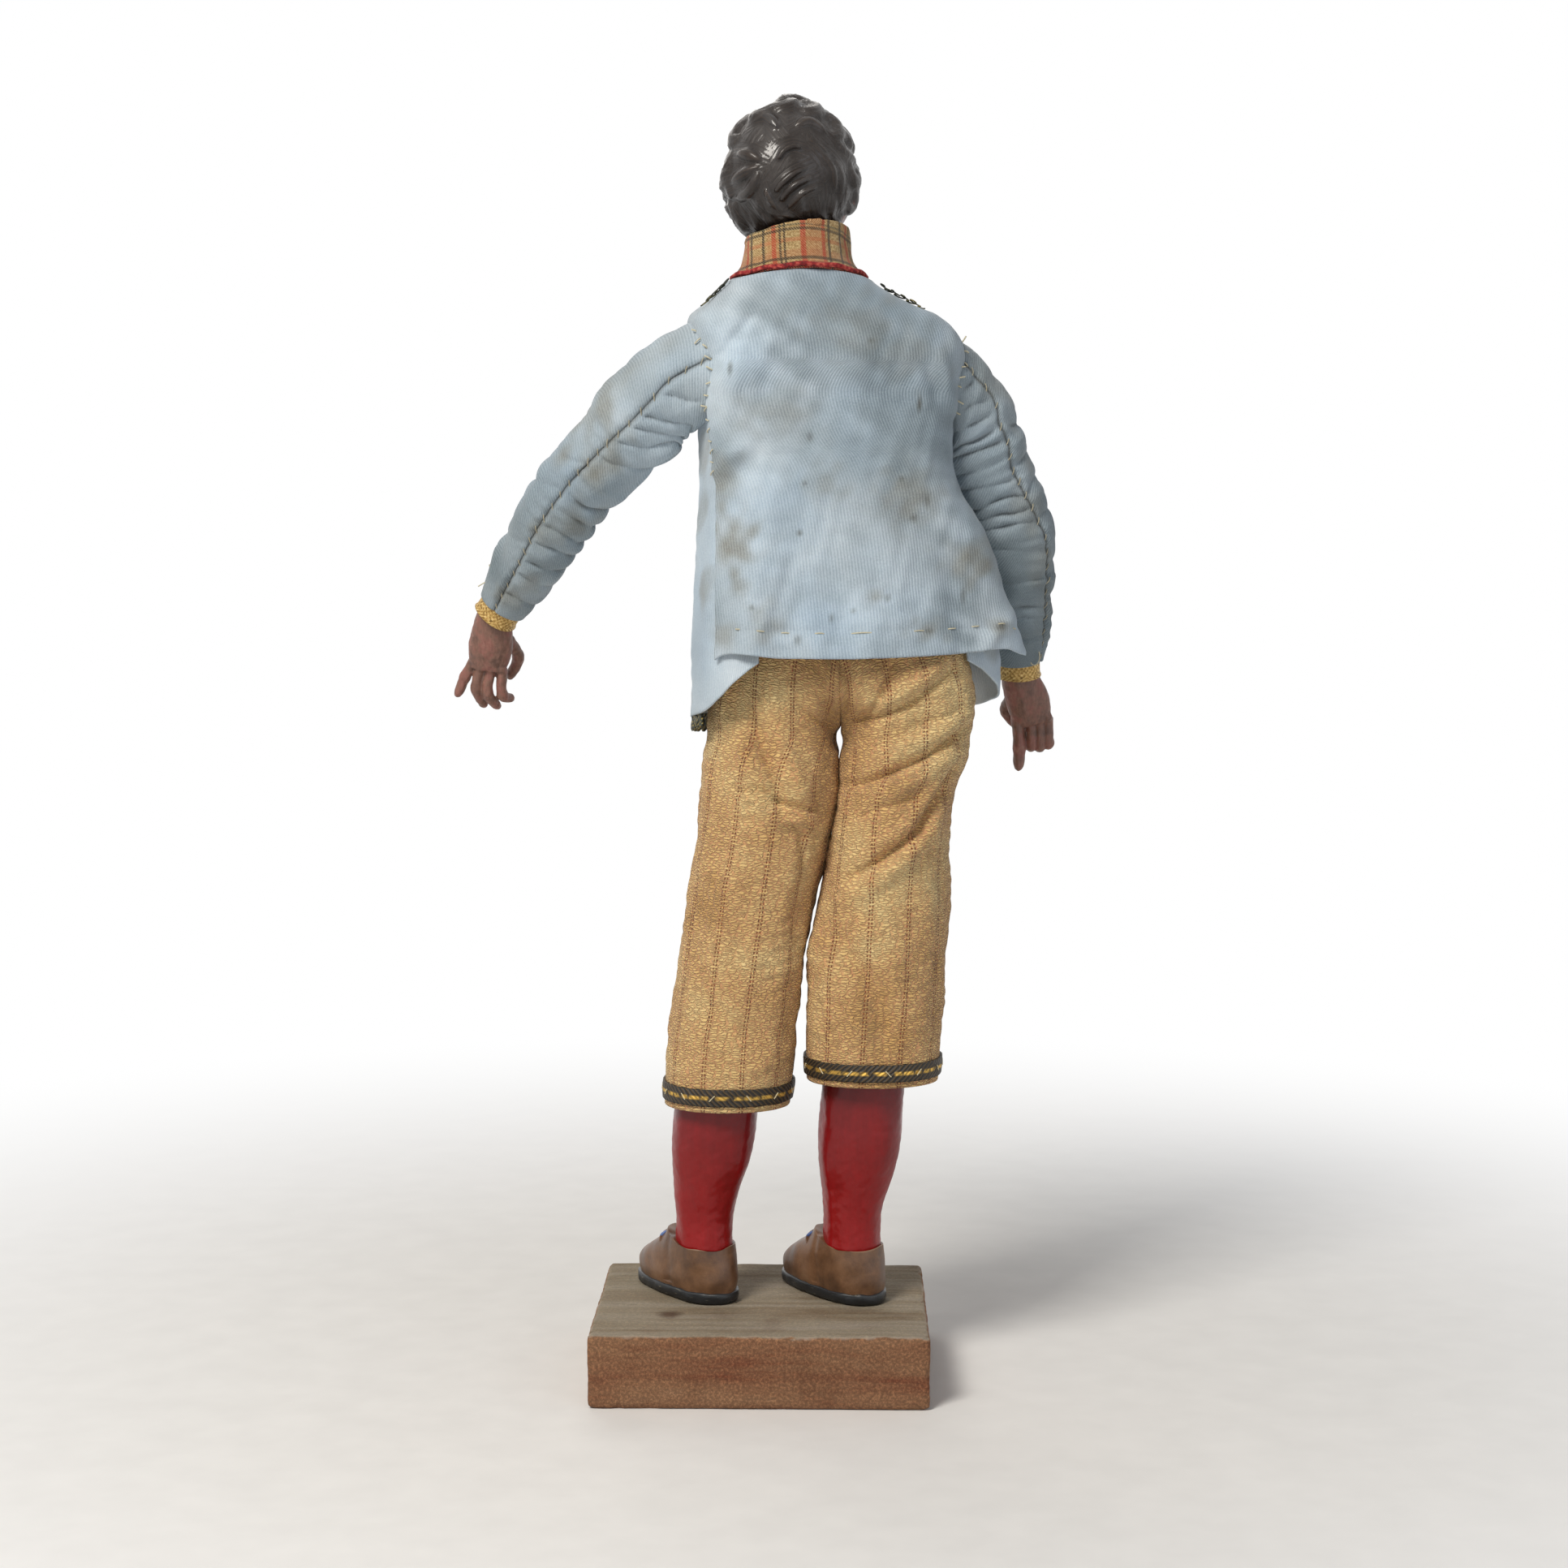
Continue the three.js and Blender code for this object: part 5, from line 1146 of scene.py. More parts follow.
def breeches_half(sign, low, across, up):
    """A half of the breeches: across runs from the inseam or front round the outer side to the back."""
    height = low + up * (BREECHES_TOP - low)
    outer, inseam = (left_outer, left_inseam) if sign > 0 else (right_outer, right_inseam)
    outside, inside = outer(height), inseam(height)
    x, y = rounded(math.pi + 2 * math.pi * across, 2.2)
    middle = (outside + inside) / 2
    leg = np.stack(
        [middle + np.abs(outside - inside) / 2 * x * sign, leg_deep(height) * y - 1, height], axis=1)
    rise = (height - SEAT_FOOT) / SEAT_RISE
    x, y = rounded(1.5 * math.pi + math.pi * across, 2.3)
    seat = np.stack([spine_x(height) + seat_wide(rise) * x * sign, seat_deep(rise) * y, height], axis=1)
    open_share = np.sqrt(ease(height, CROTCH, CROTCH + 22))
    side_share = ease(height, 168, 200)
    near_seam = np.clip(np.abs(across - 0.5) * 2, 0, 1) ** 3
    share = (side_share + (open_share - side_share) * near_seam)[:, None]
    return leg * (1 - share) + seat * share + [0, 0, SOLES]


def ridges(points, folds):
    """Heights of soft folds, each a run of (x, z) points with its half width and height."""
    total = np.zeros(len(points))
    for run, width, height in folds:
        run = np.array(run, float)
        best = np.full(len(points), 1e9)
        ends = np.ones(len(points))
        length = len(run) - 1
        for k in range(length):
            a, b = run[k], run[k + 1]
            along = np.clip((points - a) @ (b - a) / ((b - a) @ (b - a)), 0, 1)
            far = np.linalg.norm(points - a - along[:, None] * (b - a), axis=1)
            nearer = far < best
            best = np.where(nearer, far, best)
            ends = np.where(nearer, np.sin(np.pi * (0.08 + 0.84 * (k + along) / length)) ** 0.6, ends)
        total += height * ends * np.exp(-((best / width) ** 2))
    return total


def cloth(name, columns, rows, place_of, inside=None, turned=False):
    """A sheet with a measure of its own in millimetres, from the middle of each row and from its foot."""
    piece = sheet_grid(name, columns, rows, place_of, inside)
    at = places(piece).reshape(rows + 1, columns + 1, 3)
    steps = np.linalg.norm(np.diff(at, axis=1), axis=2)
    across = np.concatenate([np.zeros((rows + 1, 1)), np.cumsum(steps, axis=1)], axis=1)
    across -= across[:, columns // 2][:, None]
    steps = np.linalg.norm(np.diff(at, axis=0), axis=2)
    up = np.concatenate([np.zeros((1, columns + 1)), np.cumsum(steps, axis=0)], axis=0)
    measure = np.stack([up, across] if turned else [across, up], axis=2).reshape(-1, 2)
    corners = np.empty(len(piece.data.loops), np.int32)
    piece.data.loops.foreach_get("vertex_index", corners)
    piece.data.uv_layers[0].data.foreach_set("uv", measure[corners].astype(np.float32).ravel())
    return piece


# Crêpe: fine crosswise crinkles that catch light, a warm ochre that fades in places, and a pair of
# rust dotted lines every twelve millimetres, drawn a little coarser than the real threads.
crepe = new_material("ochre_crepe", Roughness=0.85, Sheen_Weight=0.15, Sheen_Roughness=0.5)
measure = node(crepe, "UVMap")
place = node(crepe, "TexCoord", output="Object")
split = node(crepe, "SeparateXYZ", measure).node.outputs
crosswise = node(crepe, "Mapping", Scale=(0.42, 1.35, 1), Vector=measure)
stray = node(crepe, "TexNoise", noise_dimensions="2D", Scale=0.5, Detail=2, Vector=measure, output="Color")
shaken = node(crepe, "VectorMath", stray, (1.0, 1.5, 0), crosswise, operation="MULTIPLY_ADD")
puffs = node(
    crepe, "TexVoronoi", voronoi_dimensions="2D", feature="DISTANCE_TO_EDGE", Scale=1, Vector=shaken)
crinkle = node(crepe, "MapRange", interpolation_type="SMOOTHSTEP", From_Max=0.3, Value=puffs)
weave = node(crepe, "TexNoise", noise_dimensions="2D", Scale=2.6, Detail=2, Vector=measure)
fade = node(crepe, "TexNoise", Scale=42, Detail=4, Roughness=0.6, Vector=place)
ochre = node(crepe, "ValToRGB", fade, stops=[(0.32, "#cba772"), (0.5, "#e1c08d"), (0.68, "#ebd2a5")])
pale = node(crepe, "ValToRGB", crinkle, stops=[(0.0, "#5a4428"), (0.4, "#ab8d60"), (0.9, "#d8c091")])
cloth_tone = node(crepe, "MixRGB", blend_type="OVERLAY", Fac=0.4, Color1=ochre, Color2=pale)
pair = node(crepe, "Math", split["X"], 6.0, operation="PINGPONG")
off_line = node(crepe, "Math", pair, 0.45, operation="SUBTRACT")
far = node(crepe, "Math", off_line, operation="ABSOLUTE")
line = node(crepe, "MapRange", From_Min=0.1, From_Max=0.3, To_Min=1, To_Max=0, Value=far)
dot_turn = node(crepe, "Math", split["Y"], 2 * math.pi / 1.3, operation="MULTIPLY")
dots = node(crepe, "Math", dot_turn, operation="SINE")
dotted = node(crepe, "MapRange", From_Min=-0.6, From_Max=0.3, Value=dots)
stripe = node(crepe, "Math", line, dotted, operation="MULTIPLY")
faint = node(crepe, "Math", stripe, 0.92, operation="MULTIPLY")
striped = node(crepe, "MixRGB", Color2="#8a3f1b", Fac=faint, Color1=cloth_tone)
coarse = node(crepe, "Bump", Strength=0.9, Distance=0.0006, Height=crinkle)
fine = node(crepe, "Bump", Strength=0.4, Distance=0.0002, Height=weave, Normal=coarse)
sunk = node(crepe, "Math", 1.0, line, operation="SUBTRACT")
pulled = node(crepe, "Bump", Strength=0.5, Distance=0.0003, Height=sunk, Normal=fine)
put(crepe, Base_Color=striped, Normal=pulled)

LEG_FOLDS = {"left": [
    ([(3, 213), (-1, 202), (-5, 190), (-7, 181)], 1.5, -1.7),
    ([(-4, 214), (-8, 203), (-11, 192), (-14, 185)], 3.0, 1.5),
    ([(9, 210), (5, 200), (1, 192)], 3.0, 0.8),
    ([(2, 190), (-6, 184), (-17, 182)], 1.3, -1.5),
    ([(4, 185), (-6, 179), (-18, 177)], 2.4, 1.1),
    ([(-7, 181), (-13, 174), (-14, 164)], 1.5, -1.3),
    ([(10, 190), (3, 187), (-6, 181)], 1.3, -0.9),
    ([(-13, 163), (-12, 151), (-10, 139)], 3.0, -0.8),
    ([(16, 165), (4, 150), (-6, 132)], 5.0, 0.8),
    ([(20, 122), (8, 114), (-6, 110)], 4.0, -0.8),
    ([(-8, 105), (6, 98), (20, 97)], 4.0, 0.6),
], "right": [
    ([(-64, 207), (-52, 199), (-36, 192), (-26, 189)], 1.4, -1.9),
    ([(-64, 212), (-52, 204), (-36, 197)], 2.6, 1.5),
    ([(-62, 200), (-50, 193), (-36, 186)], 2.6, 1.2),
    ([(-60, 194), (-49, 176), (-38, 167), (-28, 161)], 1.6, -2.3),
    ([(-57, 183), (-47, 169), (-36, 160), (-26, 154)], 3.0, 1.7),
    ([(-55, 190), (-45, 177), (-34, 170)], 2.6, 1.2),
    ([(-49, 187), (-36, 182), (-27, 179)], 1.3, -1.0),
    ([(-64, 213), (-56, 210), (-46, 208)], 1.2, -0.9),
    ([(-22, 145), (-32, 131), (-39, 116), (-38, 106)], 3.4, -2.0),
    ([(-30, 150), (-41, 134), (-48, 116)], 4.5, 1.1),
    ([(-20, 134), (-29, 120), (-32, 106)], 4.0, 1.1),
    ([(-28, 157), (-23, 145), (-18, 134)], 3.0, 0.9),
]}
SEAT_FOLDS = [
    ([(-60, 225), (-46, 215), (-35, 210), (-28, 208)], 1.4, -1.6),
    ([(-58, 229), (-45, 219), (-34, 214)], 2.2, 1.2),
    ([(-41, 228), (-38, 218), (-31, 209)], 1.3, -1.4),
    ([(-19, 219), (-22, 210), (-24, 202)], 1.5, -1.4),
    ([(-12, 213), (-18, 209), (-23, 207)], 1.4, -1.1),
    ([(-25, 227), (-27, 218), (-26, 210)], 1.4, -1.2),
    ([(-18, 227), (-20, 220)], 1.4, -0.9),
]
for side, sign in SIDES.items():
    low = BREECHES_HEM[side]
    columns, rows = 180, 190
    half = cloth(f"breeches_{side}_half", columns, rows, partial(breeches_half, sign, low))
    at = places(half)
    outward = normals(half)
    near_twin = np.tile(np.abs(np.linspace(-1, 1, columns + 1)), rows + 1) ** 8
    seam = near_twin * ease(at[:, 2], SOLES + CROTCH, SOLES + CROTCH + 9)
    outward[:, 0] *= 1 - seam
    flat = at[:, [0, 2]]
    behind = ease(at[:, 1], -6, 6)
    folded = behind * (1.7 if sign > 0 else 1.5) * ridges(flat, LEG_FOLDS[side] + SEAT_FOLDS)
    folded += (1 - behind) * 1.1 * wander(np.c_[flat, at[:, 1]] * [1, 0.55, 1], 34, 41 + sign)
    folded += 0.35 * wander(at * [1, 1, 0.6], 15, 43 + sign) * ease(at[:, 2], low + 26, low + 45)
    folded += 0.16 * wander(at * [0.5, 0.5, 1.3], 4.5, 45)
    under_jacket = 1 - ease(at[:, 2], 226, 234)
    above_braid = 0.3 + 0.7 * ease(at[:, 2] - SOLES - low, 7, 18)
    move_to(half, at + outward * (folded * above_braid * (0.15 + 0.85 * under_jacket))[:, None])
    thickened(half, BREECHES_CLOTH)
    dressed(half, crepe, "stand", "breeches_cloth", "breeches")

# Knee braid
# A narrow dark braid with a gold thread along its middle, tacked round each hem with pale stitches.
BRAID_FOOT = 2
BRAID_WIDTH = 5.5
BRAID_STITCHES = 13
braid = new_material("dark_gold_braid", Roughness=0.6)
measure = node(braid, "UVMap")
split = node(braid, "SeparateXYZ", measure, output="Y")
plait = node(
    braid, "TexWave", bands_direction="DIAGONAL", Scale=0.36, Distortion=2.5, Detail=2, Vector=measure,
    output="Fac")
dark = node(braid, "ValToRGB", plait, stops=[(0.2, "#17120c"), (0.6, "#2c2215"), (0.95, "#4d3c22")])
off_middle = node(braid, "Math", split, 2.8, operation="SUBTRACT")
middle = node(braid, "Math", off_middle, operation="ABSOLUTE")
worn = node(braid, "TexNoise", noise_dimensions="2D", Scale=0.35, Detail=4, Vector=measure)
gold_line = node(braid, "MapRange", From_Min=0.35, From_Max=0.8, To_Min=1, To_Max=0, Value=middle)
left_gold = node(braid, "MapRange", From_Min=0.38, From_Max=0.55, Value=worn)
gold = node(braid, "Math", gold_line, left_gold, operation="MULTIPLY")
tone = node(braid, "MixRGB", Color2="#c9a455", Fac=gold, Color1=dark)
raised = node(braid, "Bump", Strength=0.7, Distance=0.0004, Height=plait)
put(braid, Base_Color=tone, Metallic=gold, Normal=raised)
cream = new_material("cream_thread", Base_Color="#d9cda8", Roughness=0.8)
for side, sign in SIDES.items():
    low = BREECHES_HEM[side]

    def band(across, up):
        height = low + BRAID_FOOT + BRAID_WIDTH * up
        return breeches_half(sign, low, across, (height - low) / (BREECHES_TOP - low))

    ring = cloth(f"{side}_knee_braid_band", 150, 12, band)
    at = places(ring)
    share = (at[:, 2] - SOLES - low - BRAID_FOOT) / BRAID_WIDTH
    puffed = 0.75 + 0.2 * np.sin(np.pi * np.clip(share, 0, 1)) + 0.08 * wander(at, 6, 47)
    pushed(ring, puffed)
    centre = places(ring).mean(axis=0)
    thickened(ring, 0.8)
    dressed(ring, braid, "stand", "knee_braid", f"{side}_knee_braid")
    stitches = []
    for k in range(BRAID_STITCHES):
        share = np.full(5, (k + 0.3) / BRAID_STITCHES) + np.linspace(0, 0.012, 5)
        height = low + BRAID_FOOT + 2.8 + np.array([-0.9, -0.5, 0, 0.5, 0.9]) * (1 if k % 2 else -1)
        spot = breeches_half(sign, low, share, (height - low) / (BREECHES_TOP - low))
        away = spot - [centre[0], centre[1], 0]
        away[:, 2] = 0
        away = unit(away)
        stitches.append(spot + away * 1.1)
    dressed(
        threads(f"{side}_knee_stitches", stitches, 0.16), cream, "stand", "knee_braid",
        f"{side}_knee_braid")


# Shirt front and collar
# A false shirt of checked cotton twill: a front piece under the open jacket and a standing collar,
# folded over at its top edge and sewn to the jacket's neckline with a red selvedge showing.
COLLAR_HEIGHT = 14.0
COLLAR_FOLD = 0.86
SHIRT_FOOT = 224.5
jacket_left = through(
    (183, 48.5), (207, 46.5), (240, 43.5), (262, 41), (277, 40.5), (297, 41), (306, 41.5), (311, 39.5),
    (314.5, 34), (318, 28), (321, 23.5), (325, 20.5))
jacket_right = through(
    (183, 53), (207, 54), (235, 48), (262, 38), (277, 38), (290, 40.5), (300, 43), (306, 42), (310, 39),
    (314.5, 32.5), (318, 27.5), (321, 23.5), (325, 20.5))
flare_right = through((207, 6), (230, 4.5), (250, 4.5), (263, 3.5), (286, 1.5), (297, 0))
jacket_back = through(
    (183, 27), (207, 25.5), (230, 22), (260, 20.5), (290, 20), (305, 18.5), (313, 17.5), (320, 17),
    (325, 16.5))
jacket_front = through(
    (183, 39), (207, 33), (240, 24.5), (270, 22), (295, 21), (308, 19), (316, 16), (325, 14.5))
jacket_square = through((207, 0.82), (260, 0.74), (285, 0.6), (310, 0.6), (325, 0.85))


def neckline(angle):
    """Height of the neckline: higher behind, lower in front."""
    return 322 + np.where(np.sin(angle) > 0, 2.5, -11) * np.sin(angle) ** 2


def jacket_place(angle, height, inset, flare=0):
    """A point of the jacket: angle 0 is the left side and a quarter turn the back."""
    x, y = np.cos(angle), np.sin(angle)
    power = jacket_square(height)
    left = np.sign(x) * np.abs(x) ** power
    back = np.sign(y) * np.abs(y) ** power
    wide = np.where(left > 0, jacket_left(height), jacket_right(height) + flare * flare_right(height))
    deep = np.where(back > 0, jacket_back(height), jacket_front(height))
    return trunk_place(left * (wide - inset), back * (deep - inset), height)


# Checked twill: straw-coloured ground with bands of orange and red, black double lines broken by the
# twill, a red band at the foot and slanting twill lines, drawn at about twice their real width.
plaid = new_material("checked_twill", Roughness=0.85, Sheen_Weight=0.1)
measure = node(plaid, "UVMap")
split = node(plaid, "SeparateXYZ", measure).node.outputs
across, up = split["X"], split["Y"]
lean = node(plaid, "Math", across, up, operation="ADD")
wale_turn = node(plaid, "Math", lean, 2 * math.pi / 0.8, operation="MULTIPLY")
twill = node(plaid, "Math", wale_turn, operation="SINE")
rough_twill = node(plaid, "TexNoise", noise_dimensions="2D", Scale=1.6, Detail=2, Vector=measure)
broken = node(plaid, "MapRange", From_Min=-0.5, From_Max=0.4, To_Min=0.45, Value=twill)
tone = node(plaid, "ValToRGB", rough_twill, stops=[(0.3, "#987a4c"), (0.5, "#b89a68"), (0.7, "#d0b888")])
for direction, shift, span, half, colour, strength in [
    (across, 2.0, 26.0, 3.0, "#b96a45", 0.5),
    (across, 14.5, 26.0, 2.2, "#b97a48", 0.45),
    (up, 5.0, 40.0, 1.4, "#b06a4a", 0.5),
    (up, 0.9, 40.0, 1.3, "#8c1a20", 1.0),
    (across, 4.6, 26.0, 0.6, "#b02c1c", 0.9),
    (across, 14.8, 26.0, 0.7, "#b02c1c", 0.9),
    (across, 24.0, 26.0, 0.85, "#b3271b", 0.95),
    (up, 9.4, 40.0, 0.6, "#b8603a", 0.6),
    (across, 6.6, 26.0, 0.45, "#17120f", 1.0),
    (across, 11.2, 26.0, 0.45, "#17120f", 1.0),
    (across, 16.8, 26.0, 0.36, "#1d1814", 0.95),
    (across, 18.2, 26.0, 0.36, "#1d1814", 0.95),
    (up, 3.6, 40.0, 0.55, "#17120f", 0.95),
    (up, 12.6, 40.0, 0.45, "#1d1814", 0.9),
    (up, 13.9, 40.0, 0.3, "#2c3a30", 0.75),
]:
    moved = node(plaid, "Math", direction, shift - span / 2, operation="SUBTRACT")
    place = node(plaid, "Math", moved, span, operation="FLOORED_MODULO")
    off_middle = node(plaid, "Math", place, span / 2, operation="SUBTRACT")
    far = node(plaid, "Math", off_middle, operation="ABSOLUTE")
    band = node(
        plaid, "MapRange", From_Min=half * 0.75, From_Max=half * 1.25, To_Min=strength, To_Max=0, Value=far)
    share = node(plaid, "Math", band, broken, operation="MULTIPLY")
    tone = node(plaid, "MixRGB", Color2=colour, Fac=share, Color1=tone)
wale = node(plaid, "Bump", Strength=0.5, Distance=0.0003, Height=twill)
put(plaid, Base_Color=tone, Normal=wale)


def collar_place(across, up):
    """The collar stands from the neckline, leans in and turns over at its top edge."""
    angle = 2 * math.pi * (across - 0.25)
    standing = np.minimum(up / COLLAR_FOLD, 1)
    height = neckline(angle) + 0.4 + standing * (COLLAR_HEIGHT - 1.5 * np.cos(angle + 0.4))
    over = np.clip((up - COLLAR_FOLD) / 0.14, 0, 1)
    height = height + 0.75 * np.sin(np.pi * over) - 1.6 * over
    narrow = 4.6 * through((0, -0.06), (0.35, 0.7), (1, 1))(standing) + 1.3 * over
    back = np.where(np.sin(angle) > 0, 17 - 0.6 * narrow, 16.5 - 0.5 * narrow)
    return trunk_place((21 - narrow) * np.cos(angle), back * np.sin(angle), height)


collar = sewn(cloth("standing_collar", 200, 44, collar_place))
at = places(collar)
bumps = 0.22 * wander(at, 13, 51) + 0.1 * wander(at, 5, 52)
pushed(collar, bumps)
thickened(collar, 0.5)
dressed(collar, plaid, "torso", "checked_cloth", "neck_collar")
selvedge = new_material("red_selvedge", Roughness=0.85)
place = node(selvedge, "TexCoord", output="Object")
threaded = node(selvedge, "TexNoise", Scale=700, Detail=2, Vector=place)
crimson = node(
    selvedge, "ValToRGB", threaded, stops=[(0.35, "#5c1116"), (0.5, "#941f22"), (0.65, "#c05a4c")])
put(selvedge, Base_Color=crimson)
round_neck = np.linspace(0, 1, 121)
rolled = collar_place(round_neck, np.full(121, 0.05))
rolled += 0.5 * unit(rolled - rolled.mean(axis=0))
rolled += np.c_[0 * round_neck, 0 * round_neck, 0.25 * np.sin(round_neck * 70)]
dressed(threads("collar_selvedge", [rolled], 0.75), selvedge, "torso", "checked_cloth", "neck_collar")


def arm_hollow(turn, height):
    """How far the cloth is pressed in beside the right arm, at degrees forward of the right side."""
    tall = ease(height, 188, 202) * (1 - ease(height, 228, 246))
    return 6.8 * tall * ease(turn, 0, 17) * (1 - ease(turn, 50, 69))


def shirt_place(across, up):
    """The shirt lies under the jacket's fronts, and its yoke turns in to the foot of the collar."""
    angle = np.radians(-90 + (46 + 40 * ease(up, 0.72, 0.93)) * (1 - 2 * across))
    yoke = ease(up, 0.88, 1)[:, None]
    height = SHIRT_FOOT + np.minimum(up / 0.93, 1) * (neckline(angle) - 3 - SHIRT_FOOT)
    tuck = 4 * through((0, 1), (0.25, 0.15), (0.55, 0))(up)
    foot = trunk_place(20.2 * np.cos(angle), 15.6 * np.sin(angle), neckline(angle) + 1.2)
    tuck += 1.2 * arm_hollow(180 + np.degrees(angle), height)
    return jacket_place(angle, height, 2.3 + tuck) * (1 - yoke) + foot * yoke


shirt = cloth("shirt_front_cloth", 90, 110, shirt_place, inside=HEAD_MIDDLE - [0, -20, 100])
pushed(shirt, 0.3 * wander(places(shirt) * [1, 1, 0.4], 16, 53) - 0.2)
thickened(shirt, 0.5)
dressed(shirt, plaid, "torso", "checked_cloth", "shirt_front")


# Jacket
# A short jacket of fine ribbed silk and cotton, faded pale blue, in five pieces: a straight back, two
# longer fronts and two sleeves. The back is sewn to the fronts from the armholes to the vents, where it
# hangs free over them; its hem is turned up and tacked with running stitches.
JACKET_CLOTH = 0.7
RIB_PITCH = 1.0
BACK_HEM = 207.0
VENT_TOP = 280.0
FRONT_EDGE = -70.0
TRUNK_MIDDLE = np.array([-20.0, 0.0, 280.0])
back_left_edge = through((207, 23), (255, 22), (275, 12), (288, 6))
back_right_edge = through((255, 165), (285, 166), (297, 174))
hem_wave = through(
    (0, -1.2), (0.05, 0.5), (0.13, 0.9), (0.26, -0.3), (0.44, -0.7), (0.61, 0), (0.75, 1.2), (0.83, 1.5),
    (0.9, -0.3), (1, -1.2))
front_back_edge = through((207, 50), (250, 48), (268, 30), (280, 12), (291, 6.4))

# Ribbed cloth: ribs under a millimetre apart that show as fine uneven lines. The dye has faded to a
# pale blue; dust has greyed the shoulders and sleeves, and the same grey is painted on as shade on the
# back's right side, the right sleeve and the forearms, and taken off as painted light on the lit parts of
# the back. Brown damp stains have dried in, there are a few dark spots, and the sleeves' fold hollows
# are painted darker as shade.
ribbed = new_material("faded_ribbed_cloth", Roughness=0.9, Sheen_Weight=0.15, Sheen_Roughness=0.4)
measure = node(ribbed, "UVMap")
place = node(ribbed, "TexCoord", output="Object")
split = node(ribbed, "SeparateXYZ", measure, output="X")
slub = node(ribbed, "TexNoise", noise_dimensions="2D", Scale=1.7, Detail=3, Roughness=0.75, Vector=measure)
drift = node(ribbed, "Math", slub, 0.35, split, operation="MULTIPLY_ADD")
turns = node(ribbed, "Math", drift, 2 * math.pi / RIB_PITCH, operation="MULTIPLY")
rib = node(ribbed, "Math", turns, operation="SINE")
cloud = node(ribbed, "TexNoise", Scale=26, Detail=4, Roughness=0.5, Distortion=0.3, Vector=place)
blue = node(
    ribbed, "ValToRGB", cloud,
    stops=[(0.3, "#abbecf"), (0.44, "#bbccda"), (0.57, "#c9d7e2"), (0.72, "#d5e0e9")])
# The grey share is dust together with painted shade, and is lowered as painted light on parts of the back.
greyed = node(ribbed, "Attribute", attribute_name="wear", output="Fac")
greying = node(ribbed, "MixRGB", Color2="#76838a", Fac=greyed, Color1=blue)
seep = node(ribbed, "TexNoise", Scale=60, Detail=6, Roughness=0.6, Vector=place)
damp = node(ribbed, "Attribute", attribute_name="stain", output="Fac")
uneven = node(ribbed, "MapRange", From_Min=0.32, From_Max=0.62, To_Min=0.4, To_Max=0.95, Value=seep)
stain = node(ribbed, "Math", damp, uneven, operation="MULTIPLY", use_clamp=True)
stained = node(ribbed, "MixRGB", Color2="#85847a", Fac=stain, Color1=greying)
# Dark spots, and on the sleeves painted shade in the hollows of the folds.
spots_and_crease_shade = node(ribbed, "Attribute", attribute_name="spot", output="Fac")
spotted = node(ribbed, "MixRGB", Color2="#4c493d", Fac=spots_and_crease_shade, Color1=stained)
slubby = node(ribbed, "MixRGB", blend_type="SOFT_LIGHT", Fac=0.55, Color1=spotted, Color2=slub)
rib_tone = node(ribbed, "MapRange", From_Min=-1, To_Min=0.32, To_Max=0.68, Value=rib)
woven = node(ribbed, "MixRGB", blend_type="SOFT_LIGHT", Fac=0.55, Color1=slubby, Color2=rib_tone)
ribs = node(ribbed, "Bump", Strength=0.3, Distance=0.0002, Height=rib)
slubs = node(ribbed, "Bump", Strength=0.4, Distance=0.00025, Height=slub, Normal=ribs)
put(ribbed, Base_Color=woven, Normal=slubs)


def marked(piece, **shares):
    """Stores shares from 0 to 1 at the points of a piece, for its material to read."""
    for name, values in shares.items():
        held = piece.data.attributes.new(name, "FLOAT", "POINT")
        held.data.foreach_set("value", np.clip(values, 0, 1).astype(np.float32))


def blots(flat, list_of_blots, seed):
    """Strengths of soft-edged blots, each given by its middle, half sizes and strength."""
    total = np.zeros(len(flat))
    edge = 0.3 * wander(flat, 9, seed)
    for x, z, wide, tall, strength in list_of_blots:
        far = np.hypot((flat[:, 0] - x) / wide, (flat[:, 1] - z) / tall)
        total = np.maximum(total, strength * (1 - ease(far + edge * min(1, wide / 5), 0, 1.7)))
    return total


def back_place(across, up):
    hem = BACK_HEM + hem_wave(across)
    height = hem + up * (neckline(across * math.pi) - hem)
    left, right = back_left_edge(height), back_right_edge(height)
    hanging = ease(VENT_TOP - height, 0, VENT_TOP - BACK_HEM)
    fold = 1.6 * hanging * (0.5 - 0.5 * np.cos(6 * math.pi * across))
    return jacket_place(np.radians(left + (right - left) * across), height, -fold, 1)


def front_place(sign, across, up):
    hem = through((0, BACK_HEM - 2), (0.35, 190 if sign > 0 else 193), (1, 184))(across)
    height = hem + up * (neckline(np.radians(FRONT_EDGE * across)) - hem)
    back = front_back_edge(height)
    angle = back + (FRONT_EDGE - back) * across
    below_vent = ease(VENT_TOP + 12 - height, 0, 12)
    under = below_vent * ease(angle, -25, 2) * 2.1
    if sign < 0:
        under += arm_hollow(-angle, height)
    return jacket_place(np.radians(angle if sign > 0 else 180 - angle), height, under)


def sleeve_line(side):
    """Centre line of a sleeve from the armhole to its end, and the arm's side of the body."""
    shoulder, elbow, wrist = ARMS[side]
    sign = SIDES[side]
    hole = trunk_place(np.array([sign * 36.5]), np.array([-1.0]), np.array([296.0]))[0]
    end = wrist + (elbow - wrist) * 0.1
    return [
        hole, shoulder + (elbow - shoulder) * 0.35, shoulder + (elbow - shoulder) * 0.65, elbow,
        (elbow + end) / 2, end], sign


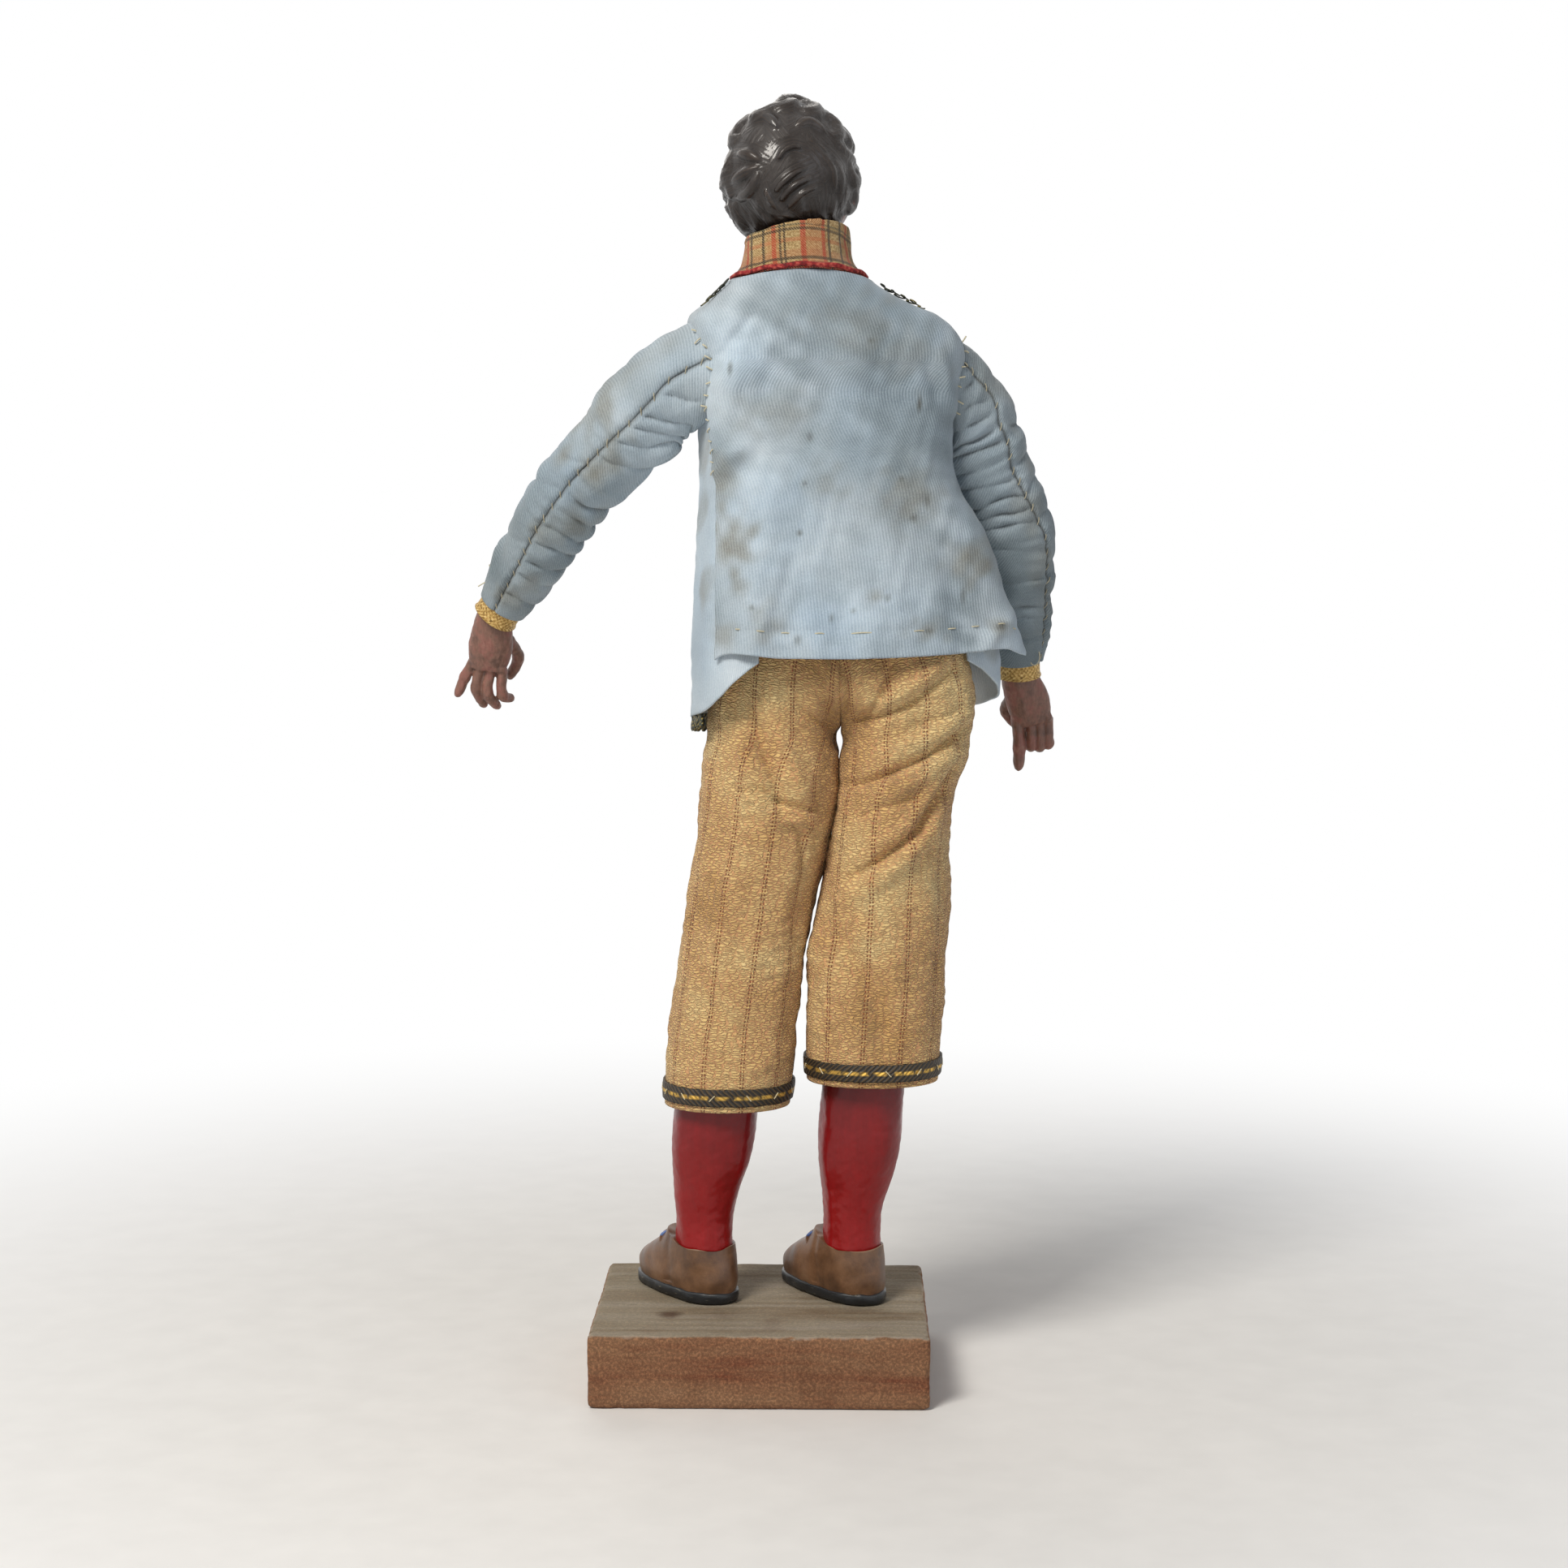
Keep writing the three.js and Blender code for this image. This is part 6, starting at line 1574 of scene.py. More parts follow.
def sleeve_rings(side, count):
    """Middles, two cross directions and half sizes of the sleeve at even shares of its length."""
    points, sign = sleeve_line(side)
    middle = curved(points, count)
    share = np.linspace(0, 1, count)
    upright = (1 - ease(share, 0.02, 0.3))[:, None]
    way = unit(np.gradient(middle, axis=0))
    way = unit(way * (1 - upright) + LEFTWARD * sign * upright)
    first = unit(BACKWARD - way * (way @ BACKWARD)[:, None])
    lower = [(0.4, 13), (0.6, 12.3), (0.82, 10.8), (1, 8)]
    tall = through((0, 16.5), (0.1, 16.5), (0.25, 15), *lower)(share)
    deep = through((0, 12.5), (0.25, 13), *lower)(share)
    return middle, first, np.cross(way, first), deep, tall


def cut_out(piece, gone):
    """Deletes the marked points of a mesh."""
    shape = bmesh.new()
    shape.from_mesh(piece.data)
    shape.verts.ensure_lookup_table()
    bmesh.ops.delete(shape, geom=[shape.verts[i] for i in np.nonzero(gone)[0]], context="VERTS")
    shape.to_mesh(piece.data)
    shape.free()


def opened_at(piece, side):
    """Cuts away what lies well inside a sleeve, leaving the armhole."""
    middle, first, second, deep, tall = sleeve_rings(side, 60)
    at = places(piece)
    gone = np.zeros(len(at), bool)
    for k in range(30):
        away = at - middle[k]
        level = np.abs(away @ np.cross(first[k], second[k])) < 1.1
        kept = np.where(away[:, 2] < 0, 4.4, 1.4)
        reach = np.hypot(away @ first[k] / (deep[k] - 1.4), away @ second[k] / (tall[k] - kept))
        gone |= level & (reach < 1)
    cut_out(piece, gone)


BACK_FOLDS = [
    ([(13, 309), (3, 318), (-6, 329)], 4.5, 1.2),
    ([(5, 303), (-5, 312), (-14, 324)], 4, -0.4),
    ([(15, 319), (10, 323), (3, 332)], 1.8, -0.9),
    ([(15, 286), (10, 290), (4, 294)], 2.4, 1.0),
    ([(14, 281), (8, 284), (2, 289)], 2.4, -0.8),
    ([(-61, 305), (-58, 312), (-55, 324)], 2.2, 1.1),
    ([(-57, 303), (-54, 311), (-50, 322)], 2.6, -1.0),
    ([(-30, 306), (-39, 294), (-52, 278), (-66, 255)], 6, 1.1),
    ([(-44, 312), (-54, 296), (-64, 276)], 5, -1.0),
    ([(-21, 268), (-23, 248), (-26, 231)], 5, -0.9),
    ([(-2, 286), (-4, 262), (-3, 236)], 6, 0.8),
    ([(-38, 268), (-43, 252), (-46, 232)], 5, 0.9),
    ([(-56, 262), (-60, 248), (-62, 232)], 4, -0.9),
    ([(-69, 231), (-74, 237), (-79, 242)], 2.6, 1.2),
    ([(12, 270), (11, 252), (9, 232)], 4, -0.7),
    ([(2, 232), (0, 238), (-2, 244)], 2.4, 0.7),
]
BACK_STAINS = [
    (12, 283, 6, 8, 0.95), (9, 264, 7, 8, 0.95), (6, 251, 3, 3, 0.7), (-20, 282, 6, 5, 0.45),
    (-46, 278, 9, 8, 0.65), (-66, 259, 8, 6, 1.0), (-4, 304, 11, 6, 0.4), (-2, 240, 6, 6, 0.65),
    (-52, 238, 5, 3, 0.7), (-74, 238, 3.5, 3, 0.9), (-35, 248, 2.5, 2, 0.6), (-63, 262, 4, 3, 0.6),
    (-30, 330, 16, 9, 0.45), (-46, 322, 12, 8, 0.4), (12, 236, 5, 4, 0.5),
]
# Greyer patches: dust, and painted shade on the back's right side and upper middle.
BACK_DUST_AND_SHADE = [
    (-48, 302, 22, 32, 0.42), (-70, 268, 9, 30, 0.35), (-29, 288, 9, 16, 0.3), (-18, 321, 11, 14, 0.5),
    (-44, 322, 18, 15, 0.5), (9, 290, 6, 10, 0.3), (-40, 274, 14, 9, 0.3), (-57, 241, 9, 8, 0.45),
    (-64, 246, 8, 10, 0.5), (-20, 338, 30, 11, 0.45), (16, 240, 4, 10, 0.2)]
# Paler patches: painted light where the lamp falls on the lower middle and the left shoulder blade.
BACK_PAINTED_LIGHT = [
    (8, 325, 6, 8, 0.35), (0, 321, 6, 9, 0.3), (-12, 288, 7, 7, 0.2), (-1, 279, 8, 7, 0.3),
    (-4, 262, 9, 8, 0.35), (-12, 256, 8, 9, 0.28), (-16, 242, 10, 8, 0.32), (-31, 242, 10, 7, 0.35)]
BACK_SPOTS = [
    (-15.4, 296.4, 1.1, 1.5, 0.5), (-12.3, 267.5, 0.9, 0.9, 0.65), (-13.8, 282.5, 0.7, 0.7, 0.5),
    (2.2, 244.8, 0.8, 0.9, 0.45), (-28.7, 244, 0.8, 0.8, 0.4), (-22.1, 241.9, 0.7, 1.3, 0.5),
    (-49.1, 306.9, 0.7, 2.4, 0.8), (-63.1, 248.5, 0.9, 2.4, 0.5), (-39.1, 247.7, 0.7, 1.3, 0.6),
    (-74.4, 238.2, 1.6, 1.3, 0.7), (-47, 272, 1.2, 1, 0.5), (-43, 284, 1, 1, 0.5), (-51, 277, 0.9, 2, 0.45),
    (-52, 237.5, 1.4, 0.9, 0.6), (-11.7, 235.2, 1.2, 1.6, 0.5), (-34, 326, 1, 0.9, 0.5),
    (8.5, 317, 0.8, 2, 0.6)]
columns, rows = 170, 180
back = cloth("jacket_back_cloth", columns, rows, back_place, inside=np.array([-20.0, -30.0, 290.0]))
at = places(back)
folded = 1.25 * ridges(at[:, [0, 2]], BACK_FOLDS)
folded += 0.5 * wander(at * [1, 1, 0.55], 21, 61) + 0.12 * wander(at, 7, 62)
above_hem = at[:, 2] - SOLES - BACK_HEM
folded -= 0.35 * np.exp(-(((above_hem - 8) / 1.2) ** 2))
folded += 0.3 * np.exp(-((above_hem / 1.6) ** 2))
flat = at[:, [0, 2]]
# The grey share adds dust and painted shade and takes away painted light.
marked(
    back, stain=blots(flat, BACK_STAINS, 64), spot=blots(flat, BACK_SPOTS, 65),
    wear=0.28 + 0.12 * wander(at, 26, 66) + blots(flat, BACK_DUST_AND_SHADE, 68) - blots(flat, BACK_PAINTED_LIGHT, 69))
fade_top = 1 - 0.8 * ease(at[:, 2], 334, 344)
pushed(back, folded * fade_top)
back_surface = places(back).reshape(rows + 1, columns + 1, 3)
back_outward = normals(back).reshape(rows + 1, columns + 1, 3)
for side in SIDES:
    opened_at(back, side)
thickened(back, JACKET_CLOTH)
dressed(back, ribbed, "torso", "jacket_cloth", "jacket_back")
hem_runs = []
for column in (22, 37, 50, 66, 80, 97, 112, 124, 139, 152):
    run = np.array([(12, column + step) for step in range(-2, 3)])
    lift = np.array([-0.1, 0.2, 0.3, 0.2, -0.1])[:, None]
    hem_runs.append(back_surface[run[:, 0], run[:, 1]] + back_outward[run[:, 0], run[:, 1]] * lift)
cotton = new_material("cotton_thread", Base_Color="#cdc6ac", Roughness=0.85)
dressed(threads("hem_stitches", hem_runs, 0.2), cotton, "torso", "jacket_cloth", "jacket_back")
side_runs = []
for row in range(88, 140, 5):
    edge, out = back_surface[row, 0], back_outward[row, 0]
    inward = unit(back_surface[row, 4] - edge)
    slant = np.array([0, 0, 0.5 if row % 2 else -0.4])
    side_runs.append([
        edge + inward * (1.4 - 1.9 * t) + slant * (t - 0.5) * 2 + out * (0.1 + 0.45 * math.sin(math.pi * t))
        for t in np.linspace(0, 1, 6)])
dressed(threads("side_seam_stitches", side_runs, 0.19), cotton, "torso", "jacket_cloth", "jacket_back")

for side, sign in SIDES.items():
    front = cloth(f"jacket_{side}_front_cloth", 120, 170, partial(front_place, sign), inside=TRUNK_MIDDLE)
    at = places(front)
    folded = 0.45 * wander(at * [1, 1, 0.45], 20, 63 + sign) + 0.12 * wander(at, 7, 62)
    folded *= 1 - ease(at[:, 2], 334, 344)
    pushed(front, np.minimum(folded, 0.6))
    marked(
        front, stain=0.55 * ease(wander(at, 24, 67 + sign), 0.25, 1.1), spot=0 * folded,
        wear=0.05 + 0.3 * ease(at[:, 2], 300, 338) + 0.1 * wander(at, 26, 66))
    opened_at(front, side)
    thickened(front, JACKET_CLOTH)
    dressed(front, ribbed, "torso", "jacket_cloth", f"jacket_{side}_front")


# Sleeves
# Each sleeve is one strip of the jacket's cloth closed along the back of the arm by a whipped seam that
# puckers it, and sewn into the armhole. Soft folds gather under the arm and at the elbow. It is made
# in two parts that meet above the elbow.
SLEEVE_CUT = 0.36
SEAMS = {
    "left": through(
        (0, 13), (0.14, 12), (0.2, 7), (0.33, 17), (0.45, 18), (0.54, 20), (0.63, 24), (0.71, 27),
        (0.83, 23), (1, 21)),
    "right": through(
        (0, -36), (0.13, -27), (0.18, -30), (0.225, -19), (0.275, -22), (0.335, -15), (0.4, -15),
        (0.46, -15), (0.53, -21), (0.6, -32), (0.7, -38), (0.88, -39), (1, -46))}
# Creases run from the seam round the arm. Each is a depth and points of (degrees from the back,
# millimetres from the armhole); the first set lies above the seam and the second below it.
CREASES = {
    "left": (
        [
            (0, (20, 3), (90, 3)), (0.1, (30, 13), (69, 11.8), (90, 11)),
            (0.25, (20, 20), (46, 21.5), (93, 23)), (0.15, (20, 36), (56, 37), (94, 39.5)),
            (0.5, (20, 48.5), (33, 50), (63, 53), (95, 54)), (0.4, (22, 58.6), (46, 60.7), (96, 65)),
            (0.2, (20, 80), (90, 84)), (0, (20, 108), (90, 108))],
        [
            (0, (-90, -3), (-60, -1), (0, 3)),
            (1.0, (-60, 2.5), (-32, 6), (-22, 10.7), (-7, 15), (4, 18.3)),
            (1.4, (-60, 9.5), (-50, 12), (-26, 19.5), (-6, 23.2), (9, 25.6)),
            (1.2, (-70, 14.5), (-58, 17.2), (-32, 23.4), (-9, 27), (12, 29.7)),
            (1.1, (-70, 19.5), (-54, 22), (-42, 26), (-27, 30.5), (-2, 34), (16, 36)),
            (0.8, (-80, 37), (-56, 37.6), (-27, 39.4), (2, 42.5)),
            (1.5, (-80, 57), (-40, 58.2), (-21, 59), (-2, 58.6), (15, 57.5)),
            (1.3, (-78, 66.6), (-34, 65), (-2, 64.2), (16, 64.4)),
            (1.1, (-57, 73.6), (-20, 71), (6, 70.4), (24, 71.2)),
            (0.9, (-60, 79), (-32, 77.6), (-10, 77.2), (27, 78)),
            (1.0, (-60, 84.5), (-9, 84.9), (18, 85.5)), (0.8, (-60, 91.5), (-9, 90.8), (20, 90)),
            (0.9, (-60, 100.5), (-18, 99), (20, 99)), (0, (-60, 108), (20, 108))]),
    "right": (
        [
            (0, (-30, 4), (60, -5)), (1.3, (-30, 12.5), (-14, 11.3), (9, 6.7), (32, 2.1), (60, 0)),
            (0.9, (-22, 18), (9, 12.3), (40, 5), (60, 3)), (0.9, (-18, 21), (15, 17), (46, 10), (60, 8)),
            (1.3, (-20, 24.4), (20, 23), (44, 19.5), (60, 18)),
            (1.2, (-20, 28), (22, 26.8), (45, 26), (60, 25.5)), (0.8, (-16, 33.4), (22, 33.4), (53, 33)),
            (0.9, (-15, 41), (26, 39), (58, 38)), (1.4, (-15, 47.3), (9, 44.8), (33, 44.3), (60, 45.3)),
            (1.1, (-15, 51), (12, 50.4), (33, 48.9), (58, 49)), (0.9, (-18, 55), (24, 53.6), (51, 53.4)),
            (0.5, (-30, 63), (40, 62)), (0.7, (-30, 73), (-3, 73), (21, 73.6)),
            (1.0, (-38, 82.8), (-9, 82.3), (15, 81.8)), (0.9, (-36, 86.6), (-9, 86), (10, 85.2)),
            (0.7, (-44, 93), (4, 93)), (0, (-44, 104), (4, 104))],
        [
            (0, (-90, 3), (-30, 4)), (0.3, (-90, 9.5), (-40, 10.5)), (0.6, (-90, 17.5), (-30, 18)),
            (0.8, (-90, 28.5), (-25, 25.5)), (0.4, (-90, 36), (-20, 37)),
            (0.6, (-90, 46), (-44, 45), (-20, 47)), (0.4, (-90, 55.5), (-30, 54.5)),
            (0.3, (-90, 70), (-40, 67)), (0.3, (-90, 82), (-45, 80)), (0, (-90, 104), (-50, 104))])}
SLEEVE_STAINS = {
    "left": [
        (44, 1, 9, 5, 1.0), (52, 12, 3.5, 3.5, 0.7), (30, 14, 13, 7, 0.75), (38, 17, 9, 6, 0.7),
        (66, -4, 6, 4.5, 0.75), (72, 3, 6, 4, 0.7), (20, 12, 9, 6, 0.5), (60, -12, 6, 5, 0.6),
        (100, 2, 5, 5, 0.6), (92, -2, 5, 4, 0.5)],
    "right": [
        (15, -12, 9, 6, 0.6), (50, -3, 7, 5, 0.65), (68, -5, 7, 5, 0.5), (40, -11, 7, 5, 0.5),
        (82, -8, 9, 5, 0.4)]}
sleeve_thread = new_material("sleeve_thread", Base_Color="#b3ab92", Roughness=0.85)


def bagged(along, turn, creases, fullness):
    """Heights of cloth that bags out between creases and drops sharply into each one."""
    lines = [through(*points)(turn) for _, *points in creases]
    total = np.zeros(len(along))
    for k in range(len(creases) - 1):
        gap = np.maximum(lines[k + 1] - lines[k], 1)
        since, left = along - lines[k], lines[k + 1] - along
        bag = fullness * gap * np.sin(np.pi * np.clip(since / gap, 0, 1))
        drop = 1.35 * (creases[k][0] * np.exp(-since / 0.95) + creases[k + 1][0] * np.exp(-left / 0.95))
        total = np.where((since >= 0) & (left > 0), bag - drop, total)
    return total


def softened_cut(piece, spots, directions):
    """Gives the points at the cut the normals of the whole sleeve, so that the two parts shade as one."""
    kept = np.zeros((len(piece.data.vertices), 3), np.float32)
    kept[spots] = directions
    piece.data.normals_split_custom_set_from_vertices(kept.tolist())


for side, sign in SIDES.items():
    columns, rows = 140, 216
    middle, first, second, deep, tall = sleeve_rings(side, rows + 1)
    share = np.linspace(0, 1, rows + 1)
    seam = np.radians(SEAMS[side](share))

    def sleeve_place(across, up):
        row = np.rint(up * rows).astype(int)
        angle = seam[row] + across * 2 * math.pi
        out = first[row] * (np.cos(angle) * deep[row])[:, None]
        out = out + second[row] * (np.sin(angle) * tall[row])[:, None]
        tucked = LEFTWARD * sign * -1.8
        return middle[row] + out + tucked * (1 - ease(up, 0, 0.05))[:, None]

    sleeve = cloth(f"{side}_sleeve_cloth", columns, rows, sleeve_place, turned=True)
    at = places(sleeve)
    grid_share = np.repeat(share, columns + 1)
    angle = np.tile(np.linspace(0, 2 * math.pi, columns + 1), rows + 1) + np.repeat(seam, columns + 1)
    around = np.tile(np.linspace(0, 1, columns + 1), rows + 1)
    length = np.linalg.norm(np.diff(middle, axis=0), axis=1).sum()
    along = grid_share * length
    draw = np.random.default_rng(71 if side == "left" else 72)
    turn = np.degrees(angle) - np.where(around < 0.5, 0, 360)
    above, below = CREASES[side]
    fading = 0.75 + 0.35 * wander(np.c_[along * 0.6, turn * 0.21], 13, 76)
    folds = bagged(along, turn, above, 0.045) * ease(around, 0, 0.035) * (1 - 0.8 * ease(around, 0.3, 0.5))
    lower_folds = bagged(along, turn, below, 0.075) * ease(1 - around, 0, 0.035)
    folds += lower_folds * (1 - 0.8 * ease(1 - around, 0.36, 0.5))
    folds *= fading
    near_seam = np.minimum(around, 1 - around) * 2 * math.pi * deep.mean()
    pucker = np.zeros(len(at))
    for k in range(int(length / 4)):
        spot = 4 * k + 2 + draw.normal() * 0.5
        reach = draw.uniform(3.5, 9) * np.where((around < 0.5) == (side == "left"), 0.8, 1.25)
        pucker += draw.uniform(0.3, 0.75) * np.exp(-((along - spot) / 1.25) ** 2 - (near_seam / reach) ** 2)
    valley = -0.75 * np.exp(-((near_seam / 0.85) ** 2))
    ends = ease(grid_share, 0.03, 0.14) * (1 - 0.75 * ease(grid_share, 0.93, 1.0))
    lift = folds * ends + pucker * (0.3 + 0.7 * ends) + valley + 0.22 * wander(at, 9, 73) * ends
    outward = normals(sleeve).reshape(rows + 1, columns + 1, 3)
    outward[:, [0, -1]] = (outward[:, :1] + outward[:, -1:]) / 2
    move_to(sleeve, at + outward.reshape(-1, 3) * lift[:, None])
    spread = np.c_[along, turn * 0.21]
    # Grey from dust, with painted shade: more on the right sleeve and towards the forearm, which turn away
    # from the lamp.
    dust_and_painted_shade = (0.42 if side == "left" else 0.66) + 0.35 * ease(grid_share, 0.35, 0.75)
    # The sleeve's dark share is painted shade in the hollows of its folds, with a dark line along the seam.
    marked(
        sleeve, stain=blots(spread, SLEEVE_STAINS[side], 74),
        spot=np.maximum(0.5 * ease(-lift, 0.2, 1.5), 0.6 * np.exp(-((near_seam / 0.5) ** 2))),
        wear=dust_and_painted_shade + 0.12 * wander(at, 20, 75))
    shape_points = places(sleeve).reshape(rows + 1, columns + 1, 3)
    smooth_normals = normals(sleeve).reshape(rows + 1, columns + 1, 3)
    smooth_normals[:, [0, -1]] = (smooth_normals[:, :1] + smooth_normals[:, -1:]) / 2
    panel = search_tree(back_surface.reshape(-1, 3))
    armhole_runs = []
    for column in range(0, columns, 5):
        if math.cos(seam[0] + column / columns * 2 * math.pi) < 0.05:
            continue
        gaps = [panel.find(spot)[2] for spot in shape_points[:50, column]]
        row = int(np.argmin(gaps))
        if gaps[row] > 1.0:
            continue
        here, out = shape_points[row, column], unit(smooth_normals[row, column] + BACKWARD * 0.6)
        run = LEFTWARD * sign + np.array([0, 0, draw.normal() * 0.5])
        reach = draw.uniform(0.7, 1.5)
        armhole_runs.append([
            here + run * reach * (1.9 * t - 0.8) + out * (0.1 + 0.75 * math.sin(math.pi * t))
            for t in np.linspace(0, 1, 6)])
    dressed(
        threads(f"{side}_armhole_stitches", armhole_runs, 0.24), cotton, "torso", "jacket_cloth",
        "jacket_back")
    cut_row = int(round(SLEEVE_CUT * rows))
    shoulder, elbow, wrist = ARMS[side]
    upper_way = unit(elbow - shoulder)
    lower_way = unit(wrist - elbow)
    bends = {
        "top": (shoulder - upper_way * 9, shoulder + upper_way * 16),
        "lower": (elbow - upper_way * 11, elbow + lower_way * 11),
    }
    for part, low, high, body, next_body in [
        ("top", 0, cut_row, "torso", f"{side}_upper_arm"),
        ("lower", cut_row, rows, f"{side}_upper_arm", f"{side}_forearm"),
    ]:
        start, end = bends[part]
        piece = sleeve.copy()
        piece.data = sleeve.data.copy()
        bpy.context.scene.collection.objects.link(piece)
        piece.name = piece.data.name = f"{side}_sleeve_{part}"
        rows_of = np.repeat(np.arange(rows + 1), columns + 1)
        cut_out(piece, (rows_of < low) | (rows_of > high))
        cut_ring = smooth_normals[cut_row, :-1]
        sewn(piece)
        thickened(piece, JACKET_CLOTH)
        tree = search_tree(places(piece))
        softened_cut(piece, [tree.find(spot)[1] for spot in shape_points[cut_row, :-1]], cut_ring)
        piece.data.materials.clear()
        piece.data.materials.append(ribbed)
        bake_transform(piece)
        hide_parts(f"{side}_sleeve")
        runs = []
        spot = 2.0
        while spot < length - 1:
            row = int(round(spot / length * rows))
            if low <= row < high or (row == high == rows):
                here, out = shape_points[row, 0], smooth_normals[row, 0]
                run = unit(shape_points[min(row + 1, rows), 0] - shape_points[max(row - 1, 0), 0])
                slant = unit(run * 0.8 + np.cross(out, run) * 0.9 * sign)
                runs.append([
                    here + slant * s * 1.35 + out * (0.72 - 0.5 * s * s) for s in np.linspace(-1, 1, 7)])
            spot += 4.0 + 0.5 * math.sin(spot * 7)
        seam_threads = threads(f"{side}_sleeve_{part}_stitches", runs, 0.14)
        seam_threads.data.materials.append(sleeve_thread)
        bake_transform(seam_threads)
    bpy.data.objects.remove(sleeve)

# Cuffs
# A gold woven ribbon lines the end of each sleeve and shows below it.
ribbon = new_material("gold_ribbon", Roughness=0.55, Metallic=0.25)
measure = node(ribbon, "UVMap")
basket = node(ribbon, "TexChecker", Scale=1.25, Vector=measure, output="Fac")
grain = node(ribbon, "TexNoise", noise_dimensions="2D", Scale=1.1, Detail=3, Vector=measure)
gold = node(ribbon, "ValToRGB", grain, stops=[(0.3, "#8d6d35"), (0.5, "#bd9a58"), (0.7, "#dcbc7c")])
woven = node(ribbon, "MixRGB", blend_type="SOFT_LIGHT", Fac=0.5, Color1=gold, Color2=basket)
thread_bump = node(ribbon, "Bump", Strength=0.6, Distance=0.0003, Height=basket)
put(ribbon, Base_Color=woven, Normal=thread_bump)
for side, (_, elbow, wrist) in ARMS.items():
    axis = unit(elbow - wrist)
    foot = wrist + (elbow - wrist) * 0.1
    first = unit(BACKWARD - axis * (axis @ BACKWARD))
    second = np.cross(axis, first)

    def cuff_place(across, up):
        angle = across * 2 * math.pi
        along = -5 + 10 * up
        half = 7.05 + 0.25 * np.sin(3 * angle + 1) * (1 - up) - 0.4 * ease(up, 0, 0.1) + 0.4
        out = np.outer(np.cos(angle) * half, first)
        return foot + np.outer(along, axis) + out + np.outer(np.sin(angle) * half, second)

    cuff = sewn(cloth(f"{side}_cuff_ribbon", 90, 16, cuff_place))
    thickened(cuff, 0.5)
    dressed(cuff, ribbon, f"{side}_forearm", "gold_ribbon", f"{side}_cuff")


# Front braid
# A strip of metallic lace, dark with age, sewn down each front edge of the jacket and turned along
# the foot of the left front, where it hangs a little below the hem.
LACE_FOOT = 185.5
lace = new_material("tarnished_metal_lace", Metallic=0.35, Roughness=0.5)
measure = node(lace, "UVMap")
cells = node(lace, "TexVoronoi", voronoi_dimensions="2D", Scale=0.8, Vector=measure)
green = node(lace, "ValToRGB", cells, stops=[(0.1, "#a08c50"), (0.3, "#5c583a"), (0.55, "#262a20")])
knots = node(lace, "Bump", Strength=0.9, Distance=0.0008, Height=cells)
put(lace, Base_Color=green, Normal=knots)
for side, sign in SIDES.items():
    def strip_place(across, up):
        height = LACE_FOOT + up * (neckline(np.array(math.radians(FRONT_EDGE))) - 1 - LACE_FOOT)
        angle = FRONT_EDGE + 1 + 7 * across
        return jacket_place(np.radians(angle if sign > 0 else 180 - angle), height, -1.15)

    strip = cloth(f"{side}_front_braid_lace", 10, 170, strip_place, inside=TRUNK_MIDDLE)
    pushed(strip, 0.25 * wander(places(strip), 3, 81))
    thickened(strip, 0.8)
    dressed(strip, lace, "torso", "lace_braid", f"{side}_front_braid")


def foot_place(across, up):
    """The lace hangs a little below the left front's hem, on its inner face."""
    hem = front_place(1, 0.42 + 0.57 * across, 0 * up)
    inward = [-20, 0, 0] - hem
    inward[:, 2] = 0
    inward = unit(inward)
    hang = 5.4 * up - 4 + 0.5 * np.sin(across * 75) * (1 - up)
    return hem + inward * 0.95 + np.outer(hang, [0, 0, 1])


foot = cloth("left_foot_lace", 110, 10, foot_place, inside=np.array([-20.0, 0.0, 210.0]))
pushed(foot, 0.2 * wander(places(foot), 3, 82))
thickened(foot, 0.6)
dressed(foot, lace, "torso", "lace_braid", "left_front_braid")


# Shoulder lace
# A gathered end of the same lace lies along each shoulder seam beside the collar, in small loops.
for side, sign in SIDES.items():
    share = np.linspace(0, 1, 320)
    path = jacket_place(np.full(320, 0.12 if sign > 0 else math.pi - 0.12), 320.5 - 6.5 * share, -1.0)
    run = unit(np.gradient(path, axis=0))
    turn = share * 2 * math.pi * 8
    swing = 1.1 + 0.45 * np.sin(share * 19 + sign) + 0.25 * np.sin(share * 47)
    loops = path + run * (np.cos(turn) * swing)[:, None] + BACKWARD * (np.sin(turn) * swing * 0.8)[:, None]
    loops[:, 2] += 0.4 * np.sin(turn * 0.5) + 0.5
    dressed(
        threads(f"{side}_shoulder_lace", [loops], 0.22), lace, "torso", "lace_braid", f"{side}_front_braid")

# Loose threads
# The end of the sewing thread is knotted at the left cuff and hangs in a loop at the right one.
_, elbow, wrist = ARMS["left"]
knot = wrist + (elbow - wrist) * 0.16 + np.array([5.6, 4.0, 5.0])
ends = [
    knot + np.array([(-2.5, 0.2, -2.2), (-1, 0.5, -0.8), (0, 0.4, 0), (1.4, 0.3, -0.2), (3.4, 0.1, -1.4)]),
    knot + np.array([(0, 0.4, 0), (0.2, 0.6, 1.8), (-0.6, 0.5, 4.2), (-0.3, 0.3, 5.6)]),
    [knot + np.array([0.7 * math.cos(t), 0.4, 0.7 * math.sin(t)]) for t in np.linspace(0, 9, 24)],
]
dressed(threads("left_cuff_knot", ends, 0.2), cotton, "left_forearm", "jacket_cloth", "left_cuff")
_, elbow, wrist = ARMS["right"]
loop = wrist + (elbow - wrist) * 0.14 + np.array([-4.5, 6.6, 1.0])
ends = [[
    loop + np.array([1.5 * math.cos(t) - 0.5, 0.5, 2.2 * math.sin(t) - 0.4 * t])
    for t in np.linspace(0, 7.5, 30)]]
dressed(threads("right_cuff_loop", ends, 0.18), cotton, "right_forearm", "jacket_cloth", "right_cuff")


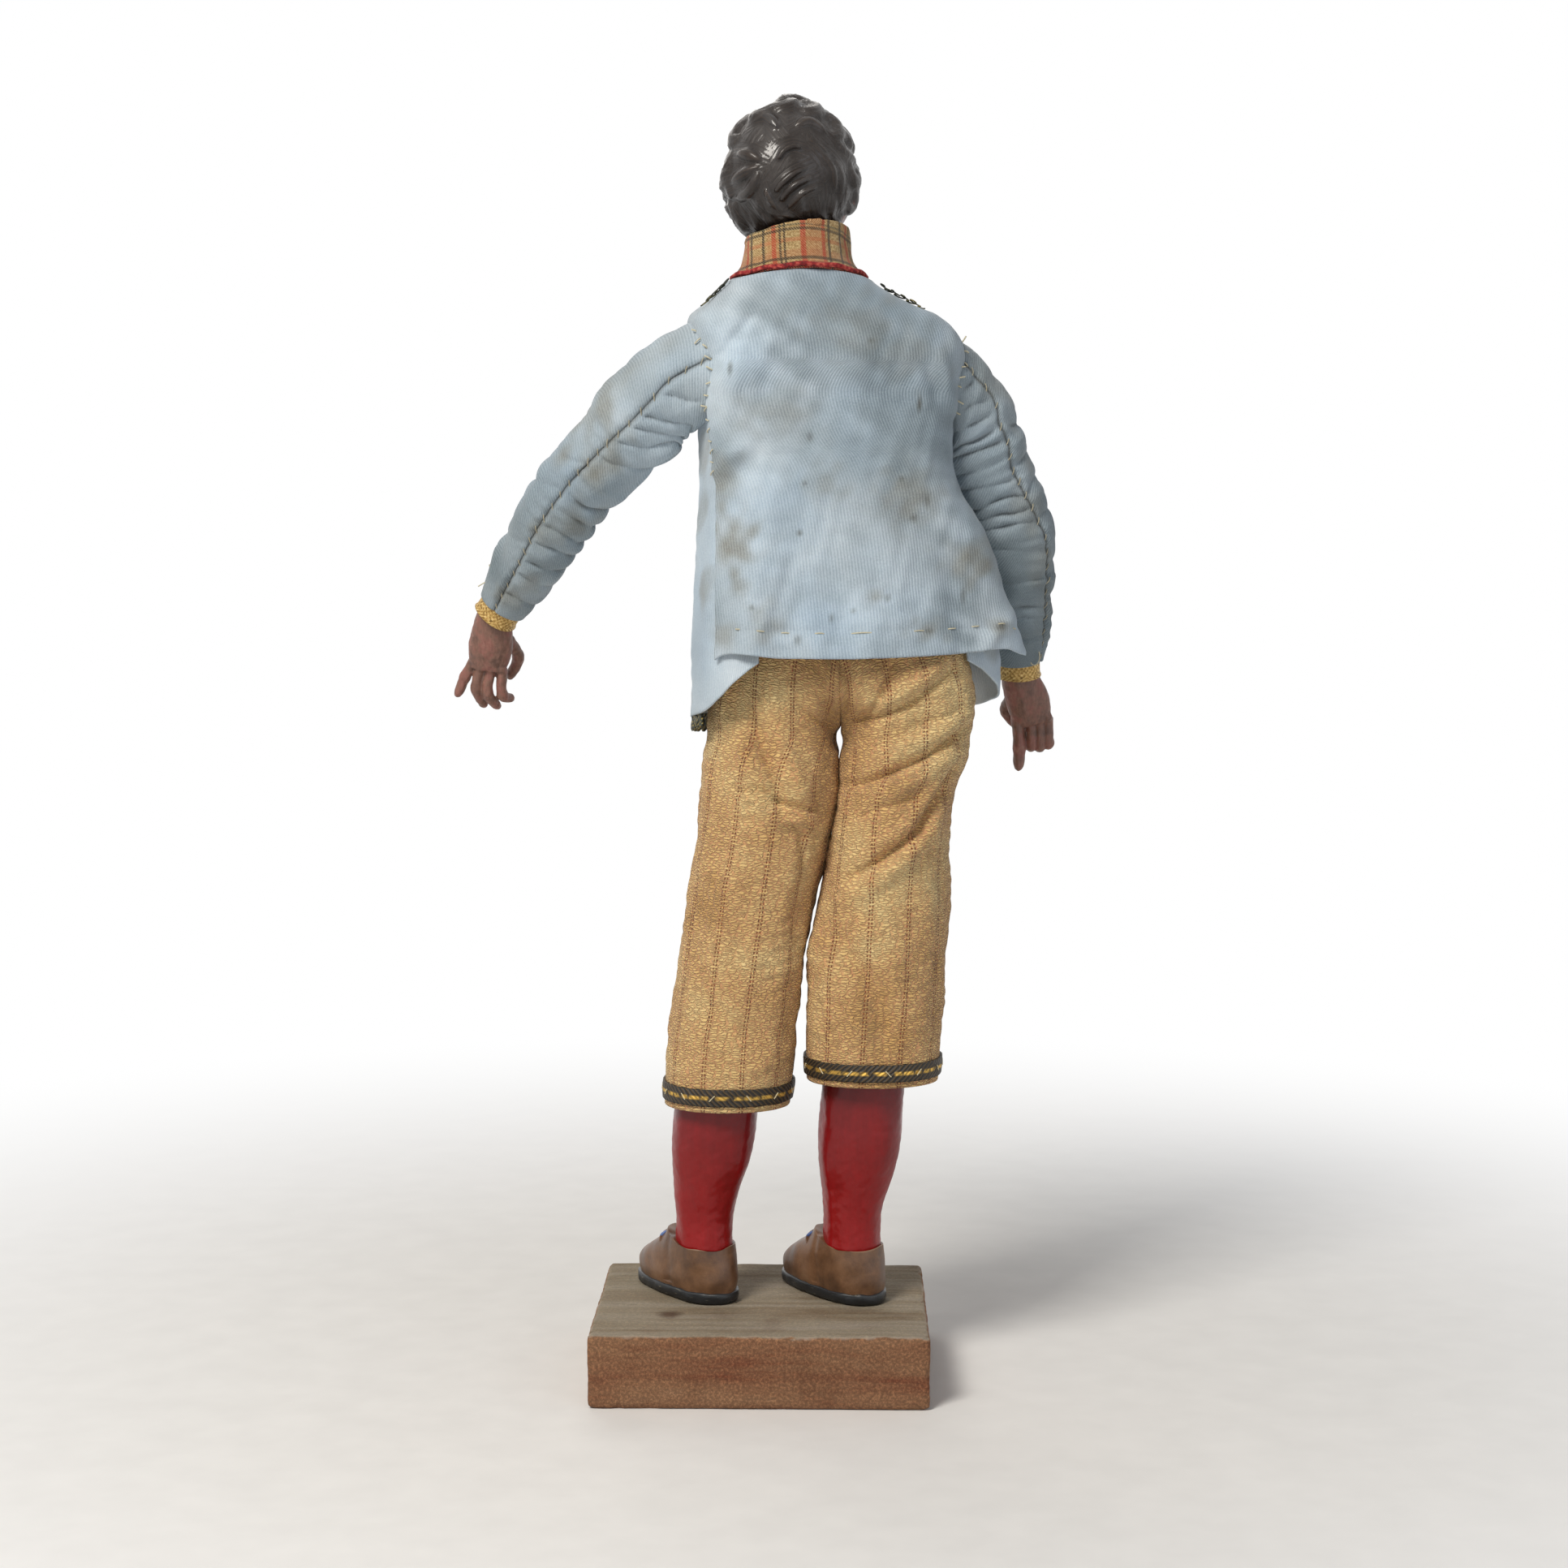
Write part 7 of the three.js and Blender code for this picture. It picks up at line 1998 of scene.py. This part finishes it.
# Floor, light and camera
# A plain pale studio floor, one large soft lamp from the upper left, a weaker one from the right
# and an even surrounding light. The camera stands behind the figure, a little above its middle.
CAMERA_PLACE = Vector((-0.02325, 0.8622, 0.2685))
CAMERA_YAW = 0.0188
CAMERA_PITCH = 0.0923
CAMERA_LENS = 63.08

floor = started("floor", bpy.ops.mesh.primitive_circle_add, vertices=96, radius=60, fill_type="NGON")
paper = new_material("pale_studio_paper", Roughness=0.9)
place = node(paper, "TexCoord", output="Object")
tooth = node(paper, "TexNoise", Scale=60, Detail=3, Vector=place)
tone = node(paper, "ValToRGB", tooth, stops=[(0.3, "#efeeec"), (0.7, "#f4f3f1")])
put(paper, Base_Color=tone)
away = node(paper, "VectorMath", place, operation="LENGTH", output="Value")
far = node(paper, "MapRange", interpolation_type="SMOOTHSTEP", From_Min=0.1, From_Max=0.6, Value=away)
rays = node(paper, "LightPath").node.outputs
mirrored = node(paper, "Math", rays["Is Glossy Ray"], rays["Is Transmission Ray"], operation="MAXIMUM")
looked_at = node(paper, "Math", rays["Is Camera Ray"], mirrored, operation="MAXIMUM")
white_share = node(paper, "Math", far, looked_at, operation="MULTIPLY")
white = node(paper, "Emission", Color="#ffffff", Strength=1.0)
mixed = node(paper, "MixShader", white_share, paper.node_tree.nodes["Principled BSDF"].outputs[0], white)
paper.node_tree.links.new(mixed, paper.node_tree.nodes["Material Output"].inputs["Surface"])
floor.data.materials.append(paper)
floor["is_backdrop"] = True

for name, place, size, power, colour in [
    ("key_lamp", (0.5, 0.8, 1.1), 0.4, 13.0, "#fffaf2"),
    ("fill_lamp", (-0.9, 0.9, 0.5), 0.7, 1.4, "#eaf1ff"),
    ("front_lamp", (0.3, -1.1, 0.9), 0.9, 3.5, "#fff8ef"),
]:
    bpy.ops.object.select_all(action="DESELECT")
    bpy.ops.object.light_add(type="AREA", location=place)
    lamp = bpy.context.object
    lamp.name = name
    lamp.data.size = size
    lamp.data.energy = power
    lamp.data.color = linear(colour)[:3]
    lamp.rotation_mode = "QUATERNION"
    lamp.rotation_quaternion = (Vector((0, 0, 0.2)) - Vector(place)).to_track_quat("-Z", "Y")

world = bpy.data.worlds.new("studio")
bpy.context.scene.world = world
world.use_nodes = True
sky = world.node_tree.nodes["Background"]
rays = node(world, "LightPath").node.outputs
mirrored = node(world, "Math", rays["Is Glossy Ray"], rays["Is Transmission Ray"], operation="MAXIMUM")
seen = node(world, "Math", rays["Is Camera Ray"], mirrored, operation="MAXIMUM")
bright = node(world, "MapRange", To_Min=0.22, To_Max=1.0, Value=seen)
sky.inputs["Color"].default_value = linear("#ffffff")
world.node_tree.links.new(bright, sky.inputs["Strength"])
bpy.context.scene.view_settings.view_transform = "Standard"

camera_data = bpy.data.cameras.new("camera")
camera = bpy.data.objects.new("camera", camera_data)
bpy.context.scene.collection.objects.link(camera)
camera_data.lens = CAMERA_LENS
camera_data.sensor_width = 36
camera_data.clip_start = 0.01
forward = Vector((
    math.sin(CAMERA_YAW) * math.cos(CAMERA_PITCH),
    -math.cos(CAMERA_YAW) * math.cos(CAMERA_PITCH),
    -math.sin(CAMERA_PITCH),
))
camera.location = CAMERA_PLACE
camera.rotation_euler = forward.to_track_quat("-Z", "Y").to_euler()
bpy.context.scene.camera = camera

boxes = {"cad": cad_box, "visual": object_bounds()}
{name: [list(corner) for corner in box] for name, box in boxes.items()}
